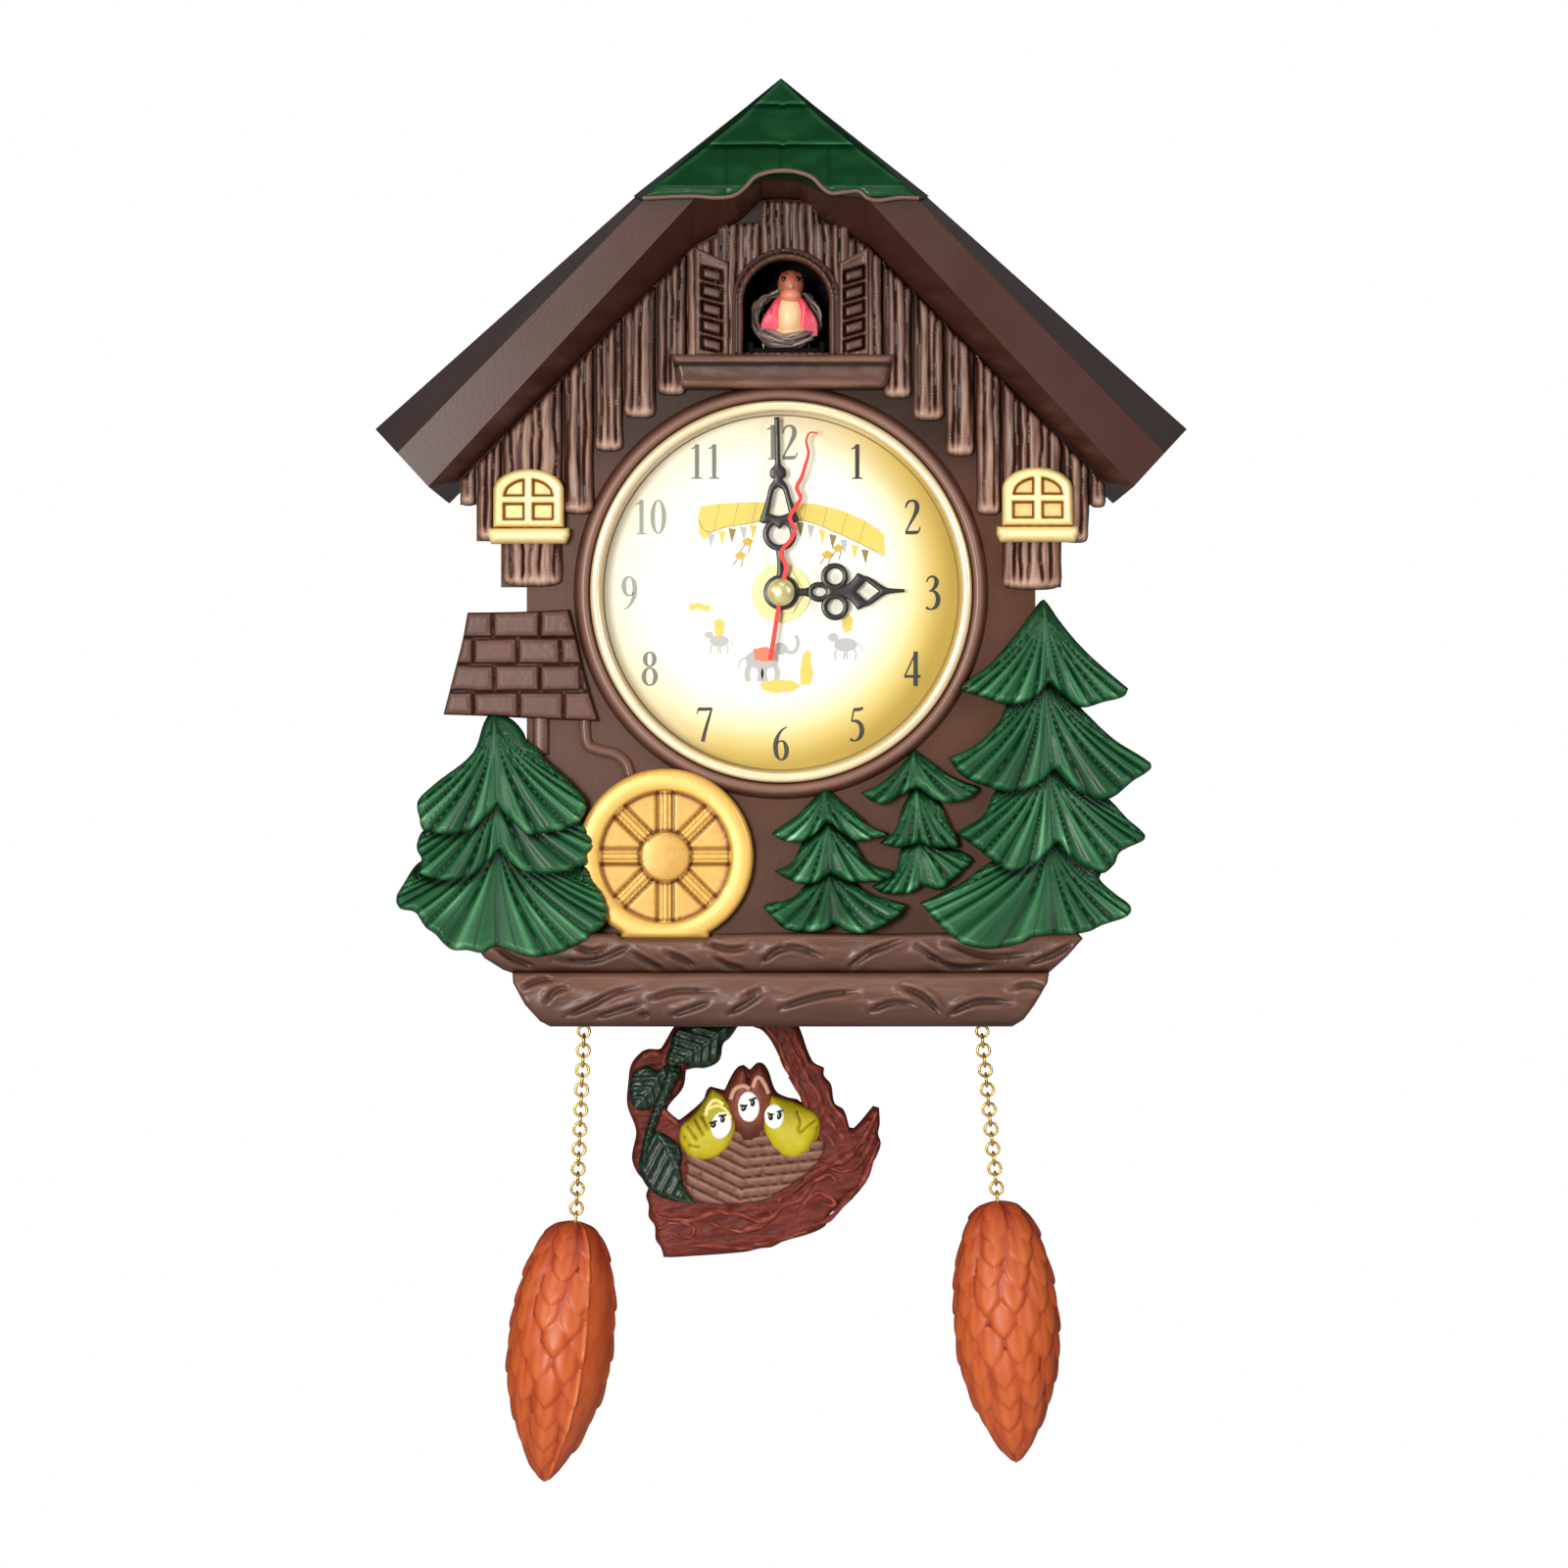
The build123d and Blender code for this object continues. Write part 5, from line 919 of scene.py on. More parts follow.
# chimney post and bent pipe
b = Build()
sweep(b, smooth_path([(-57.7, -46.4, -146.0), (-57.8, -46.4, -152.0), (-57.0, -46.4, -155.4), (-53.0, -46.4, -157.2), (-48.6, -46.4, -158.4),
                      (-46.0, -46.4, -160.6), (-44.6, -46.4, -164.5)], 8), 1.75, k=16, cav=0.6, ry=1.15)
post = [(-73.2, -146.0), (-73.2, -158.5), (-68.4, -158.5), (-68.4, -146.0)]
# darker rim round the post: painted shade
relief(b, post, lambda x, z, d: (-48.2 + 1.6 * (1 - rnd(d, 1.4)), 0.55 - 0.3 * (1 - rnd(d, 1.2))), -45.6, cell=0.9, r=1.4, smooth=False)
b.make("chimney_pipes", M["trim_brown"], slot="panel_brown", angle=50)

# ------------------------------------------------------------------ brick panel
ROWS = [(-116.0, -123.9, [-84.8, -71.0]), (-123.9, -131.8, [-90.5, -77.4, -64.9]), (-131.8, -139.8, [-84.3, -71.0, -58.8]), (-139.8, -149.5, [-90.6, -77.2, -64.0])]


def brick_fn(x, z, d):
    zz = z + 0.25 * fbm(x / 8.0, 1.0, 3)
    dm = np.full_like(x, 9.0)
    idx = np.zeros_like(x)
    for r, (z1, z0, xs) in enumerate(ROWS):
        m = (zz <= z1 + (5 if r == 0 else 0)) & (zz > z0)
        dd = np.minimum(np.abs(zz - z0) if r < 3 else 9.0 + 0 * zz, np.abs(z1 - zz) if r else 9.0 + 0 * zz)
        for k, xc in enumerate(xs):
            xx = x + 0.2 * fbm(z / 5.0, k, 7)
            dd = np.minimum(dd, np.abs(xx - xc))
            idx = np.where(m & (xx > xc), idx + 1.0, idx)
        dm = np.where(m, dd, dm)
        idx = np.where(m, idx + 10 * r, idx)
    e = rnd(np.maximum(np.minimum(dm, d + 0.2) - 0.35, 0), 1.5)
    tone = _hash(idx.astype(np.int64), (idx * 3).astype(np.int64), 12) - 0.5
    f = fbm(x * 0.9, z * 0.9, 15, 3)
    y = -49.4 - 1.75 * e - 0.04 * f * e - 0.25 * tone
    # dark joints and random brick tone, with a painted highlight along each brick's rounded shoulder
    cav = 0.52 - 0.46 * (1 - e) + 0.10 * tone + 0.06 * f + 0.30 * bell(e, 0.80, 0.13)
    return y + 2.2 * (1 - rnd(d, 1.1)), cav


b = Build()
relief(b, BRICK, brick_fn, -45.6, cell=0.5, r=1.1, sharp=25)
b.make("brick_panel_relief", M["brick_brown"], slot="brick_brown", angle=60, replaces=["brick_panel"])

# ------------------------------------------------------------------ gold windows
def gold_window(b, xc, zl, wdt, hgt):
    w = wdt / 2
    spring = zl + hgt - w * 0.62
    outl = [(xc - w, zl), (xc + w, zl)] + arc(xc, spring, w, 0, 180, 26, w * 0.62)
    iw = w - 2.9
    isp = zl + hgt - 2.9 - iw * 0.7
    zb, zm = zl + 2.0, zl + hgt * 0.47
    panes = []
    for s in (-1, 1):
        x0, x1 = sorted((xc + s * 1.1, xc + s * iw))
        panes.append([(x0, zb), (x1, zb), (x1, zm - 0.9), (x0, zm - 0.9)])
        top = [(xc + iw * s * t, isp + 0.7 * iw * math.sqrt(max(0, 1 - t * t))) for t in np.linspace(1.0, 1.1 / iw, 10)]
        p = [(xc + s * iw, zm + 0.9)] + top + [(xc + s * 1.1, zm + 0.9)]
        panes.append(p)
    PA, PB = seg_arrays([resample(p, 1.2) for p in panes])

    def fn(x, z, d):
        P = np.column_stack([x, z])
        dp = dist_to(P, PA, PB)
        ins = inside(P, PA, PB)
        sd = np.where(ins, dp, -dp)
        drop = 1.9 * sstep(-0.35, 0.55, sd)
        y = -53.4 + drop + 0.35 * (1 - rnd(np.where(ins, 9, dp), 0.9)) - 0.18 * bell(d, 1.3, 0.9)
        # darker band just inside each pane's edge is painted shade in the recess; the lighter band on the frame beside
        # it a painted highlight; the darker rim painted shade
        cav = 0.62 - 0.16 * ins - 0.62 * bell(sd, 0.35, 0.42) + 0.2 * bell(sd, -0.7, 0.5) - 0.25 * (1 - rnd(d, 0.8)) + 0.06 * fbm(x, z, 2)
        return y + 3.0 * (1 - rnd(d, 1.5)), cav
    relief(b, outl, fn, -48.6, cell=0.42, r=1.5, rings=(0.08, 0.25, 0.5, 0.8), smooth=False)
    sl = [(xc - w - 1.6, zl - 0.2), (xc - w - 1.7, zl - 2.4), (xc - w - 0.6, zl - 4.9), (xc + w + 0.6, zl - 4.9), (xc + w + 1.7, zl - 2.4), (xc + w + 1.6, zl - 0.2)]
    # the sill's lighter band is a painted highlight, its darker rim painted shade
    relief(b, sl, lambda x, z, d: (-54.8 + 5.0 * (1 - rnd(d, 2.2)), 0.66 + 0.15 * bell(z, zl - 2.0, 1.3) - 0.35 * (1 - rnd(d, 1.0))), -48.6, cell=0.6, r=2.2,
           rings=(0.06, 0.2, 0.45, 0.8), smooth=False)


for nm, xc, zl in (("window_left", -74.3, -91.5), ("window_right", 75.5, -91.0)):
    b = Build()
    gold_window(b, xc, zl, 20.8, 17.2)
    b.make(nm + "_relief", M["gold_pale"], slot="gold_pale", angle=50, replaces=[nm])

# ------------------------------------------------------------------ mill wheel
WX, WZ, WR = -34.1, -188.4, 26.0
foot = [(WX + WR * math.cos(math.radians(a)), WZ + WR * math.sin(math.radians(a))) for a in np.linspace(-60, 240, 84)]
foot += [(-47.4, -212.6), (-21.0, -212.6)]


def wheel_fn(x, z, d):
    dx, dz = x - WX, z - WZ
    r = np.hypot(dx, dz)
    a = np.degrees(np.arctan2(dz, dx))
    rim = sstep(18.9, 19.9, r)
    rimprof = 0.85 * np.sqrt(np.clip(1 - ((r - 22.6) / 3.9) ** 2, 0, 1))
    hub = 1 - sstep(6.9, 7.7, r)
    hubd = 0.8 * np.sqrt(np.clip(1 - (r / 8.4) ** 2, 0, 1))
    ang = np.radians((a + 22.5) % 45 - 22.5)
    off = np.abs(r * np.sin(ang))
    spoke = (1 - sstep(1.6, 2.1, off)) * (r > 5)
    sgroove = bell(off, 2.35, 0.38) * (r > 7.6) * (r < 19.4)
    spoke = spoke * (r < 19.6) * (r > 7.4)
    scent = 0.45 * bell(off, 0, 1.0)
    mark = bell(off, 0.9, 0.25) * (r > 8) * (r < 18.6)
    h = np.zeros_like(r)
    h = np.maximum(h, spoke * (1.5 + scent - 0.25 * mark))
    h = np.maximum(h, rim * (2.7 + rimprof))
    h = np.maximum(h, hub * (2.5 + hubd))
    h = h - 0.35 * sgroove
    f = fbm(x * 0.8, z * 0.8, 5)
    hub_g = bell(r, 7.9, 0.45)
    rim_g = bell(r, 18.7, 0.5)
    # dark grooves round the hub, inside the rim, beside and along the spokes, and the darker outer edge, are painted
    # shade; the lighter rim crest a painted highlight
    cav = 0.36 + 0.16 * spoke + 0.20 * rim + 0.04 * hub - 0.32 * sgroove - 0.4 * hub_g - 0.34 * rim_g - 0.25 * mark + 0.05 * f
    cav = cav + 0.1 * bell(r, 22.6, 2.0) - 0.3 * (1 - rnd(d, 1.0))
    cav = cav + 0.08 * (1 - rim) * (1 - hub) * (1 - spoke)
    lowfoot = (z < WZ - 22.6)
    h = np.where(lowfoot & (r > 19), np.maximum(h, 3.3), h)
    return -48.6 - h + (2.2 + 0 * r) * (1 - rnd(d, 1.5)), cav


b = Build()
relief(b, foot, wheel_fn, -45.6, cell=0.46, r=1.5, rings=(0.08, 0.25, 0.5, 0.8), smooth=False)
b.make("mill_wheel_relief", M["gold_paint"], slot="gold_paint", angle=60, replaces=["mill_wheel"])

# ------------------------------------------------------------------ pines: overlapping tiers of puffy strands
def pine_tier(b, outl, xc0, xc1, y_top, y_bot, n, seed, lift, above=None):
    P = smooth_loop(outl, 75)
    zt, zb = P[:, 1].max(), P[:, 1].min()
    nxt = np.roll(P, -1, axis=0)
    zs = np.linspace(zt, zb, 80)
    xcl = xc0 + (xc1 - xc0) * (zt - zs) / (zt - zb)
    zv = zt + lift
    tab = {}
    for sd in (-1, 1):
        wide = np.zeros(80)
        for k in range(len(P)):
            x0, z0, x1, z1 = P[k][0], P[k][1], nxt[k][0], nxt[k][1]
            if abs(z1 - z0) < 1e-9:
                continue
            t = (zs - z0) / (z1 - z0)
            wide = np.where((t >= 0) & (t <= 1), np.maximum(wide, (x0 + t * (x1 - x0) - xcl) * sd), wide)
        kt = int(np.argmax(wide))
        kt = max(kt, 20)
        W, ztip = wide[kt], zs[kt]
        # the rim above the tip decides how strongly the strands curl outward
        q = slice(max(3, kt // 4), kt)
        lt = np.log(np.clip((zv - zs[q]) / (zv - ztip), 0.05, 0.999))
        lw = np.log(np.clip(wide[q] / W, 0.02, 1.0))
        pw = float(np.clip((lt * lw).sum() / (lt * lt).sum(), 1.15, 1.75))
        tab[sd] = (W, ztip, max(pw, 1.7))
    rs = np.random.RandomState(seed + 77)
    cuts = {sd: np.concatenate([[0], np.cumsum(1 + rs.uniform(-0.3, 0.3, 2 * n + 2))]) for sd in (-1, 1)}
    if above is not None:
        uA, uB = seg_arrays([resample(smooth_loop(above, 75), 1.0)])

    def fn(x, z, d):
        xc = np.interp(-z, -zs, xcl)
        dx = x - xc
        out_y = np.zeros_like(x)
        out_c = np.zeros_like(x)
        for sd in (-1, 1):
            W, ztip, pw = tab[sd]
            t = np.clip((zv - z) / (zv - ztip), 0.03, 3.0)
            grow = np.where(t < 1, t ** pw, 1 + pw * (t - 1) + 0.25 * (t - 1) ** 2)
            m = np.abs(dx) / (W * grow)
            down = np.clip((zt - z) / (zt - zb), 0, 1)
            wob = 0.10 * np.sin(2.2 * t + seed) + 0.05 * fbm(m * 3, t * 1.2, seed, 2)
            cu = cuts[sd] / cuts[sd][n]
            mm = np.clip(m + wob / n * sstep(0.0, 0.2, m), 0, cu[-1] - 1e-4)
            idx = np.clip(np.searchsorted(cu, mm, side="right") - 1, 0, len(cu) - 2)
            fr = np.clip((mm - cu[idx]) / (cu[idx + 1] - cu[idx]), 0, 1)
            wloc = W / n * grow
            amp = np.clip(wloc / 3.4, 0.10, 1.0)
            h1 = _hash(idx.astype(np.int64), np.full(idx.shape, 3 + sd, np.int64), seed + 1)
            h2 = _hash(idx.astype(np.int64), np.full(idx.shape, 7 + sd, np.int64), seed + 2)
            puff = np.sin(np.pi * np.clip(fr, 0, 1) ** (0.75 + 0.4 * h2)) ** 0.8
            gro = np.minimum(fr, 1 - fr) * wloc
            gd = np.exp(-(gro / 0.55) ** 2) * (0.5 + 0.6 * h1)
            rc = 0.68 + 0.12 * h2
            ridge = np.exp(-(((fr - rc) * wloc) / (0.08 * wloc + 0.16)) ** 2)
            fine = np.exp(-(((fr - 0.36 - 0.1 * h1) * wloc) / 0.28) ** 2) * sstep(1.4, 2.6, wloc)
            streak = fbm(mm * n * 2.2 + 7 * idx, t * 0.8, seed + 3, 2)
            patch = vnoise(m * 2.4 + seed, t * 2.0, seed + 9)
            y = -(1.6 * amp * puff + 0.22 * amp * ridge - 0.20 * amp * fine + 0.06 * streak * amp)
            y = y - 1.1 * (1 - np.clip(m, 0, 1) ** 2)
            # paint values: dark grooves between strands and darker tier tops are painted shade; ridge lines and the
            # streaks along them are painted highlights
            c = 0.42 + 0.08 * puff - 0.32 * gd * np.clip(amp * 1.4, 0.25, 1) - 0.12 * fine
            c = c + 0.34 * ridge * (0.15 + 0.85 * patch) * np.clip(amp * 1.5, 0.2, 1)
            c = c + 0.10 * streak + 0.26 * (patch - 0.45) * down - 0.20 * sstep(0.35, 0.0, down)
            w_ = (dx < 0) if sd < 0 else (dx >= 0)
            out_y = np.where(w_, y, out_y)
            out_c = np.where(w_, c, out_c)
        t = np.clip((zt - z) / (zt - zb), 0, 1)
        spine = np.exp(-(dx / 0.6) ** 2) * sstep(0.9, 0.5, t)
        body = y_top + (y_bot - y_top) * t ** 0.8
        y = body + out_y - 0.5 * spine
        y = y + (1 - rnd(d, 2.1)) * 4.4
        # lighter raised spine and lighter band inside the rim are painted highlights; the darker rim painted shade
        cav = out_c + 0.20 * spine - 0.36 * (1 - rnd(d, 0.9)) + 0.10 * bell(d, 1.5, 0.6)
        # painted shadow under the lower edge of the tier above
        if above is not None:
            da = dist_to(np.column_stack([x, z]), uA, uB)
            cav = cav - 0.55 * np.exp(-(da / 1.15) ** 2)
        return y, cav
    relief(b, outl, fn, -45.6, cell=0.5, r=2.1, rings=(0.05, 0.16, 0.34, 0.6, 0.85), sharp=75)


def pine(name, tiers, fronts, centres, n, replaces, seed, tops, lift):
    b = Build()
    for i, (t, f) in enumerate(zip(tiers, fronts)):
        pine_tier(b, t, centres[i][0], centres[i][1], tops[i], f, n[i], seed + 3 * i, lift if i else 0.8, above=tiers[i - 1] if i else None)
    b.make(name, M["pine_green"], slot="pine_green", angle=65, replaces=[replaces])


pine("pine_right_large_relief", PINE_LARGE, (-54.8, -54.4, -54.0, -59.6), [(77.3, 78.8), (76.6, 80.6), (78.0, 81.2), (78.5, 80.5)],
     (5, 5, 5, 5), "pine_right_large", 5, (-51.2, -50.0, -49.6, -49.2), 3.5)
pine("pine_left_relief", PINE_LEFT, (-55.4, -54.8, -59.6), [(-84.4, -83.2), (-84.0, -82.8), (-83.4, -83.4)],
     (4, 4, 5), "pine_left", 15, (-51.0, -50.0, -49.4), 3.5)
pine("pine_small_left_relief", PINE_A, (-53.4, -52.8, -56.2), [(12.6, 14.0), (13.4, 14.8), (13.6, 15.4)],
     (3, 3, 4), "pine_small_left", 25, (-50.0, -49.2, -48.8), 2.5)
pine("pine_small_right_relief", PINE_B, (-52.8, -52.2, -51.8), [(38.6, 40.2), (39.6, 40.8), (40.2, 41.2)],
     (3, 3, 4), "pine_small_right", 35, (-49.6, -48.9, -48.5), 2.5)

# ------------------------------------------------------------------ log base
LOG_UP = [(-84.0, -209.6), (-88.6, -210.2), (-91.0, -212.9), (-87.0, -218.2), (-81.7, -221.6), (-79.0, -222.6), (78.6, -222.6), (84.0, -217.6),
          (88.6, -212.4), (86.6, -210.0), (70.0, -210.4), (30.0, -211.2), (0.0, -210.8), (-19.6, -211.2), (-21.4, -212.6), (-46.8, -212.6), (-48.6, -211.0),
          (-66.0, -210.4)]
LOG_LO = [(-78.9, -222.4), (-78.6, -225.4), (-75.1, -231.8), (-70.8, -236.6), (-67.8, -238.3), (67.9, -238.3), (71.2, -236.2), (74.4, -231.8),
          (78.2, -225.3), (78.7, -222.4)]


def grain_strokes(cr, items):
    ox, oy, s = cr
    out = []
    for st in items:
        pts = []
        for a, c in st:
            px, py = ox + a / s, oy + c / s
            pts.append((0.87 + (px - 800) * 0.289 * 0.995, -167.04 + (800 - py) * 0.289 * 0.995))
        out.append(smooth_path(pts, 7))
    return out


C16, C6 = (480, 940, 4.9), (760, 600, 3.409)
UP = grain_strokes(C16, [[(400,190),(640,190),(740,150),(800,120)], [(800,150),(900,210),(970,245)], [(980,155),(1060,190),(1130,230)], [(1220,180),(1290,220),(1380,240)],
                         [(1450,200),(1568,120)], [(130,130),(220,190),(330,230)], [(520,120),(600,150),(690,130)], [(1180,110),(1300,140),(1400,125)]])
UP += grain_strokes(C6, [[(60,1290),(150,1250),(280,1285)], [(360,1320),(430,1270),(560,1220)], [(600,1245),(700,1310),(900,1310)], [(700,1235),(840,1280),(1000,1270)],
                         [(980,1310),(1080,1270),(1150,1230)]])
LO = grain_strokes(C16, [[(380,400),(420,350),(500,330)], [(470,475),(600,420),(700,365),(860,325)], [(900,385),(1000,355),(1230,350)], [(1290,460),(1380,410),(1470,350)],
                         [(840,465),(900,465)], [(260,330),(330,300),(420,290)], [(1000,470),(1120,430),(1200,400)], [(620,480),(760,440),(860,410)]])
LO += grain_strokes(C6, [[(0,1420),(60,1395)], [(120,1460),(250,1420),(400,1400)], [(540,1385),(620,1420),(680,1480)], [(710,1480),(800,1440),(930,1440)],
                         [(430,1470),(520,1440),(600,1450)], [(930,1390),(990,1380),(1060,1400)]])


def stroke_field(P, strokes):
    """Distance to the nearest stroke, how far along it, and which side."""
    best = np.full(len(P), 99.0)
    along = np.zeros(len(P))
    for st in strokes:
        A, B = st[:-1], st[1:]
        n = len(A)
        ab = B - A
        ll = np.maximum((ab ** 2).sum(1), 1e-9)
        lo, hi = st.min(0) - 4, st.max(0) + 4
        m = (P[:, 0] > lo[0]) & (P[:, 0] < hi[0]) & (P[:, 1] > lo[1]) & (P[:, 1] < hi[1])
        if not m.any():
            continue
        q = P[m][:, None, :] - A[None]
        t = np.clip((q * ab[None]).sum(2) / ll[None], 0, 1)
        dd = np.sqrt(((q - t[..., None] * ab[None]) ** 2).sum(2))
        k = dd.argmin(1)
        dmin = dd[np.arange(len(k)), k]
        al = (k + t[np.arange(len(k)), k]) / n
        idx = np.where(m)[0]
        better = dmin < best[idx]
        best[idx[better]] = dmin[better]
        along[idx[better]] = al[better]
    return best, along


def log_fn(zmid, half, front, bulge, strokes, seed):
    def fn(x, z, d):
        t = np.clip((z - zmid) / half, -1, 1)
        prof = np.sqrt(np.clip(1 - (t * 0.93) ** 2, 0, 1))
        P = np.column_stack([x, z])
        ds, al = stroke_field(P, strokes)
        wid = 0.50 + 0.55 * np.sin(np.pi * np.clip(al, 0, 1))
        taper = np.clip(np.sin(np.pi * np.clip(al * 0.92 + 0.06, 0, 1)) * 1.6, 0, 1)
        g = np.exp(-(ds / wid) ** 2) * taper
        shoulder = np.exp(-((ds - 1.6) / 0.75) ** 2) * taper
        f = fbm(x / 16.0, z / 2.2, seed, 4)
        f2 = fbm(x / 5.0, z / 0.9, seed + 5, 2)
        y = front + bulge * (1 - prof) + 0.95 * g - 0.40 * shoulder - 0.32 * f - 0.06 * f2
        y = y + 1.6 * (1 - rnd(d, 1.4))
        # upper half and crown of each log lighter: painted light from above; darker grooves and rim are painted shade,
        # the lighter shoulders beside the grooves painted highlights
        cav = 0.46 + 0.20 * t + 0.10 * prof - 0.38 * g + 0.15 * shoulder + 0.12 * f + 0.03 * f2 - 0.30 * (1 - rnd(d, 1.2))
        return y, cav
    return fn


b = Build()
relief(b, LOG_UP, log_fn(-215.2, 7.4, -57.2, 4.6, UP, 3), -45.8, cell=0.62, r=1.6, rings=(0.1, 0.3, 0.6, 0.9), smooth=False)
relief(b, LOG_LO, log_fn(-230.0, 8.4, -58.6, 4.8, LO, 8), -50.2, cell=0.62, r=1.6, rings=(0.1, 0.3, 0.6, 0.9), smooth=False)
b.make("log_base_relief", M["log_brown"], slot="log_brown", angle=60)
back_log = cut_copy("log_base", "log_base_trough", -50.4, "log_brown")
for v in back_log.data.vertices:
    if v.co.z > -0.2128:
        v.co.z = -0.2128 + (v.co.z + 0.2128) * 0.12
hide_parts("log_base")

# ------------------------------------------------------------------ dial
def dial_colour(N, Lk, mp, col):
    """Printed face: white centre, cream, golden at the rim, with a painted lens glare that pales the upper left, so the
    gold is strongest low and to the right.
    """
    sep = N.new("ShaderNodeSeparateXYZ")
    tc = N.new("ShaderNodeTexCoord")
    Lk.new(tc.outputs["Object"], sep.inputs[0])

    def math_(op, a, b_=None, c=None):
        n = N.new("ShaderNodeMath")
        n.operation = op
        for i, v in enumerate((a, b_, c)):
            if v is None:
                continue
            if isinstance(v, (int, float)):
                n.inputs[i].default_value = v
            else:
                Lk.new(v, n.inputs[i])
        return n.outputs[0]
    x = math_("MULTIPLY", sep.outputs[0], 1000 / 52.6)
    z = math_("MULTIPLY", math_("ADD", sep.outputs[2], 0.1104), 1000 / 52.6)
    # radius measured from a centre a little up and left: the pale centre spreads that way as painted glare
    dx = math_("ADD", x, 0.12)
    dz = math_("SUBTRACT", z, 0.10)
    r = math_("SQRT", math_("ADD", math_("MULTIPLY", dx, dx), math_("MULTIPLY", dz, dz)))
    ramp = N.new("ShaderNodeValToRGB")
    el = ramp.color_ramp.elements
    stops = [(0.0, (248, 248, 242)), (0.64, (247, 244, 230)), (0.76, (243, 233, 192)), (0.87, (226, 203, 126)), (0.95, (205, 177, 84)), (1.0, (190, 162, 66))]
    while len(el) < len(stops):
        el.new(0.5)
    for e, (p, c) in zip(el, stops):
        e.position = p
    for e, (p, c) in zip(el, stops):
        e.position, e.color = p, lin(c)
    rr = math_("MULTIPLY", r, 0.93)
    Lk.new(rr, ramp.inputs[0])
    # the upper left rim is paled by a painted lens glare
    k = math_("SUBTRACT", math_("MULTIPLY", z, 0.5), math_("MULTIPLY", x, 0.86))
    mrn = N.new("ShaderNodeMapRange")
    mrn.inputs["From Min"].default_value = -0.15
    mrn.inputs["From Max"].default_value = 0.75
    mrn.inputs["To Max"].default_value = 0.88
    Lk.new(k, mrn.inputs["Value"])
    mix = N.new("ShaderNodeMix")
    mix.data_type = "RGBA"
    Lk.new(mrn.outputs[0], mix.inputs["Factor"])
    Lk.new(ramp.outputs[0], mix.inputs["A"])
    mix.inputs["B"].default_value = lin((250, 244, 224))
    mul = N.new("ShaderNodeMix")
    mul.data_type = "RGBA"
    mul.blend_type = "MULTIPLY"
    mul.inputs["Factor"].default_value = 0.35
    Lk.new(mix.outputs["Result"], mul.inputs["A"])
    Lk.new(col, mul.inputs["B"])
    return mul.outputs["Result"]


M["dial_print"] = material("dial_print", [(0.2, (236, 234, 228)), (0.5, (248, 247, 244)), (0.9, (255, 255, 255))], rough=(0.5, 0.62), mott=0.2, cavity=False, bump=0.05, extra=dial_colour)
b = Build()
revolve(b, [(4.95, -37.2), (4.95, -38.0), (20, -38.0), (40, -38.0), (55.0, -38.0), (55.4, -37.9), (55.4, -37.2), (30, -37.2)], 0, DIAL_Z, n=120)
b.make("dial_face", M["dial_print"], slot="dial_print", angle=40, replaces=["dial_plate"])

# printed numerals as thin raised ink
def ink(name, c, r=(0.4, 0.5)):
    return material(name, [(0.2, tuple(max(0, v - 10) for v in c)), (0.5, c), (0.9, tuple(min(255, v + 12) for v in c))], rough=r, mott=0.12, mscale=160, bump=0.04)


M["ink_black"] = ink("ink_black", (30, 28, 22))
M["ink_grey"] = ink("ink_grey", (112, 112, 104))
M["ink_fade"] = ink("ink_fade", (150, 148, 136))
M["ink_olive"] = ink("ink_olive", (132, 112, 58))
M["ink_yellow"] = ink("ink_yellow", (216, 192, 88))
M["ink_gold"] = ink("ink_gold", (200, 166, 60))
M["ink_stone"] = ink("ink_stone", (176, 176, 174))
M["ink_coral"] = ink("ink_coral", (222, 118, 84))
TK, TN = 0.135, 0.042


def loop_pts(cx, cz, rx, rz, n=22, a0=90, sweep_=360, slant=0.0):
    pts, w = [], []
    for i in range(n + 1):
        a = math.radians(a0 + sweep_ * i / n)
        pts.append((cx + rx * math.cos(a) + slant * math.sin(a) * rz, cz + rz * math.sin(a)))
        w.append(TN + (TK - TN) * abs(math.cos(a)) ** 1.6)
    return pts, w


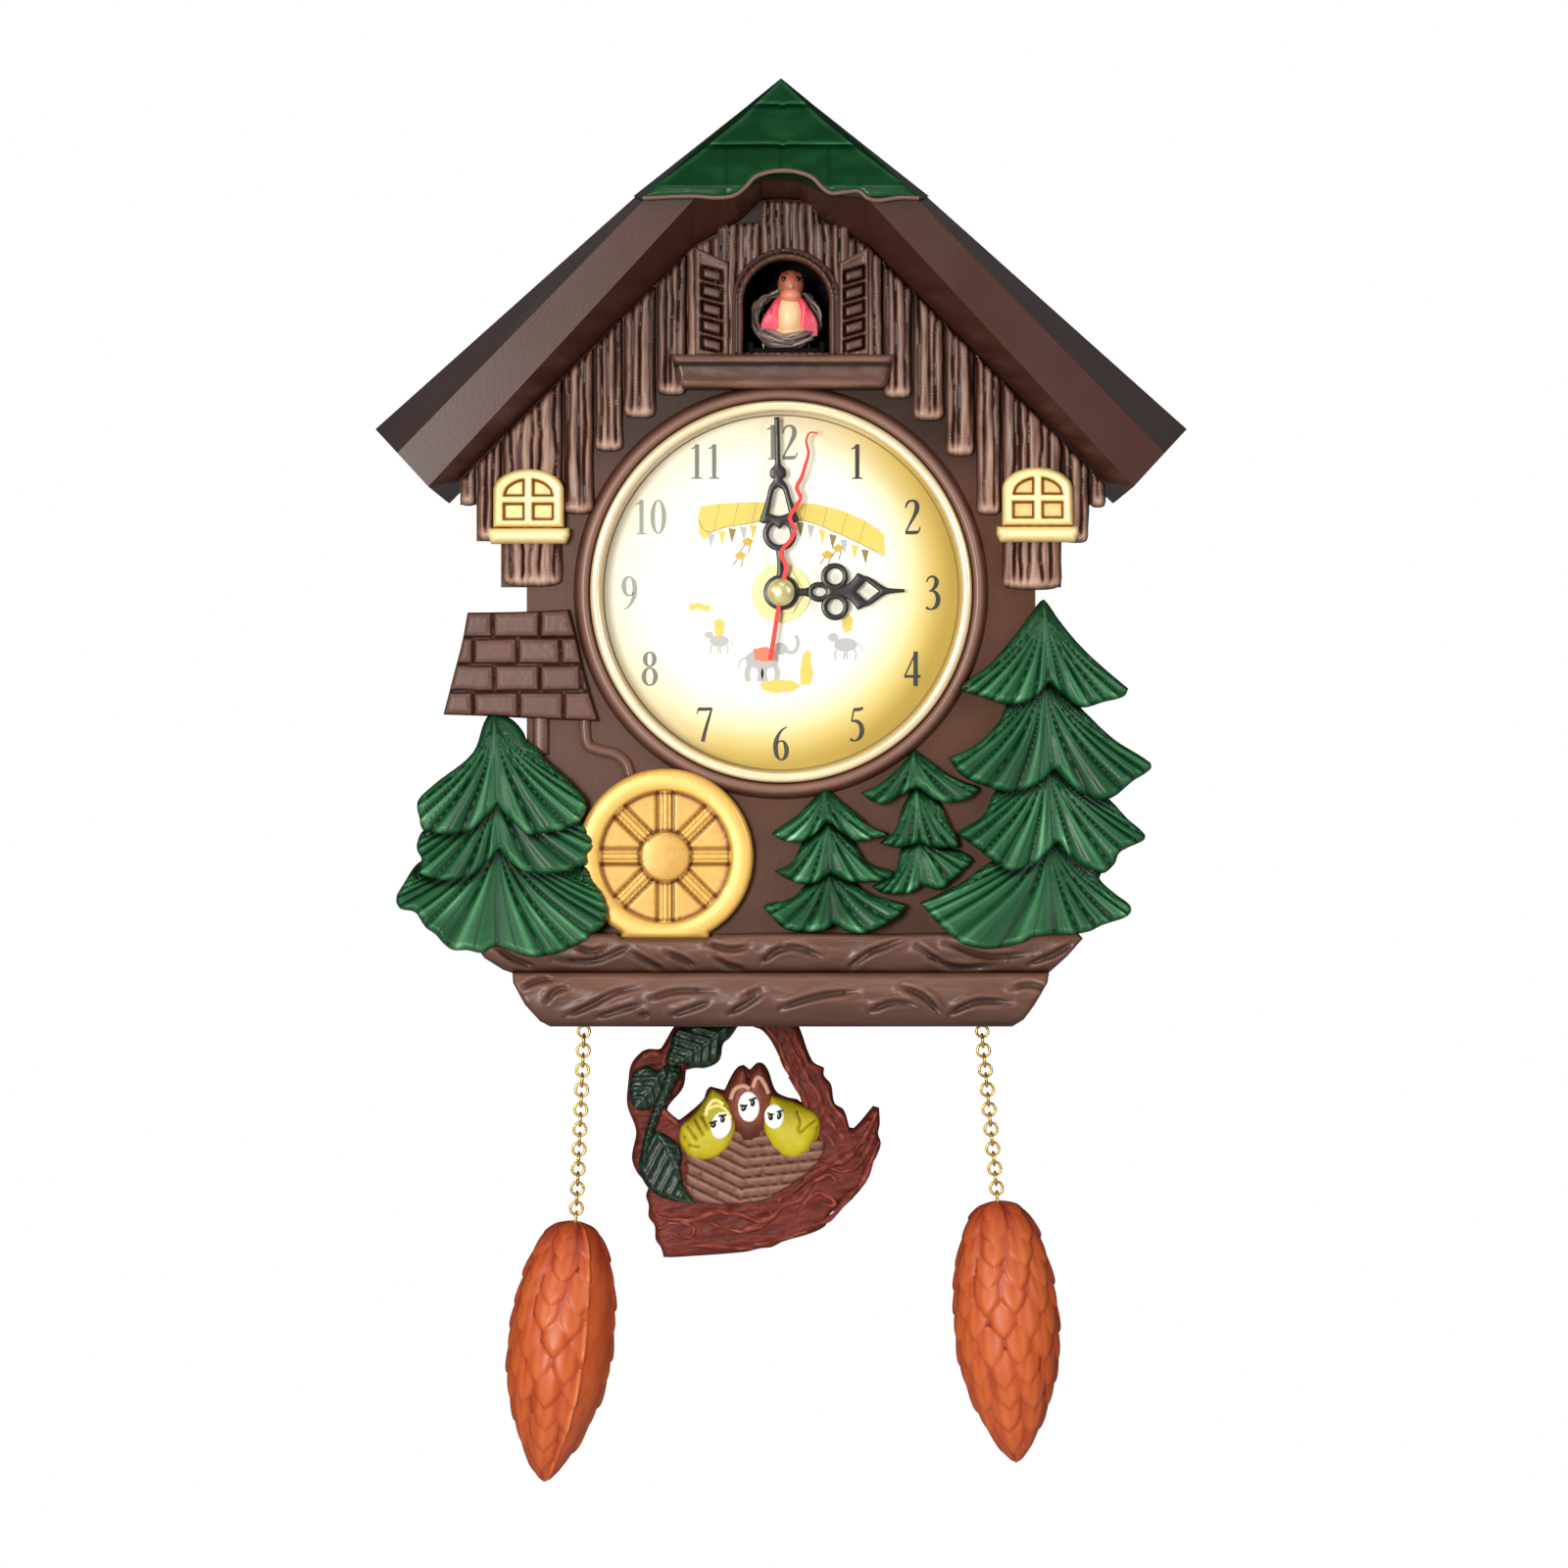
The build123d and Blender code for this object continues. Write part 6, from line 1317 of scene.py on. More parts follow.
DIGITS = {
    "0": [loop_pts(0.25, 0.5, 0.165, 0.47)],
    "1": [([(0.26, 0.0), (0.26, 0.5), (0.26, 0.985)], [TK * 0.92] * 3), ([(0.10, 0.018), (0.26, 0.026), (0.42, 0.018)], [0.03, 0.055, 0.03]),
          ([(0.09, 0.855), (0.18, 0.89), (0.27, 0.965)], [0.03, 0.05, 0.07])],
    "2": [([(0.055, 0.745), (0.085, 0.865), (0.155, 0.94), (0.245, 0.965), (0.335, 0.93), (0.385, 0.82), (0.37, 0.68), (0.30, 0.52), (0.18, 0.30), (0.06, 0.075)],
           [0.035, 0.06, 0.07, 0.06, 0.10, TK, TK, 0.10, 0.065, 0.045]), ([(0.045, 0.052), (0.24, 0.052), (0.40, 0.06)], [0.10, 0.105, 0.10]),
          ([(0.40, 0.05), (0.445, 0.12), (0.47, 0.215)], [0.06, 0.045, 0.03])],
    "3": [([(0.07, 0.80), (0.115, 0.90), (0.185, 0.955), (0.27, 0.955), (0.345, 0.89), (0.36, 0.78), (0.315, 0.665), (0.22, 0.575), (0.15, 0.545)],
           [0.035, 0.05, 0.055, 0.07, 0.11, TK, 0.11, 0.06, 0.04]),
          ([(0.15, 0.548), (0.25, 0.55), (0.345, 0.49), (0.40, 0.375), (0.395, 0.22), (0.32, 0.085), (0.20, 0.03), (0.11, 0.045), (0.06, 0.085)],
           [0.04, 0.06, 0.10, TK, TK, 0.10, 0.05, 0.07, 0.09])],
    "4": [([(0.35, 0.97), (0.19, 0.63), (0.035, 0.30)], [0.055, 0.045, 0.045]), ([(0.015, 0.275), (0.25, 0.275), (0.485, 0.275)], [0.085] * 3),
          ([(0.345, 0.0), (0.345, 0.5), (0.345, 0.985)], [TK * 0.95] * 3)],
    "5": [([(0.17, 0.915), (0.30, 0.915), (0.43, 0.955)], [0.10, 0.10, 0.075]), ([(0.165, 0.93), (0.13, 0.75), (0.095, 0.58)], [0.05, 0.045, 0.045]),
          ([(0.095, 0.575), (0.20, 0.59), (0.31, 0.54), (0.385, 0.42), (0.39, 0.25), (0.32, 0.10), (0.20, 0.03), (0.11, 0.04), (0.06, 0.075)],
           [0.04, 0.08, 0.11, TK, TK, 0.10, 0.05, 0.07, 0.09])],
    "6": [([(0.42, 0.965), (0.30, 0.90), (0.18, 0.75), (0.105, 0.55), (0.095, 0.32), (0.145, 0.12), (0.25, 0.03), (0.355, 0.09), (0.41, 0.26), (0.385, 0.44), (0.30, 0.56),
            (0.205, 0.555), (0.125, 0.48)], [0.03, 0.055, 0.09, TK, TK, 0.10, 0.045, 0.10, TK, 0.12, 0.06, 0.045, 0.035])],
    "7": [([(0.05, 0.925), (0.25, 0.925), (0.45, 0.935)], [0.10, 0.10, 0.09]), ([(0.05, 0.94), (0.03, 0.86), (0.015, 0.785)], [0.05, 0.035, 0.03]),
          ([(0.445, 0.955), (0.36, 0.68), (0.27, 0.38), (0.175, 0.0)], [0.05, 0.075, 0.095, 0.115])],
    "8": [loop_pts(0.25, 0.765, 0.135, 0.20), loop_pts(0.25, 0.27, 0.17, 0.245)],
}
six = DIGITS["6"][0]
DIGITS["9"] = [([(0.50 - x, 0.985 - z) for x, z in six[0]], six[1])]
RADII = {12: 45.6, 1: 44.8, 2: 44.8, 3: 44.5, 4: 44.8, 5: 44.8, 6: 42.2, 7: 44.6, 8: 45.2, 9: 45.6, 10: 46.0, 11: 45.4}
H = 10.4
groups = {"ink_black": Build(), "ink_grey": Build(), "ink_fade": Build()}
for hour in range(1, 13):
    txt = str(hour)
    a = math.radians(90 - 30 * hour)
    R = 44.9 if hour not in (12, 6) else 44.6
    cx, cz = R * math.cos(a), DIAL_Z + R * math.sin(a)
    adv = 0.50
    width = adv * len(txt) * H * 0.98
    # numerals at the top and on the left take grey and pale inks: painted lens glare over the black print
    key = "ink_black" if hour in (12, 1, 2, 3, 4, 5, 6, 7) else ("ink_grey" if hour in (8, 11) else "ink_fade")
    if hour == 12:
        key = "ink_grey"
    for i, ch in enumerate(txt):
        x0 = cx - width / 2 + i * adv * H * 0.98
        for k, (pts, ws) in enumerate(DIGITS[ch]):
            ribbon(groups[key], [(x0 + x * H * 0.98, cz - H / 2 + z * H) for x, z in pts], [w_ * H * 0.98 for w_ in ws],
                   -38.10 - 0.004 * k, -37.96, n=4)
for key, g in groups.items():
    g.make("numerals_" + key[4:], M[key], slot="dial_print", angle=30)


# printed picture on the dial: a striped awning with bunting above, simple animals below (plain generic shapes)
def DP(pts):
    return [(0.87 + (580 + a / 2.143 - 800) * 0.2902, -167.04 + (800 - 390 - c / 2.143) * 0.2902) for a, c in pts]


art = {"ink_yellow": Build(), "ink_gold": Build(), "ink_stone": Build(), "ink_coral": Build(), "ink_olive": Build()}


def inkshape(key, pts, k=0, cell=1.6):
    plate(art[key], DP(pts), -38.05 - 0.012 * k, -37.96, cell=cell, smooth=False)


def inkline(key, pts, wd=2.0, k=2):
    ribbon(art[key], DP(pts), [wd * 0.135] * len(pts), -38.05 - 0.012 * k, -37.96, n=5)


inkshape("ink_yellow", [(283, 292), (290, 272), (330, 265), (400, 262), (446, 263), (440, 298), (400, 308), (360, 314), (318, 326), (296, 346), (286, 330)])
inkshape("ink_yellow", [(478, 263), (540, 266), (600, 281), (650, 303), (690, 332), (693, 380), (668, 368), (630, 350), (585, 328), (530, 306), (482, 297)])
for a_, c_ in ((((330, 268), (318, 326)), 0), (((372, 264), (360, 314)), 0), (((412, 263), (402, 308)), 0), (((520, 266), (515, 300)), 0), (((566, 274), (556, 317)), 0),
               (((610, 287), (596, 333)), 0), (((650, 305), (634, 352)), 0)):
    inkline("ink_olive", list(a_), 0.9)
inkline("ink_olive", [(284, 300), (300, 326), (340, 318), (400, 308), (440, 299)], 1.5)
inkline("ink_olive", [(482, 298), (530, 307), (585, 329), (640, 354), (690, 381)], 1.5)
for i, (a_, c_) in enumerate(((312, 332), (335, 327), (358, 322), (382, 318), (404, 314), (506, 308), (530, 314), (554, 324), (578, 335), (602, 346), (626, 358), (648, 368))):
    inkshape(("ink_stone", "ink_yellow", "ink_olive")[i % 3], [(a_ - 8, c_ - 3), (a_ + 9, c_), (a_ - 1 + (i % 2) * 3, c_ + 30)], 1)


def creature(key, cx, cy, s, flip, legs=4, trunk=False, k=0):
    f = -1 if flip else 1
    B_ = [(cx + s * 32 * math.cos(math.radians(t)), cy + s * 19 * math.sin(math.radians(t))) for t in range(0, 360, 20)]
    inkshape(key, B_, k)
    hx, hy = cx + f * s * 34, cy - s * 20
    inkshape(key, [(hx + s * 15 * math.cos(math.radians(t)), hy + s * 12 * math.sin(math.radians(t))) for t in range(0, 360, 24)], k + 1)
    for i in range(legs):
        lx = cx - s * 24 + s * 48 * i / (legs - 1)
        sw = (5 if i % 2 else -5) * s
        inkline(key, [(lx, cy + s * 10), (lx + sw, cy + s * 26), (lx + sw * 0.4, cy + s * 42)], (11 if trunk else 5) * s, 2)
    if trunk:
        inkline(key, [(hx + f * 8 * s, hy + 4 * s), (hx + f * 26 * s, hy + 6 * s), (hx + f * 34 * s, hy - 12 * s), (hx + f * 30 * s, hy - 26 * s)], 7 * s, 2)
    else:
        inkline(key, [(cx + f * s * 22, cy - s * 8), (hx, hy)], 11 * s, 2)
    inkline(key, [(cx - f * s * 30, cy - s * 4), (cx - f * s * 42, cy + s * 4), (cx - f * s * 44, cy + s * 16)], 3.5 * s, 2)


creature("ink_stone", 424, 606, 1.15, False, trunk=True)
inkshape("ink_coral", [(404, 584), (432, 578), (452, 588), (450, 606), (430, 612), (408, 606)], 3)
inkshape("ink_yellow", [(418, 658), (450, 650), (490, 652), (508, 664), (492, 676), (450, 680), (424, 672)], 3)
inkshape("ink_yellow", [(512, 596), (522, 586), (532, 594), (530, 612), (536, 640), (528, 662), (508, 662), (506, 636)], 3)
creature("ink_stone", 606, 574, 0.8, True)
inkshape("ink_yellow", [(600, 514), (612, 506), (622, 516), (620, 542), (606, 548), (598, 536)], 3)
creature("ink_stone", 330, 566, 0.66, True)
inkshape("ink_yellow", [(318, 522), (332, 516), (342, 528), (338, 556), (322, 556)], 3)
inkshape("ink_yellow", [(264, 486), (286, 482), (312, 490), (308, 502), (284, 496), (266, 500)], 3)
for cx, cy in ((392, 352), (376, 382), (590, 366), (566, 380)):
    inkshape("ink_gold", [(cx - 13, cy - 4), (cx, cy - 13), (cx + 13, cy - 5), (cx + 6, cy + 5), (cx - 6, cy + 6)], 3)
    inkline("ink_olive", [(cx - 6, cy + 4), (cx - 16, cy + 18)], 2.4)
    inkline("ink_olive", [(cx + 6, cy + 4), (cx + 2, cy + 22)], 2.4)
for key, g in art.items():
    g.make("dial_art_" + key[4:], M[key], slot="dial_print", angle=30)

# thin printed minute ring near the rim
b = Build()
revolve(b, [(52.3, -37.96), (52.3, -38.08), (52.75, -38.08), (52.75, -37.96)], 0, DIAL_Z, n=120)
b.make("dial_rim_line", M["ink_olive"], slot="dial_print", angle=30)

# ------------------------------------------------------------------ bezel, lens
b = Build()
# lighter paint values over the rolled lip's crest: painted highlight
revolve(b, [(54.3, -38.0), (54.3, -48.4), (53.25, -48.55), (53.2, -49.2), (53.45, -49.75), (54.1, -50.15), (55.0, -50.2), (55.8, -49.9), (56.25, -49.2), (56.3, -48.0), (56.3, -38.0)],
        0, DIAL_Z, n=180, cav=[0.4, 0.4, 0.4, 0.5, 0.7, 0.9, 0.9, 0.7, 0.5, 0.4, 0.4])
b.make("dial_bezel_ring", M["bezel_gold"], slot="bezel_gold", angle=45, replaces=["dial_bezel"])

lens = bpy.data.materials.new("lens_clear")
lens.use_nodes = True
N, Lk = lens.node_tree.nodes, lens.node_tree.links
for n_ in list(N):
    N.remove(n_)
out_ = N.new("ShaderNodeOutputMaterial")
mixs = N.new("ShaderNodeMixShader")
trn = N.new("ShaderNodeBsdfTransparent")
gls = N.new("ShaderNodeBsdfGlossy")
trn.inputs[0].default_value = (0.985, 0.985, 0.98, 1)
gls.inputs[0].default_value = (1, 1, 1, 1)
mixs.inputs[0].default_value = 0.022
Lk.new(trn.outputs[0], mixs.inputs[1])
Lk.new(gls.outputs[0], mixs.inputs[2])
Lk.new(mixs.outputs[0], out_.inputs[0])
tcl = N.new("ShaderNodeTexCoord")
nl = N.new("ShaderNodeTexNoise")
nl.inputs["Scale"].default_value = 30
Lk.new(tcl.outputs["Object"], nl.inputs["Vector"])
rl = N.new("ShaderNodeMapRange")
rl.inputs["To Min"].default_value = 0.08
rl.inputs["To Max"].default_value = 0.2
Lk.new(nl.outputs["Fac"], rl.inputs["Value"])
Lk.new(rl.outputs[0], gls.inputs["Roughness"])
M["lens"] = lens
keep("dial_lens", "lens")

# ------------------------------------------------------------------ hands
def along(pts, degrees):
    a = math.radians(degrees)
    return [(x * math.cos(a) + z * math.sin(a), DIAL_Z - x * math.sin(a) + z * math.cos(a)) for x, z in pts]


def hand_piece(b, pts, deg, y0, th, holes=(), bev=0.28, cell=0.5, smooth=True, sharp=50, cav=0.5):
    def fn(x, z, d):
        # lighter rim along the bevelled edge: painted highlight
        return y0 - th * 0.45 - th * 0.55 * rnd(d, bev) - 0.10 * np.clip(d / 1.2, 0, 1), cav + 0.3 * (1 - rnd(d, 0.3))
    relief(b, along(pts, deg), fn, y0, holes=[along(h, deg) for h in holes], cell=cell, r=bev, rings=(0.3, 0.9), smooth=smooth, sharp=sharp)


def tube_y(b, r0, r1, ya, yb, mi=0, cav=0.5, n=40):
    revolve(b, [(r0, ya), (r1, ya), (r1, yb), (r0, yb)], 0, DIAL_Z, n=n, cav=cav, mi=mi)


MIN_A, HOUR_A, SEC_A = -1.4, 89.2, 11.0
b = Build()
y0 = -42.05
hand_piece(b, circle(0, 0, 5.2, 36), MIN_A, y0, 0.55, holes=[circle(0, 0, 1.0, 16)], cell=0.6)
hand_piece(b, [(-1.25, 4.4), (-0.95, 8.5), (-1.3, 13.0), (1.3, 13.0), (0.95, 8.5), (1.25, 4.4)], MIN_A, y0 - 0.01, 0.55)
hand_piece(b, circle(0, 17.2, 5.0, 36), MIN_A, y0 - 0.02, 0.55, holes=[circle(0, 17.2, 3.1, 26)], cell=0.6)
hand_piece(b, [(0, 18.6), (-2.6, 20.6), (-4.6, 20.4), (-5.9, 21.0), (-5.5, 22.4), (-4.7, 24.6), (-3.6, 28.2), (-2.7, 31.4), (-1.7, 32.8), (-1.3, 33.4), (-2.3, 34.2), (-2.5, 35.2), (-2.2, 36.4),
               (-1.1, 37.6), (-0.85, 39.0), (-0.8, 44.0), (-0.75, 51.8), (0.75, 51.8), (0.8, 44.0), (0.85, 39.0), (1.1, 37.6), (2.2, 36.4), (2.5, 35.2), (2.3, 34.2), (1.3, 33.4), (1.7, 32.8),
               (2.7, 31.4), (3.6, 28.2), (4.7, 24.6), (5.5, 22.4), (5.9, 21.0), (4.6, 20.4), (2.6, 20.6)], MIN_A, y0 - 0.03, 0.55,
           holes=[[(0, 22.6), (-2.9, 23.4), (-2.2, 26.6), (-1.2, 30.2), (0, 31.0), (1.2, 30.2), (2.2, 26.6), (2.9, 23.4)]], cell=0.45)
tube_y(b, 1.0, 2.4, -31.3, y0 - 0.1)
b.make("minute_hand_blade", M["hand_black"], body="minute", slot="hand_black", angle=45, replaces=["minute_hand"])

b = Build()
y0 = -40.75
hand_piece(b, circle(0, 0, 5.2, 36), HOUR_A, y0, 0.55, holes=[circle(0, 0, 2.45, 20)], cell=0.6)
hand_piece(b, [(-1.5, 4.2), (-1.1, 6.6), (-1.5, 8.4), (1.5, 8.4), (1.1, 6.6), (1.5, 4.2)], HOUR_A, y0 - 0.01, 0.55)
hand_piece(b, circle(0, 11.3, 3.0, 30, 3.5), HOUR_A, y0 - 0.02, 0.55, holes=[circle(0, 11.3, 1.3, 18, 1.9)], cell=0.5)
for s in (-1, 1):
    hand_piece(b, circle(s * 4.4, 15.9, 4.1, 32), HOUR_A, y0 - 0.03, 0.55, holes=[circle(s * 4.5, 16.0, 2.3, 22)], cell=0.5)
hand_piece(b, [(-1.5, 13.4), (-1.5, 17.6), (-2.3, 19.8), (-3.8, 21.4), (-5.5, 22.6), (-5.2, 23.5), (-4.7, 24.4), (-4.5, 25.4), (-3.5, 27.3), (-1.9, 29.6), (-0.95, 31.4), (-0.7, 33.5), (-0.5, 36.6),
               (0.5, 36.6), (0.7, 33.5), (0.95, 31.4), (1.9, 29.6), (3.5, 27.3), (4.5, 25.4), (4.7, 24.4), (5.2, 23.5), (5.5, 22.6), (3.8, 21.4), (2.3, 19.8), (1.5, 17.6), (1.5, 13.4)],
           HOUR_A, y0 - 0.04, 0.55, holes=[[(0, 22.2), (-2.9, 25.2), (0, 28.9), (2.9, 25.2)]], cell=0.45)
tube_y(b, 2.45, 3.0, -34.3, y0 - 0.1)
b.make("hour_hand_blade", M["hand_black"], body="hour", slot="hand_black", angle=45, replaces=["hour_hand"])


def PX(pts, y=-43.5):
    f = (2000 + (y + 46)) / 2000
    return [(0.87 + (a - 800) * 0.289 * f, -167.04 + (800 - c) * 0.289 * f) for a, c in pts]


b = Build()
ser = [(0.0, DIAL_Z)] + PX([(799, 594), (802, 577), (797, 565), (808, 549), (811, 540), (806, 529), (812, 517), (817, 508), (813, 498), (818, 487), (822, 474), (825, 463), (823, 448), (826, 442), (835, 442)])
ribbon(b, ser, [1.35] * 3 + [1.2] * 8 + [1.05, 0.9, 0.7, 0.6, 0.4], -43.82, -43.4, n=7)
ribbon(b, [(0.0, DIAL_Z)] + PX([(792, 635), (786, 674)]), [1.25, 1.35, 1.4], -43.83, -43.41, n=5)
tube_y(b, 0.5, 2.7, -43.4, -43.85)
tube_y(b, 0.3, 0.95, -28.3, -43.5)
b.make("second_hand_blade", M["hand_red"], body="second", slot="hand_red", angle=35, replaces=["second_hand"])
b = Build()
revolve(b, [(0.02, -46.35), (1.2, -46.25), (2.4, -45.95), (3.3, -45.4), (3.85, -44.7), (4.05, -44.0), (4.05, -43.8), (0.02, -43.8)], 0, DIAL_Z, n=48)
b.make("hand_cap_dome", M["brass_pale"], body="second", slot="brass", angle=50, replaces=["hand_cap"])

# ------------------------------------------------------------------ pine cones
def spline_rz(prof, n):
    p = smooth_path(prof, 14)
    L = np.concatenate([[0], np.cumsum(np.linalg.norm(np.diff(p, axis=0), axis=1))])
    s = np.linspace(0, L[-1], n)
    return np.interp(s, L, p[:, 0]), np.interp(s, L, p[:, 1]), s


def make_cone(name, body, nodes, qx, qz, lean, seed, seam, band_dir):
    prof = [(0, 0.0), (3.2, -0.4), (5.8, -1.4), (8.2, -3.8), (10.9, -9.0), (13.6, -18.0), (15.1, -28.0), (15.5, -38.0), (14.7, -48.0), (12.3, -57.0), (9.2, -65.0), (6.2, -71.2),
            (3.9, -75.2), (1.9, -77.3), (0, -77.9)]
    ns, nt = 236, 190
    R, Z, S = spline_rz(prof, ns)
    S = S[1:-1]
    R, Z = R[1:-1], Z[1:-1]
    th = np.arange(nt) * 2 * math.pi / nt
    SS, TH = np.meshgrid(S, th, indexing="ij")
    RR = R[:, None] + 0 * TH
    Stot = S[-1]
    p = 7.3
    H_ = np.zeros_like(SS)
    CV = np.full_like(SS, 0.12)
    rs = np.random.RandomState(seed)
    # rows from low to high: an upper scale lies over the lower one
    for k in range(int(Stot / p) + 1, -2, -1):
        st = k * p - 1.5
        rrow = float(np.interp(st + 6.0, S, R))
        n = max(5, int(round(2 * math.pi * rrow / 8.6)))
        off = 0.5 * (k % 2) + rs.uniform(-0.12, 0.12)
        ph = (TH / (2 * math.pi) * n + off) % n
        idx = np.floor(ph).astype(int)
        jit_s = rs.uniform(-0.9, 0.9, n + 1)[idx]
        jit_w = rs.uniform(-0.10, 0.10, n + 1)[idx]
        hj = rs.uniform(-0.15, 0.2, n + 1)[idx]
        u = 2 * (ph - idx) - 1 + jit_w
        L = 12.6
        v = (SS - st - jit_s) / L
        w = np.where(v < 0.45, 1.08, 1.08 * np.clip(1 - (np.clip(v - 0.45, 0, 1) / 0.55) ** 1.9, 0, 1))
        m = (v > 0) & (v < 1) & (np.abs(u) < w)
        edge = np.clip((w - np.abs(u)), 0, 1)
        e = rnd(edge, 0.72)
        h = 0.2 + (0.2 + 0.85 * np.clip(v, 0, 1) ** 1.1 + hj) * e + 0.34 * (1 - np.clip(u, -1, 1) ** 2) * np.clip(v * 1.6, 0, 1)
        # paint values: raised scale tips lighter, painted highlight; the gaps between scales keep the dark start value,
        # painted shade
        c = 0.24 + 0.28 * e + 0.14 * np.clip(v, 0, 1) - 0.08 * np.abs(u) + 0.10 * np.sin(9 * u + 3 * idx) * (1 - v)
        better = m & (h >= H_)
        H_ = np.where(better, h, H_)
        CV = np.where(better, c, CV)
    fade = np.clip(np.minimum(SS / 6.0, (Stot - SS) / 7.0), 0, 1)
    H_ = H_ * fade * np.clip(RR / 9.0, 0.35, 1.0)
    # moulding seam facing the front
    da = (TH - math.radians(seam) + math.pi) % (2 * math.pi) - math.pi
    band = sstep(0.0, 0.10, da * band_dir) * sstep(0.95, 0.75, da * band_dir) * abs(band_dir)
    H_ = H_ * (1 - 0.78 * band) + 0.25 * band
    CV = CV * (1 - 0.7 * band) + 0.7 * band * 0.44
    # sides turned away from the front darker: painted shade
    front = np.clip(-np.sin(TH), 0, 1)
    CV = CV - 0.20 * (1 - front) ** 2
    # the seam's raised line gets a lighter paint value, a painted highlight
    H_ = H_ + 0.55 * abs(band_dir) * np.exp(-(da * RR / 0.42) ** 2) * fade
    CV = CV + 0.16 * abs(band_dir) * np.exp(-(da * RR / 0.6) ** 2) + 0.05 * fbm(SS / 9, TH * 3, seed) + 0.0
    CV = CV - 0.30 * np.clip(1 - SS / 24.0, 0, 1) - 0.2 * np.clip(1 - (Stot - SS) / 14.0, 0, 1)
    rad = RR - 0.9 + H_
    a = math.radians(lean)
    zt = qz - 1.7

    def place(x, y, z):
        dx, dz = x, z - qz
        return (qx + dx * math.cos(a) + dz * math.sin(a), y, qz - dx * math.sin(a) + dz * math.cos(a))
    V, C = [], []
    V.append(place(0, -40.0, zt - 0.1))
    C.append(0.25)
    for i in range(len(S)):
        for j in range(nt):
            V.append(place(rad[i, j] * math.cos(th[j]), -40.0 + rad[i, j] * math.sin(th[j]), zt + Z[i]))
            C.append(CV[i, j])
    V.append(place(0, -40.0, zt + Z[-1] - 0.1))
    C.append(0.4)
    F = []
    for j in range(nt):
        j2 = (j + 1) % nt
        F.append((0, 1 + j, 1 + j2))
        F.append((len(V) - 1, 1 + (len(S) - 1) * nt + j2, 1 + (len(S) - 1) * nt + j))
    for i in range(len(S) - 1):
        for j in range(nt):
            j2 = (j + 1) % nt
            F.append((1 + i * nt + j, 1 + (i + 1) * nt + j, 1 + (i + 1) * nt + j2, 1 + i * nt + j2))
    b = Build()
    b.add(V, F, C)
    o = b.make(name, M["cone_paint"], body=body, slot="cone_paint", angle=75, replaces=nodes)
    me = o.data
    bm = bmesh.new()
    bm.from_mesh(me)
    bmesh.ops.recalc_face_normals(bm, faces=bm.faces[:])
    bm.to_mesh(me)
    bm.free()
    return o


make_cone("cone_left_body", "cone_l", ["cone_left_outer", "cone_left_inner"], -60.593, -294.41, 6.9, 4, -62, 1)
make_cone("cone_right_body", "cone_r", ["cone_right_inner", "cone_right_outer"], 63.897, -288.413, -4.1, 9, -122, 0)

# ------------------------------------------------------------------ pendulum bob: birds in a basket on a bark log
def K(pts):
    return [(-63.66 + 0.067342 * a, -234.51 - 0.067342 * c) for a, c in pts]


def K3(pts, y):
    return [(-63.66 + 0.067342 * a, y, -234.51 - 0.067342 * c) for a, c in pts]


b = Build()
BARK, WEAVE, LEAF, YEL, RED, WHT, BLK = range(7)


def bob_fn(x, z, d):
    # grain follows the log at the bottom and the branch on the right
    right = sstep(-6, 8, x) * sstep(-275, -262, z)
    a1 = math.radians(8)
    u = (x * math.cos(a1) + z * math.sin(a1)) * (1 - right) + right * (0.45 * x - 0.9 * z)
    v = (-x * math.sin(a1) + z * math.cos(a1)) * (1 - right) + right * (0.9 * x + 0.45 * z)
    f = fbm(u / 9.0, v / 1.7 + 0.5 * fbm(u / 6.0, v / 5.0, 4), 13, 4)
    rg = 1 - np.abs(f) * 2.2
    h = 0.45 * np.clip(rg, -1, 1)
    # raised grain lighter, painted highlight; rim darker, painted shade
    return -15.6 - h * rnd(d, 1.2) - 0.9 * rnd(d, 2.4) + 2.6 * (1 - rnd(d, 1.6)), 0.36 + 0.13 * np.clip(rg, -1, 1) + 0.12 * fbm(x / 5, z / 5, 3) - 0.36 * (1 - rnd(d, 1.2))


relief(b, BOB_OUTER, bob_fn, -10.0, holes=[BOB_INNER], cell=0.55, r=1.6, rings=(0.08, 0.25, 0.5, 0.8), mi=BARK, sharp=58)

# weave of the basket
weave = K([(505, 590), (525, 690), (520, 780), (560, 850), (700, 868), (860, 852), (960, 800), (1070, 722), (1135, 645), (1140, 585), (1000, 540), (800, 520), (600, 545)])


def weave_fn(x, z, d):
    cx = -11.0
    left = x < cx + 0.1 * (z + 285)
    a = np.where(left, np.radians(-26), np.radians(6))
    v = -x * np.sin(a) + z * np.cos(a)
    u = x * np.cos(a) + z * np.sin(a)
    row = v / 3.0
    ri = np.floor(row)
    fr = row - ri
    uu = u / 11.0 + 0.5 * (ri % 2) + 0.2 * _hash(ri.astype(np.int64), 3, 4)
    fu = uu - np.floor(uu)
    e = rnd(np.minimum(fr, 1 - fr) * 3.0, 0.75) * (0.62 + 0.38 * rnd(np.minimum(fu, 1 - fu) * 11.0, 1.0))
    h = 1.25 * e + 0.3 * np.sin(fu * np.pi)
    rim = bell(fr, 0.72, 0.16)
    # raised strip crowns and the band near each strip's edge lighter: painted highlights; darker rim: painted shade
    return -16.9 - h + 2.2 * (1 - rnd(d, 1.2)), 0.32 + 0.26 * e + 0.22 * rim * e + 0.1 * fbm(x, z, 4) - 0.3 * (1 - rnd(d, 0.9))


relief(b, weave, weave_fn, -12.0, cell=0.42, r=1.2, mi=WEAVE, sharp=70)

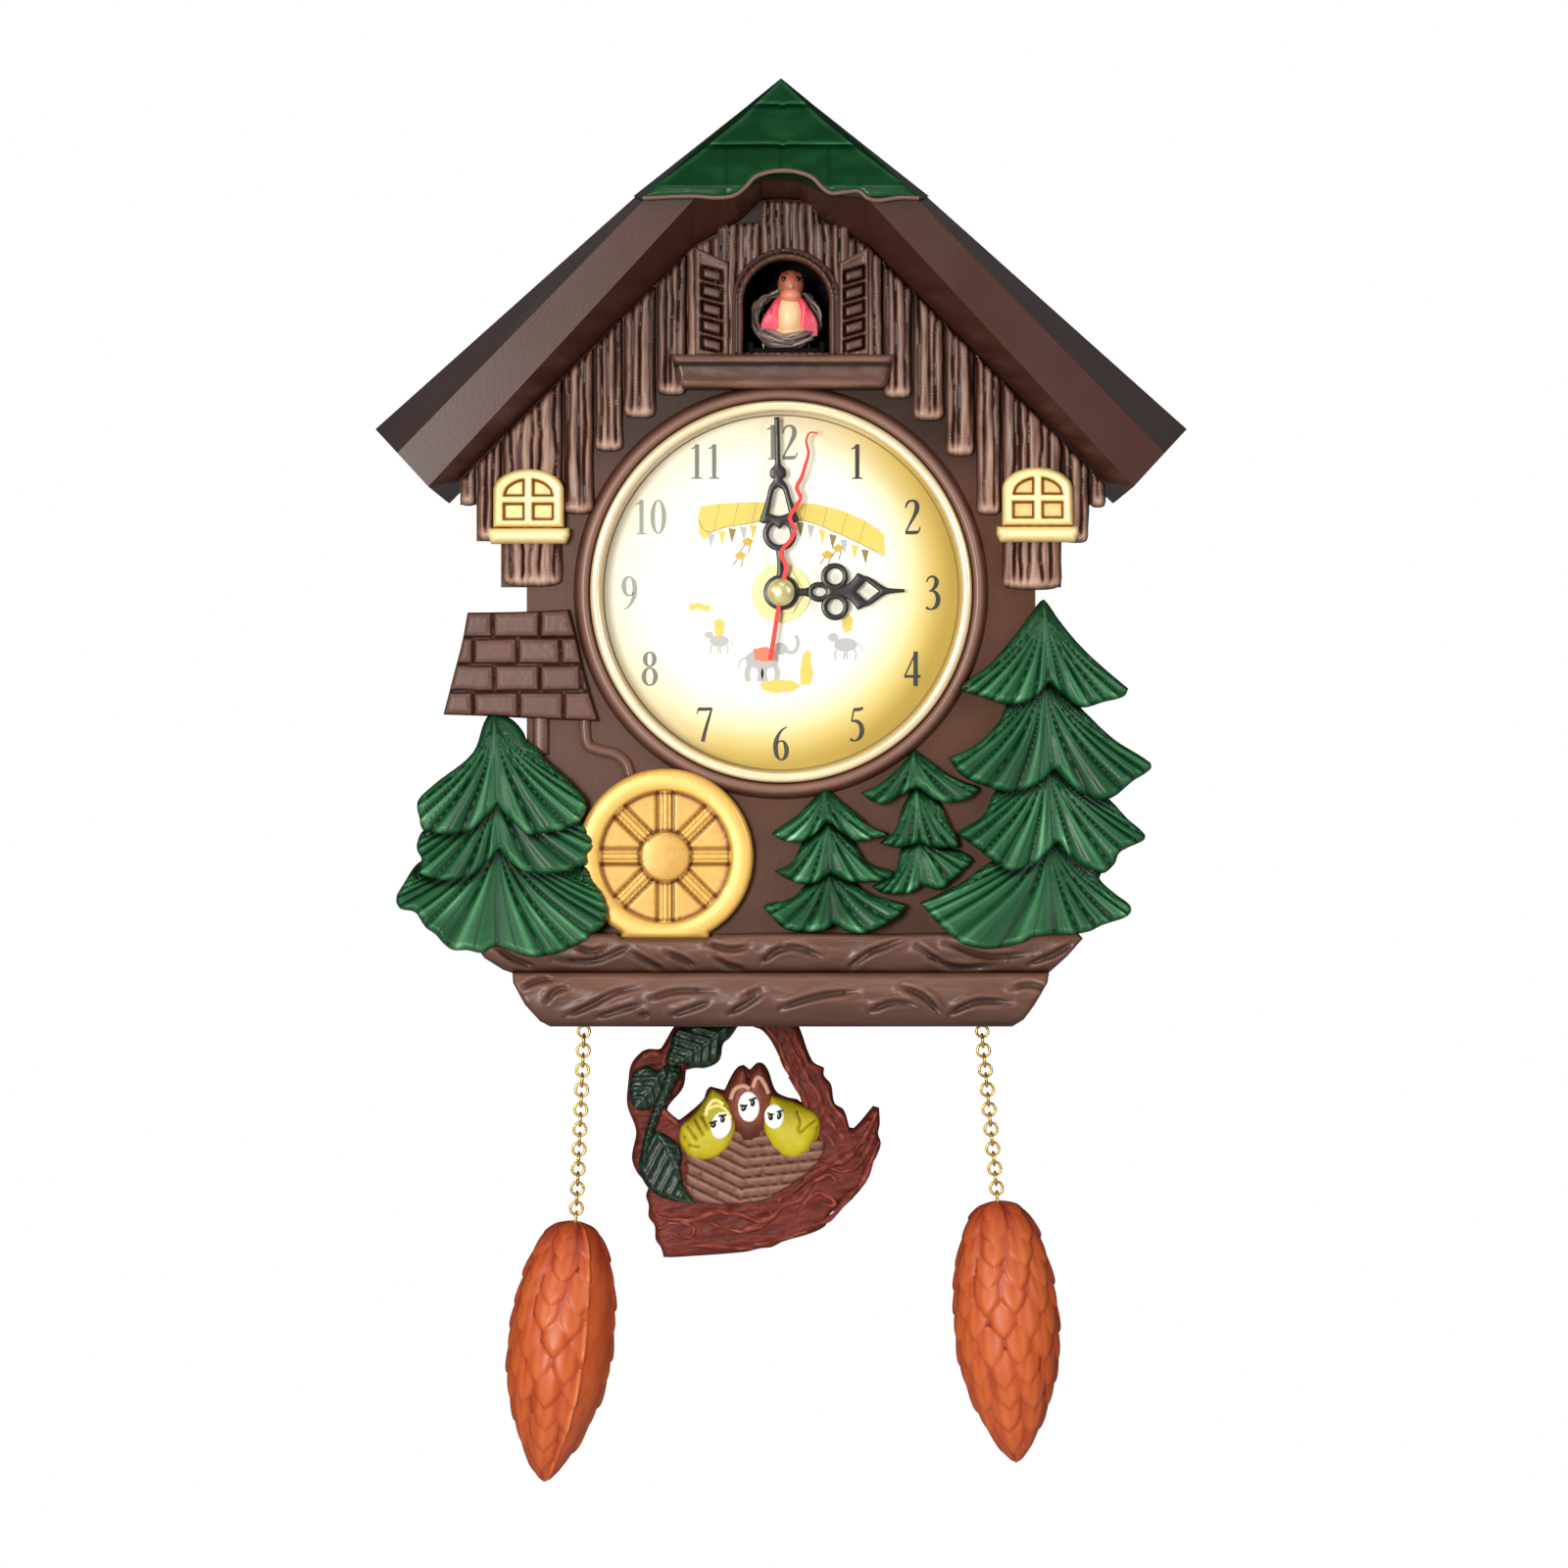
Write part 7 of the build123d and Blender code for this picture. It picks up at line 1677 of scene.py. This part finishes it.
# bark ridges: raised, lighter than the bark between them
ridges = [
    ([(395, 850), (380, 900), (430, 925), (560, 930), (640, 905), (740, 908), (860, 935), (908, 912), (880, 885), (845, 880)], 9),
    ([(400, 975), (470, 945), (560, 985), (550, 1005), (440, 990)], 8), ([(630, 945), (700, 975), (790, 980), (880, 945), (960, 870), (1040, 830), (1100, 760), (1160, 735), (1210, 770)], 9),
    ([(930, 850), (1010, 800), (1090, 730), (1180, 690), (1250, 650), (1300, 590), (1345, 520), (1368, 455)], 10),
    ([(1000, 935), (1060, 850), (1110, 815), (1180, 870), (1130, 860)], 8), ([(1080, 960), (1160, 930), (1230, 850), (1300, 780), (1340, 690), (1380, 590)], 9),
    ([(1150, 700), (1230, 720), (1290, 690), (1330, 620), (1362, 560)], 8), ([(430, 1065), (560, 1050), (760, 1058), (900, 1030), (1060, 985)], 8),
    ([(880, 78), (930, 150), (970, 250), (1030, 350), (1070, 450), (1100, 540), (1150, 600)], 10), ([(945, 72), (1000, 180), (1050, 280), (1110, 380), (1150, 480), (1210, 560), (1245, 610)], 10),
    ([(1000, 80), (1030, 170), (1065, 240), (1125, 268)], 9), ([(980, 300), (1060, 420), (1090, 500), (1180, 600), (1200, 640)], 7), ([(1140, 340), (1170, 430), (1210, 470), (1240, 540)], 8),
    ([(330, 210), (390, 195), (420, 240), (400, 262)], 9), ([(330, 470), (380, 430), (440, 470), (500, 530)], 10), ([(590, 130), (640, 170), (655, 215), (620, 225)], 11)]
for i, (pts, wd) in enumerate(ridges):
    p3 = smooth_path(K3(pts, -16.6 if i < 8 else -16.2), 7)
    n = len(p3)
    t = np.linspace(0, 1, n)
    rad = wd * 0.067342 * 1.25 * (0.55 + 0.75 * np.sin(np.pi * np.clip(t, 0.03, 0.97)) ** 0.7) * (1 + 0.18 * np.sin(t * 21 + i))
    sweep(b, p3, rad, k=9, cav=0.55, mi=BARK, ry=1.1, noise=0.25, seed=i)

# leaves
leaf_a = [(375, 535), (335, 610), (312, 690), (335, 765), (385, 820), (470, 850), (560, 858), (515, 790), (500, 715), (505, 640), (480, 590), (430, 552)]
leaf_b = [(280, 300), (300, 268), (350, 250), (395, 268), (440, 245), (500, 250), (505, 300), (470, 340), (455, 395), (400, 425), (345, 450), (290, 445), (272, 380)]
leaf_c = [(470, 95), (530, 72), (640, 68), (745, 72), (722, 112), (684, 150), (672, 205), (640, 248), (560, 258), (500, 242), (452, 262), (432, 222), (450, 165)]
leaf_d = [(440, 260), (500, 275), (480, 330), (430, 420), (390, 520), (360, 620), (345, 700), (322, 690), (330, 590), (360, 480), (400, 370)]


def leaf_fn(p, q, nv, depth):
    (ax, az), (bx, bz) = K([p])[0], K([q])[0]
    L = math.hypot(bx - ax, bz - az)
    dx, dz = (bx - ax) / L, (bz - az) / L

    def fn(x, z, d):
        u = (x - ax) * dx + (z - az) * dz
        v = -(x - ax) * dz + (z - az) * dx
        mid = bell(v, 0.6 * np.sin(u / L * 3), 0.5)
        vein = 0.5 + 0.5 * np.cos(2 * np.pi * (u - np.abs(v) * 0.8) / (L / nv))
        h = 1.6 * rnd(d, 2.0) + 0.45 * vein ** 3 * rnd(d, 1.0) + 0.45 * mid + 0.2 * fbm(x / 1.5, z / 1.5, 5)
        # darker rim where the leaf meets the bark: painted shade
        return depth - 1.2 - 0.8 * h + 0.5 * (1 - rnd(d, 0.8)), 0.30 + 0.34 * vein ** 6 + 0.28 * mid - 0.3 * (1 - rnd(d, 0.8)) + 0.14 * fbm(x, z, 9)
    return fn


for lf, p, q, nv, dp in ((leaf_a, (400, 540), (540, 850), 6, -16.0), (leaf_b, (420, 260), (300, 430), 4, -15.8), (leaf_c, (700, 80), (470, 240), 6, -15.8), (leaf_d, (460, 260), (335, 700), 9, -17.0)):
    relief(b, K(lf), leaf_fn(p, q, nv, dp), -12.0, cell=0.5, r=1.4, rings=(0.1, 0.3, 0.7), mi=LEAF, sharp=60)
for i, (a_, c_) in enumerate(((520, 130), (585, 105), (640, 95), (500, 190), (560, 205), (615, 240), (330, 300), (300, 370), (380, 300), (350, 380), (420, 620), (450, 700), (390, 700), (430, 770))):
    x, z = K([(a_, c_)])[0]
    ang = 40 + 50 * math.sin(i * 2.1)
    p0, p1 = (x - 1.7 * math.cos(math.radians(ang)), z - 1.7 * math.sin(math.radians(ang))), (x + 1.7 * math.cos(math.radians(ang)), z + 1.7 * math.sin(math.radians(ang)))
    sweep(b, smooth_path([(p0[0], -17.4, p0[1]), (x + 0.3, -17.9, z), (p1[0], -17.3, p1[1])], 5), [0.12, 0.2, 0.26, 0.3, 0.32, 0.34, 0.32, 0.3, 0.26, 0.2, 0.12], k=8, cav=0.85, mi=LEAF)
sweep(b, smooth_path(K3([(470, 262), (420, 380), (365, 500), (335, 620), (350, 720), (410, 800), (480, 840), (560, 856)], -18.0), 7), 0.42, k=8, cav=0.62, mi=LEAF)


def owl(outl, front, mi, groove=None, top=None, seed=0):
    G = [smooth_path(K(g), 6) for g in (groove or [])]

    def fn(x, z, d):
        P = np.column_stack([x, z])
        gd, al = stroke_field(P, G) if G else (np.full(len(P), 99.0), np.zeros(len(P)))
        g = np.exp(-(gd / 0.33) ** 2)
        dm = rnd(d, 4.2)
        tz, tx = K([top])[0][1], K([top])[0][0]
        shade = sstep(9.5, 2.0, np.hypot(x - tx, (z - tz)))
        # darker grooves, rim and the patch round the top point: painted shade
        return front + 3.6 * (1 - dm) + 0.55 * g, 0.58 - 0.5 * (1 - rnd(d, 1.3)) - 0.45 * g - 0.34 * shade + 0.1 * fbm(x / 2, z / 2, seed)
    relief(b, K(outl), fn, -12.0, cell=0.45, r=4.0, rings=(0.03, 0.1, 0.22, 0.4, 0.65), mi=mi, sharp=58)


owl([(700, 402), (716, 345), (745, 292), (778, 255), (800, 300), (850, 242), (882, 290), (903, 350), (916, 410), (895, 480), (872, 550), (820, 604), (765, 585), (730, 520), (706, 460)],
    -19.3, RED, [[(725, 395), (748, 345), (790, 335)], [(820, 330), (850, 300), (885, 360)], [(800, 300), (800, 335), (806, 350)]], top=(800, 600), seed=3)
owl([(492, 562), (505, 512), (560, 462), (604, 400), (640, 352), (692, 388), (728, 448), (746, 520), (722, 600), (670, 652), (604, 672), (540, 655), (503, 612)],
    -20.0, YEL, [[(510, 560), (540, 600), (580, 610)], [(530, 520), (570, 575)], [(560, 485), (600, 555)], [(590, 470), (620, 530)]], top=(560, 420), seed=5)
owl([(862, 505), (876, 440), (898, 382), (960, 395), (1040, 425), (1104, 468), (1120, 520), (1096, 600), (1046, 652), (980, 662), (920, 628), (880, 570)],
    -20.0, YEL, [[(1015, 455), (1030, 500), (1025, 540), (1065, 515), (1100, 490)], [(1108, 520), (1085, 590), (1040, 640)]], top=(1000, 400), seed=7)


def spot(c, rx, rz, tilt, y0, y1, mi, cav=0.55):
    a = math.radians(tilt)
    pts = []
    for i in range(26):
        t = 2 * math.pi * i / 26
        u, v = rx * math.cos(t), rz * math.sin(t)
        pts.append((c[0] + u * math.cos(a) - v * math.sin(a), c[1] + u * math.sin(a) + v * math.cos(a)))

    def fn(x, z, d):
        return y1 + (y0 - y1) * (1 - rnd(d, min(rx, rz) * 0.067342 * 0.8)), cav + 0 * x
    relief(b, K(pts), fn, y0 + 1.2, cell=0.4, r=min(rx, rz) * 0.067342 * 0.8, rings=(0.1, 0.4, 0.8), mi=mi, smooth=False)


spot((680, 512), 46, 62, 14, -19.9, -20.9, WHT)
spot((802, 430), 48, 68, -2, -19.3, -20.3, WHT)
spot((915, 473), 44, 55, 0, -19.9, -20.9, WHT)
for c, rx, rz, tl, y in (((646, 510), 12, 14, 30, -20.7), ((686, 486), 11, 15, 10, -20.9), ((780, 436), 12, 16, 30, -20.2), ((819, 414), 11, 16, 10, -20.2), ((899, 476), 11, 15, -10, -20.9), ((937, 470), 10, 18, 20, -20.8)):
    spot(c, rx, rz, tl, y, y - 0.45, BLK)
# slanted lids over the eyes, brow feathers
for pts, y, mi_, w_ in (([(628, 502), (660, 492)], -21.0, BLK, 0.32), ([(668, 470), (702, 466)], -21.1, BLK, 0.32), ([(762, 424), (796, 424)], -20.5, BLK, 0.32), ([(802, 402), (836, 390)], -20.5, BLK, 0.32),
                   ([(884, 458), (912, 464)], -21.1, BLK, 0.3), ([(926, 452), (952, 446)], -21.1, BLK, 0.3)):
    sweep(b, smooth_path(K3(pts, y), 4), w_, k=7, cav=0.5, mi=mi_)
for pts, y, mi_, w_ in (([(722, 398), (742, 352), (782, 338), (806, 352)], -19.2, RED, 0.75), ([(820, 345), (846, 300), (872, 330), (890, 372)], -19.2, RED, 0.75), ([(612, 470), (622, 430), (652, 400), (690, 420)], -19.6, YEL, 0.7),
                        ([(622, 440), (664, 425), (704, 448), (722, 480)], -20.0, YEL, 0.55)):
    sweep(b, smooth_path(K3(pts, y), 6), w_, k=9, cav=0.98, mi=mi_)
bob = b.make("pendulum_bob_relief", [M["bob_bark"], M["bob_weave"], M["bob_leaf"], M["bob_yellow"], M["bob_red"], M["paint_white"], M["paint_black"]],
             body="pendulum", slot="bob_paint", angle=62, replaces=["pendulum_bob"])

# ------------------------------------------------------------------ bird and nest
b = Build()
PK, OR, CR, BK = range(4)
ball(b, (2.5, -37.6, -28.6), (4.7, 4.6, 6.9), nu=36, nv=24, cav=0.55, mi=CR)
ball(b, (2.7, -37.4, -33.2), (5.6, 4.4, 2.9), nu=36, nv=20, cav=0.4, mi=CR)
for s in (-1, 1):
    for k in range(5):
        t = k / 4.0
        sx = 2.5 + s * (3.1 + 0.4 * t)
        ex = 2.5 + s * (3.6 + 3.3 * (1 - t) + 0.5)
        path = smooth_path([(sx - s * 0.6, -38.6 - 0.9 * t, -22.8 - 0.5 * t), (2.5 + s * (4.5 - 0.2 * t), -39.8 - 0.9 * t, -26.0), (ex, -39.6 - 0.7 * t, -30.8), (ex + s * 0.5, -38.6 - 0.8 * t, -34.4 + 0.3 * t)], 6)
        n = len(path)
        rr_ = np.interp(np.linspace(0, 1, n), [0, 0.25, 0.7, 1], [0.7, 1.15, 1.0, 0.4])
        sweep(b, path, rr_, k=12, cav=np.interp(np.linspace(0, 1, n), [0, 0.5, 1], [0.45, 0.6, 0.8]), mi=PK, noise=0.12, seed=k)
ball(b, (2.9, -38.6, -19.2), (3.9, 3.9, 4.3), nu=40, nv=26, cav=0.5, mi=OR)
ball(b, (2.9, -39.4, -22.4), (3.3, 3.2, 2.5), nu=30, nv=18, cav=0.72, mi=OR)
sweep(b, smooth_path([(2.9, -41.8, -19.7), (2.9, -43.0, -20.1), (2.9, -43.9, -20.7)], 5), [1.15, 1.1, 1.0, 0.9, 0.8, 0.68, 0.55, 0.42, 0.3, 0.18, 0.08], k=14, cav=0.85, mi=OR, ry=0.8)
for s in (-1, 1):
    ball(b, (2.9 + s * 2.0, -41.7, -17.8), (0.75, 0.5, 0.8), nu=18, nv=12, mi=BK)
    sweep(b, smooth_path([(2.9 + s * 1.1, -41.8, -16.4), (2.9 + s * 2.2, -41.4, -16.1), (2.9 + s * 3.0, -40.7, -17.0)], 5), 0.4, k=8, cav=0.2, mi=OR)
b.make("bird_figure", [M["pink_paint"], M["orange_head"], M["cream_belly"], M["paint_black"]], body="bird_unit", slot="bird_paint", angle=60, replaces=["bird"])

b = Build()
rs = np.random.RandomState(7)
for k in range(34):
    a0 = rs.uniform(0, 2 * math.pi)
    span = rs.uniform(1.6, 3.6)
    r0x, r0z = rs.uniform(8.3, 10.3), rs.uniform(7.4, 9.2)
    yc = rs.uniform(-37.4, -32.5)
    pts = []
    for t in np.linspace(0, 1, 15):
        a = a0 + span * t
        wv = 0.35 * math.sin(5 * t * math.pi + k) + 0.25 * math.sin(11 * t + k * 2)
        pts.append((1.5 + (r0x + wv) * math.cos(a), yc + 0.9 * math.sin(4 * t * math.pi + k * 1.7), -29.2 + (r0z + wv) * math.sin(a)))
    n = len(pts)
    sweep(b, pts, np.interp(np.linspace(0, 1, n), [0, 0.15, 0.85, 1], [0.18, 0.52, 0.5, 0.15]), k=8, cav=rs.uniform(0.25, 0.85), noise=0.15, seed=k)
for k in range(20):
    # loose twigs across the front of the nest
    x0, x1 = 1.5 - rs.uniform(5.0, 8.4), 1.5 + rs.uniform(5.0, 8.4)
    zm, yc = rs.uniform(-37.6, -34.6), rs.uniform(-43.0, -41.6)
    tl = rs.uniform(-0.9, 0.9)
    pts = []
    for t in np.linspace(0, 1, 13):
        sag = 2.2 * (2 * t - 1) ** 2
        pts.append((x0 + (x1 - x0) * t, yc + 2.6 * (2 * t - 1) ** 2 + 0.3 * math.sin(9 * t + k), zm + sag + tl * (t - 0.5) + 0.28 * math.sin(11 * t + 2 * k)))
    sweep(b, pts, np.interp(np.linspace(0, 1, 13), [0, 0.15, 0.85, 1], [0.16, 0.5, 0.48, 0.14]), k=8, cav=rs.uniform(0.3, 0.9), noise=0.15, seed=60 + k)
revolve(b, [(7.6, -31.0), (8.2, -30.0), (9.4, -30.0), (9.6, -33.0), (9.0, -35.6), (8.0, -35.6), (7.5, -33.5)], 1.5, -29.2, n=60, cav=0.25)
b.make("nest_twigs", M["nest_paint"], body="bird_unit", slot="nest_paint", angle=60, replaces=["nest"])

# ------------------------------------------------------------------ pieces that keep their own shape
# bird rail and carriage take the near-black painted shade of the chamber
for node, mt in (("chain_left", "brass"), ("chain_right", "brass"), ("chain_eyes", "brass"), ("cone_eye_left", "brass"), ("cone_eye_right", "brass"), ("movement_nut", "brass_pale"),
                 ("movement_case", "black_plastic"), ("setting_knob", "black_plastic"), ("movement_battery", "battery_jacket"), ("pendulum_drive", "black_plastic"),
                 ("pendulum_rod", "brass"), ("pendulum_magnet", "steel"), ("bird_rail", "painted_shade_dark"), ("bird_solenoid", "steel"), ("bird_carriage", "painted_shade_dark"),
                 ("chime_battery_box", "black_plastic"), ("chime_batteries", "battery_jacket"), ("speaker", "black_plastic"), ("circuit_board", "board_green"),
                 ("switch_body", "black_plastic"), ("mode_switch", "switch_white")):
    keep(node, mt)



# ------------------------------------------------------------------ light and surroundings
def area(name, loc, target, size, size_y, power, color=(1, 1, 1)):
    l = bpy.data.lights.new(name, "AREA")
    l.shape = "RECTANGLE"
    l.size, l.size_y, l.energy, l.color = size, size_y, power, color
    o = bpy.data.objects.new(name, l)
    scene.collection.objects.link(o)
    o.location = loc
    o.rotation_euler = (Vector(target) - Vector(loc)).to_track_quat("-Z", "Y").to_euler()
    o.visible_camera = False
    return o


area("key", (-0.52, -1.85, -0.08), (0.0, -0.03, -0.15), 0.4, 0.5, 29.0, (1.0, 0.975, 0.94))
area("side_left", (-1.0, -0.9, 0.3), (0.0, -0.03, -0.15), 0.5, 0.5, 5.0)
area("fill_right", (1.1, -1.1, 0.25), (0.0, -0.03, -0.16), 0.5, 0.5, 7.0)
area("top", (0.1, -1.0, 0.95), (0.0, -0.03, -0.16), 0.5, 0.4, 4.0)

w = bpy.data.worlds.new("world")
scene.world = w
w.use_nodes = True
nt = w.node_tree
bg = nt.nodes["Background"]
bg.inputs[0].default_value = (1, 1, 1, 1)
lp = nt.nodes.new("ShaderNodeLightPath")
mr = nt.nodes.new("ShaderNodeMapRange")
mr.inputs["To Min"].default_value = 0.24
mr.inputs["To Max"].default_value = 1.0
mg = nt.nodes.new("ShaderNodeMapRange")
mg.inputs["To Min"].default_value = 0.24
mg.inputs["To Max"].default_value = 0.10
nt.links.new(lp.outputs["Is Glossy Ray"], mg.inputs["Value"])
nt.links.new(mg.outputs[0], mr.inputs["To Min"])
nt.links.new(lp.outputs["Is Camera Ray"], mr.inputs["Value"])
nt.links.new(mr.outputs[0], bg.inputs["Strength"])
scene.view_settings.view_transform = "Standard"

# pale floor far below, outside the picture
me = bpy.data.meshes.new("floor")
S = 1.6
me.from_pydata([(-S, -S, -0.86), (S, -S, -0.86), (S, S, -0.86), (-S, S, -0.86)], [], [(0, 1, 2, 3)])
fl = bpy.data.objects.new("floor", me)
scene.collection.objects.link(fl)
fl.data.materials.append(material("floor_pale", [(0.2, (224, 224, 222)), (0.5, (232, 232, 230)), (0.8, (240, 240, 238))], rough=(0.7, 0.85), cavity=False, mscale=6))

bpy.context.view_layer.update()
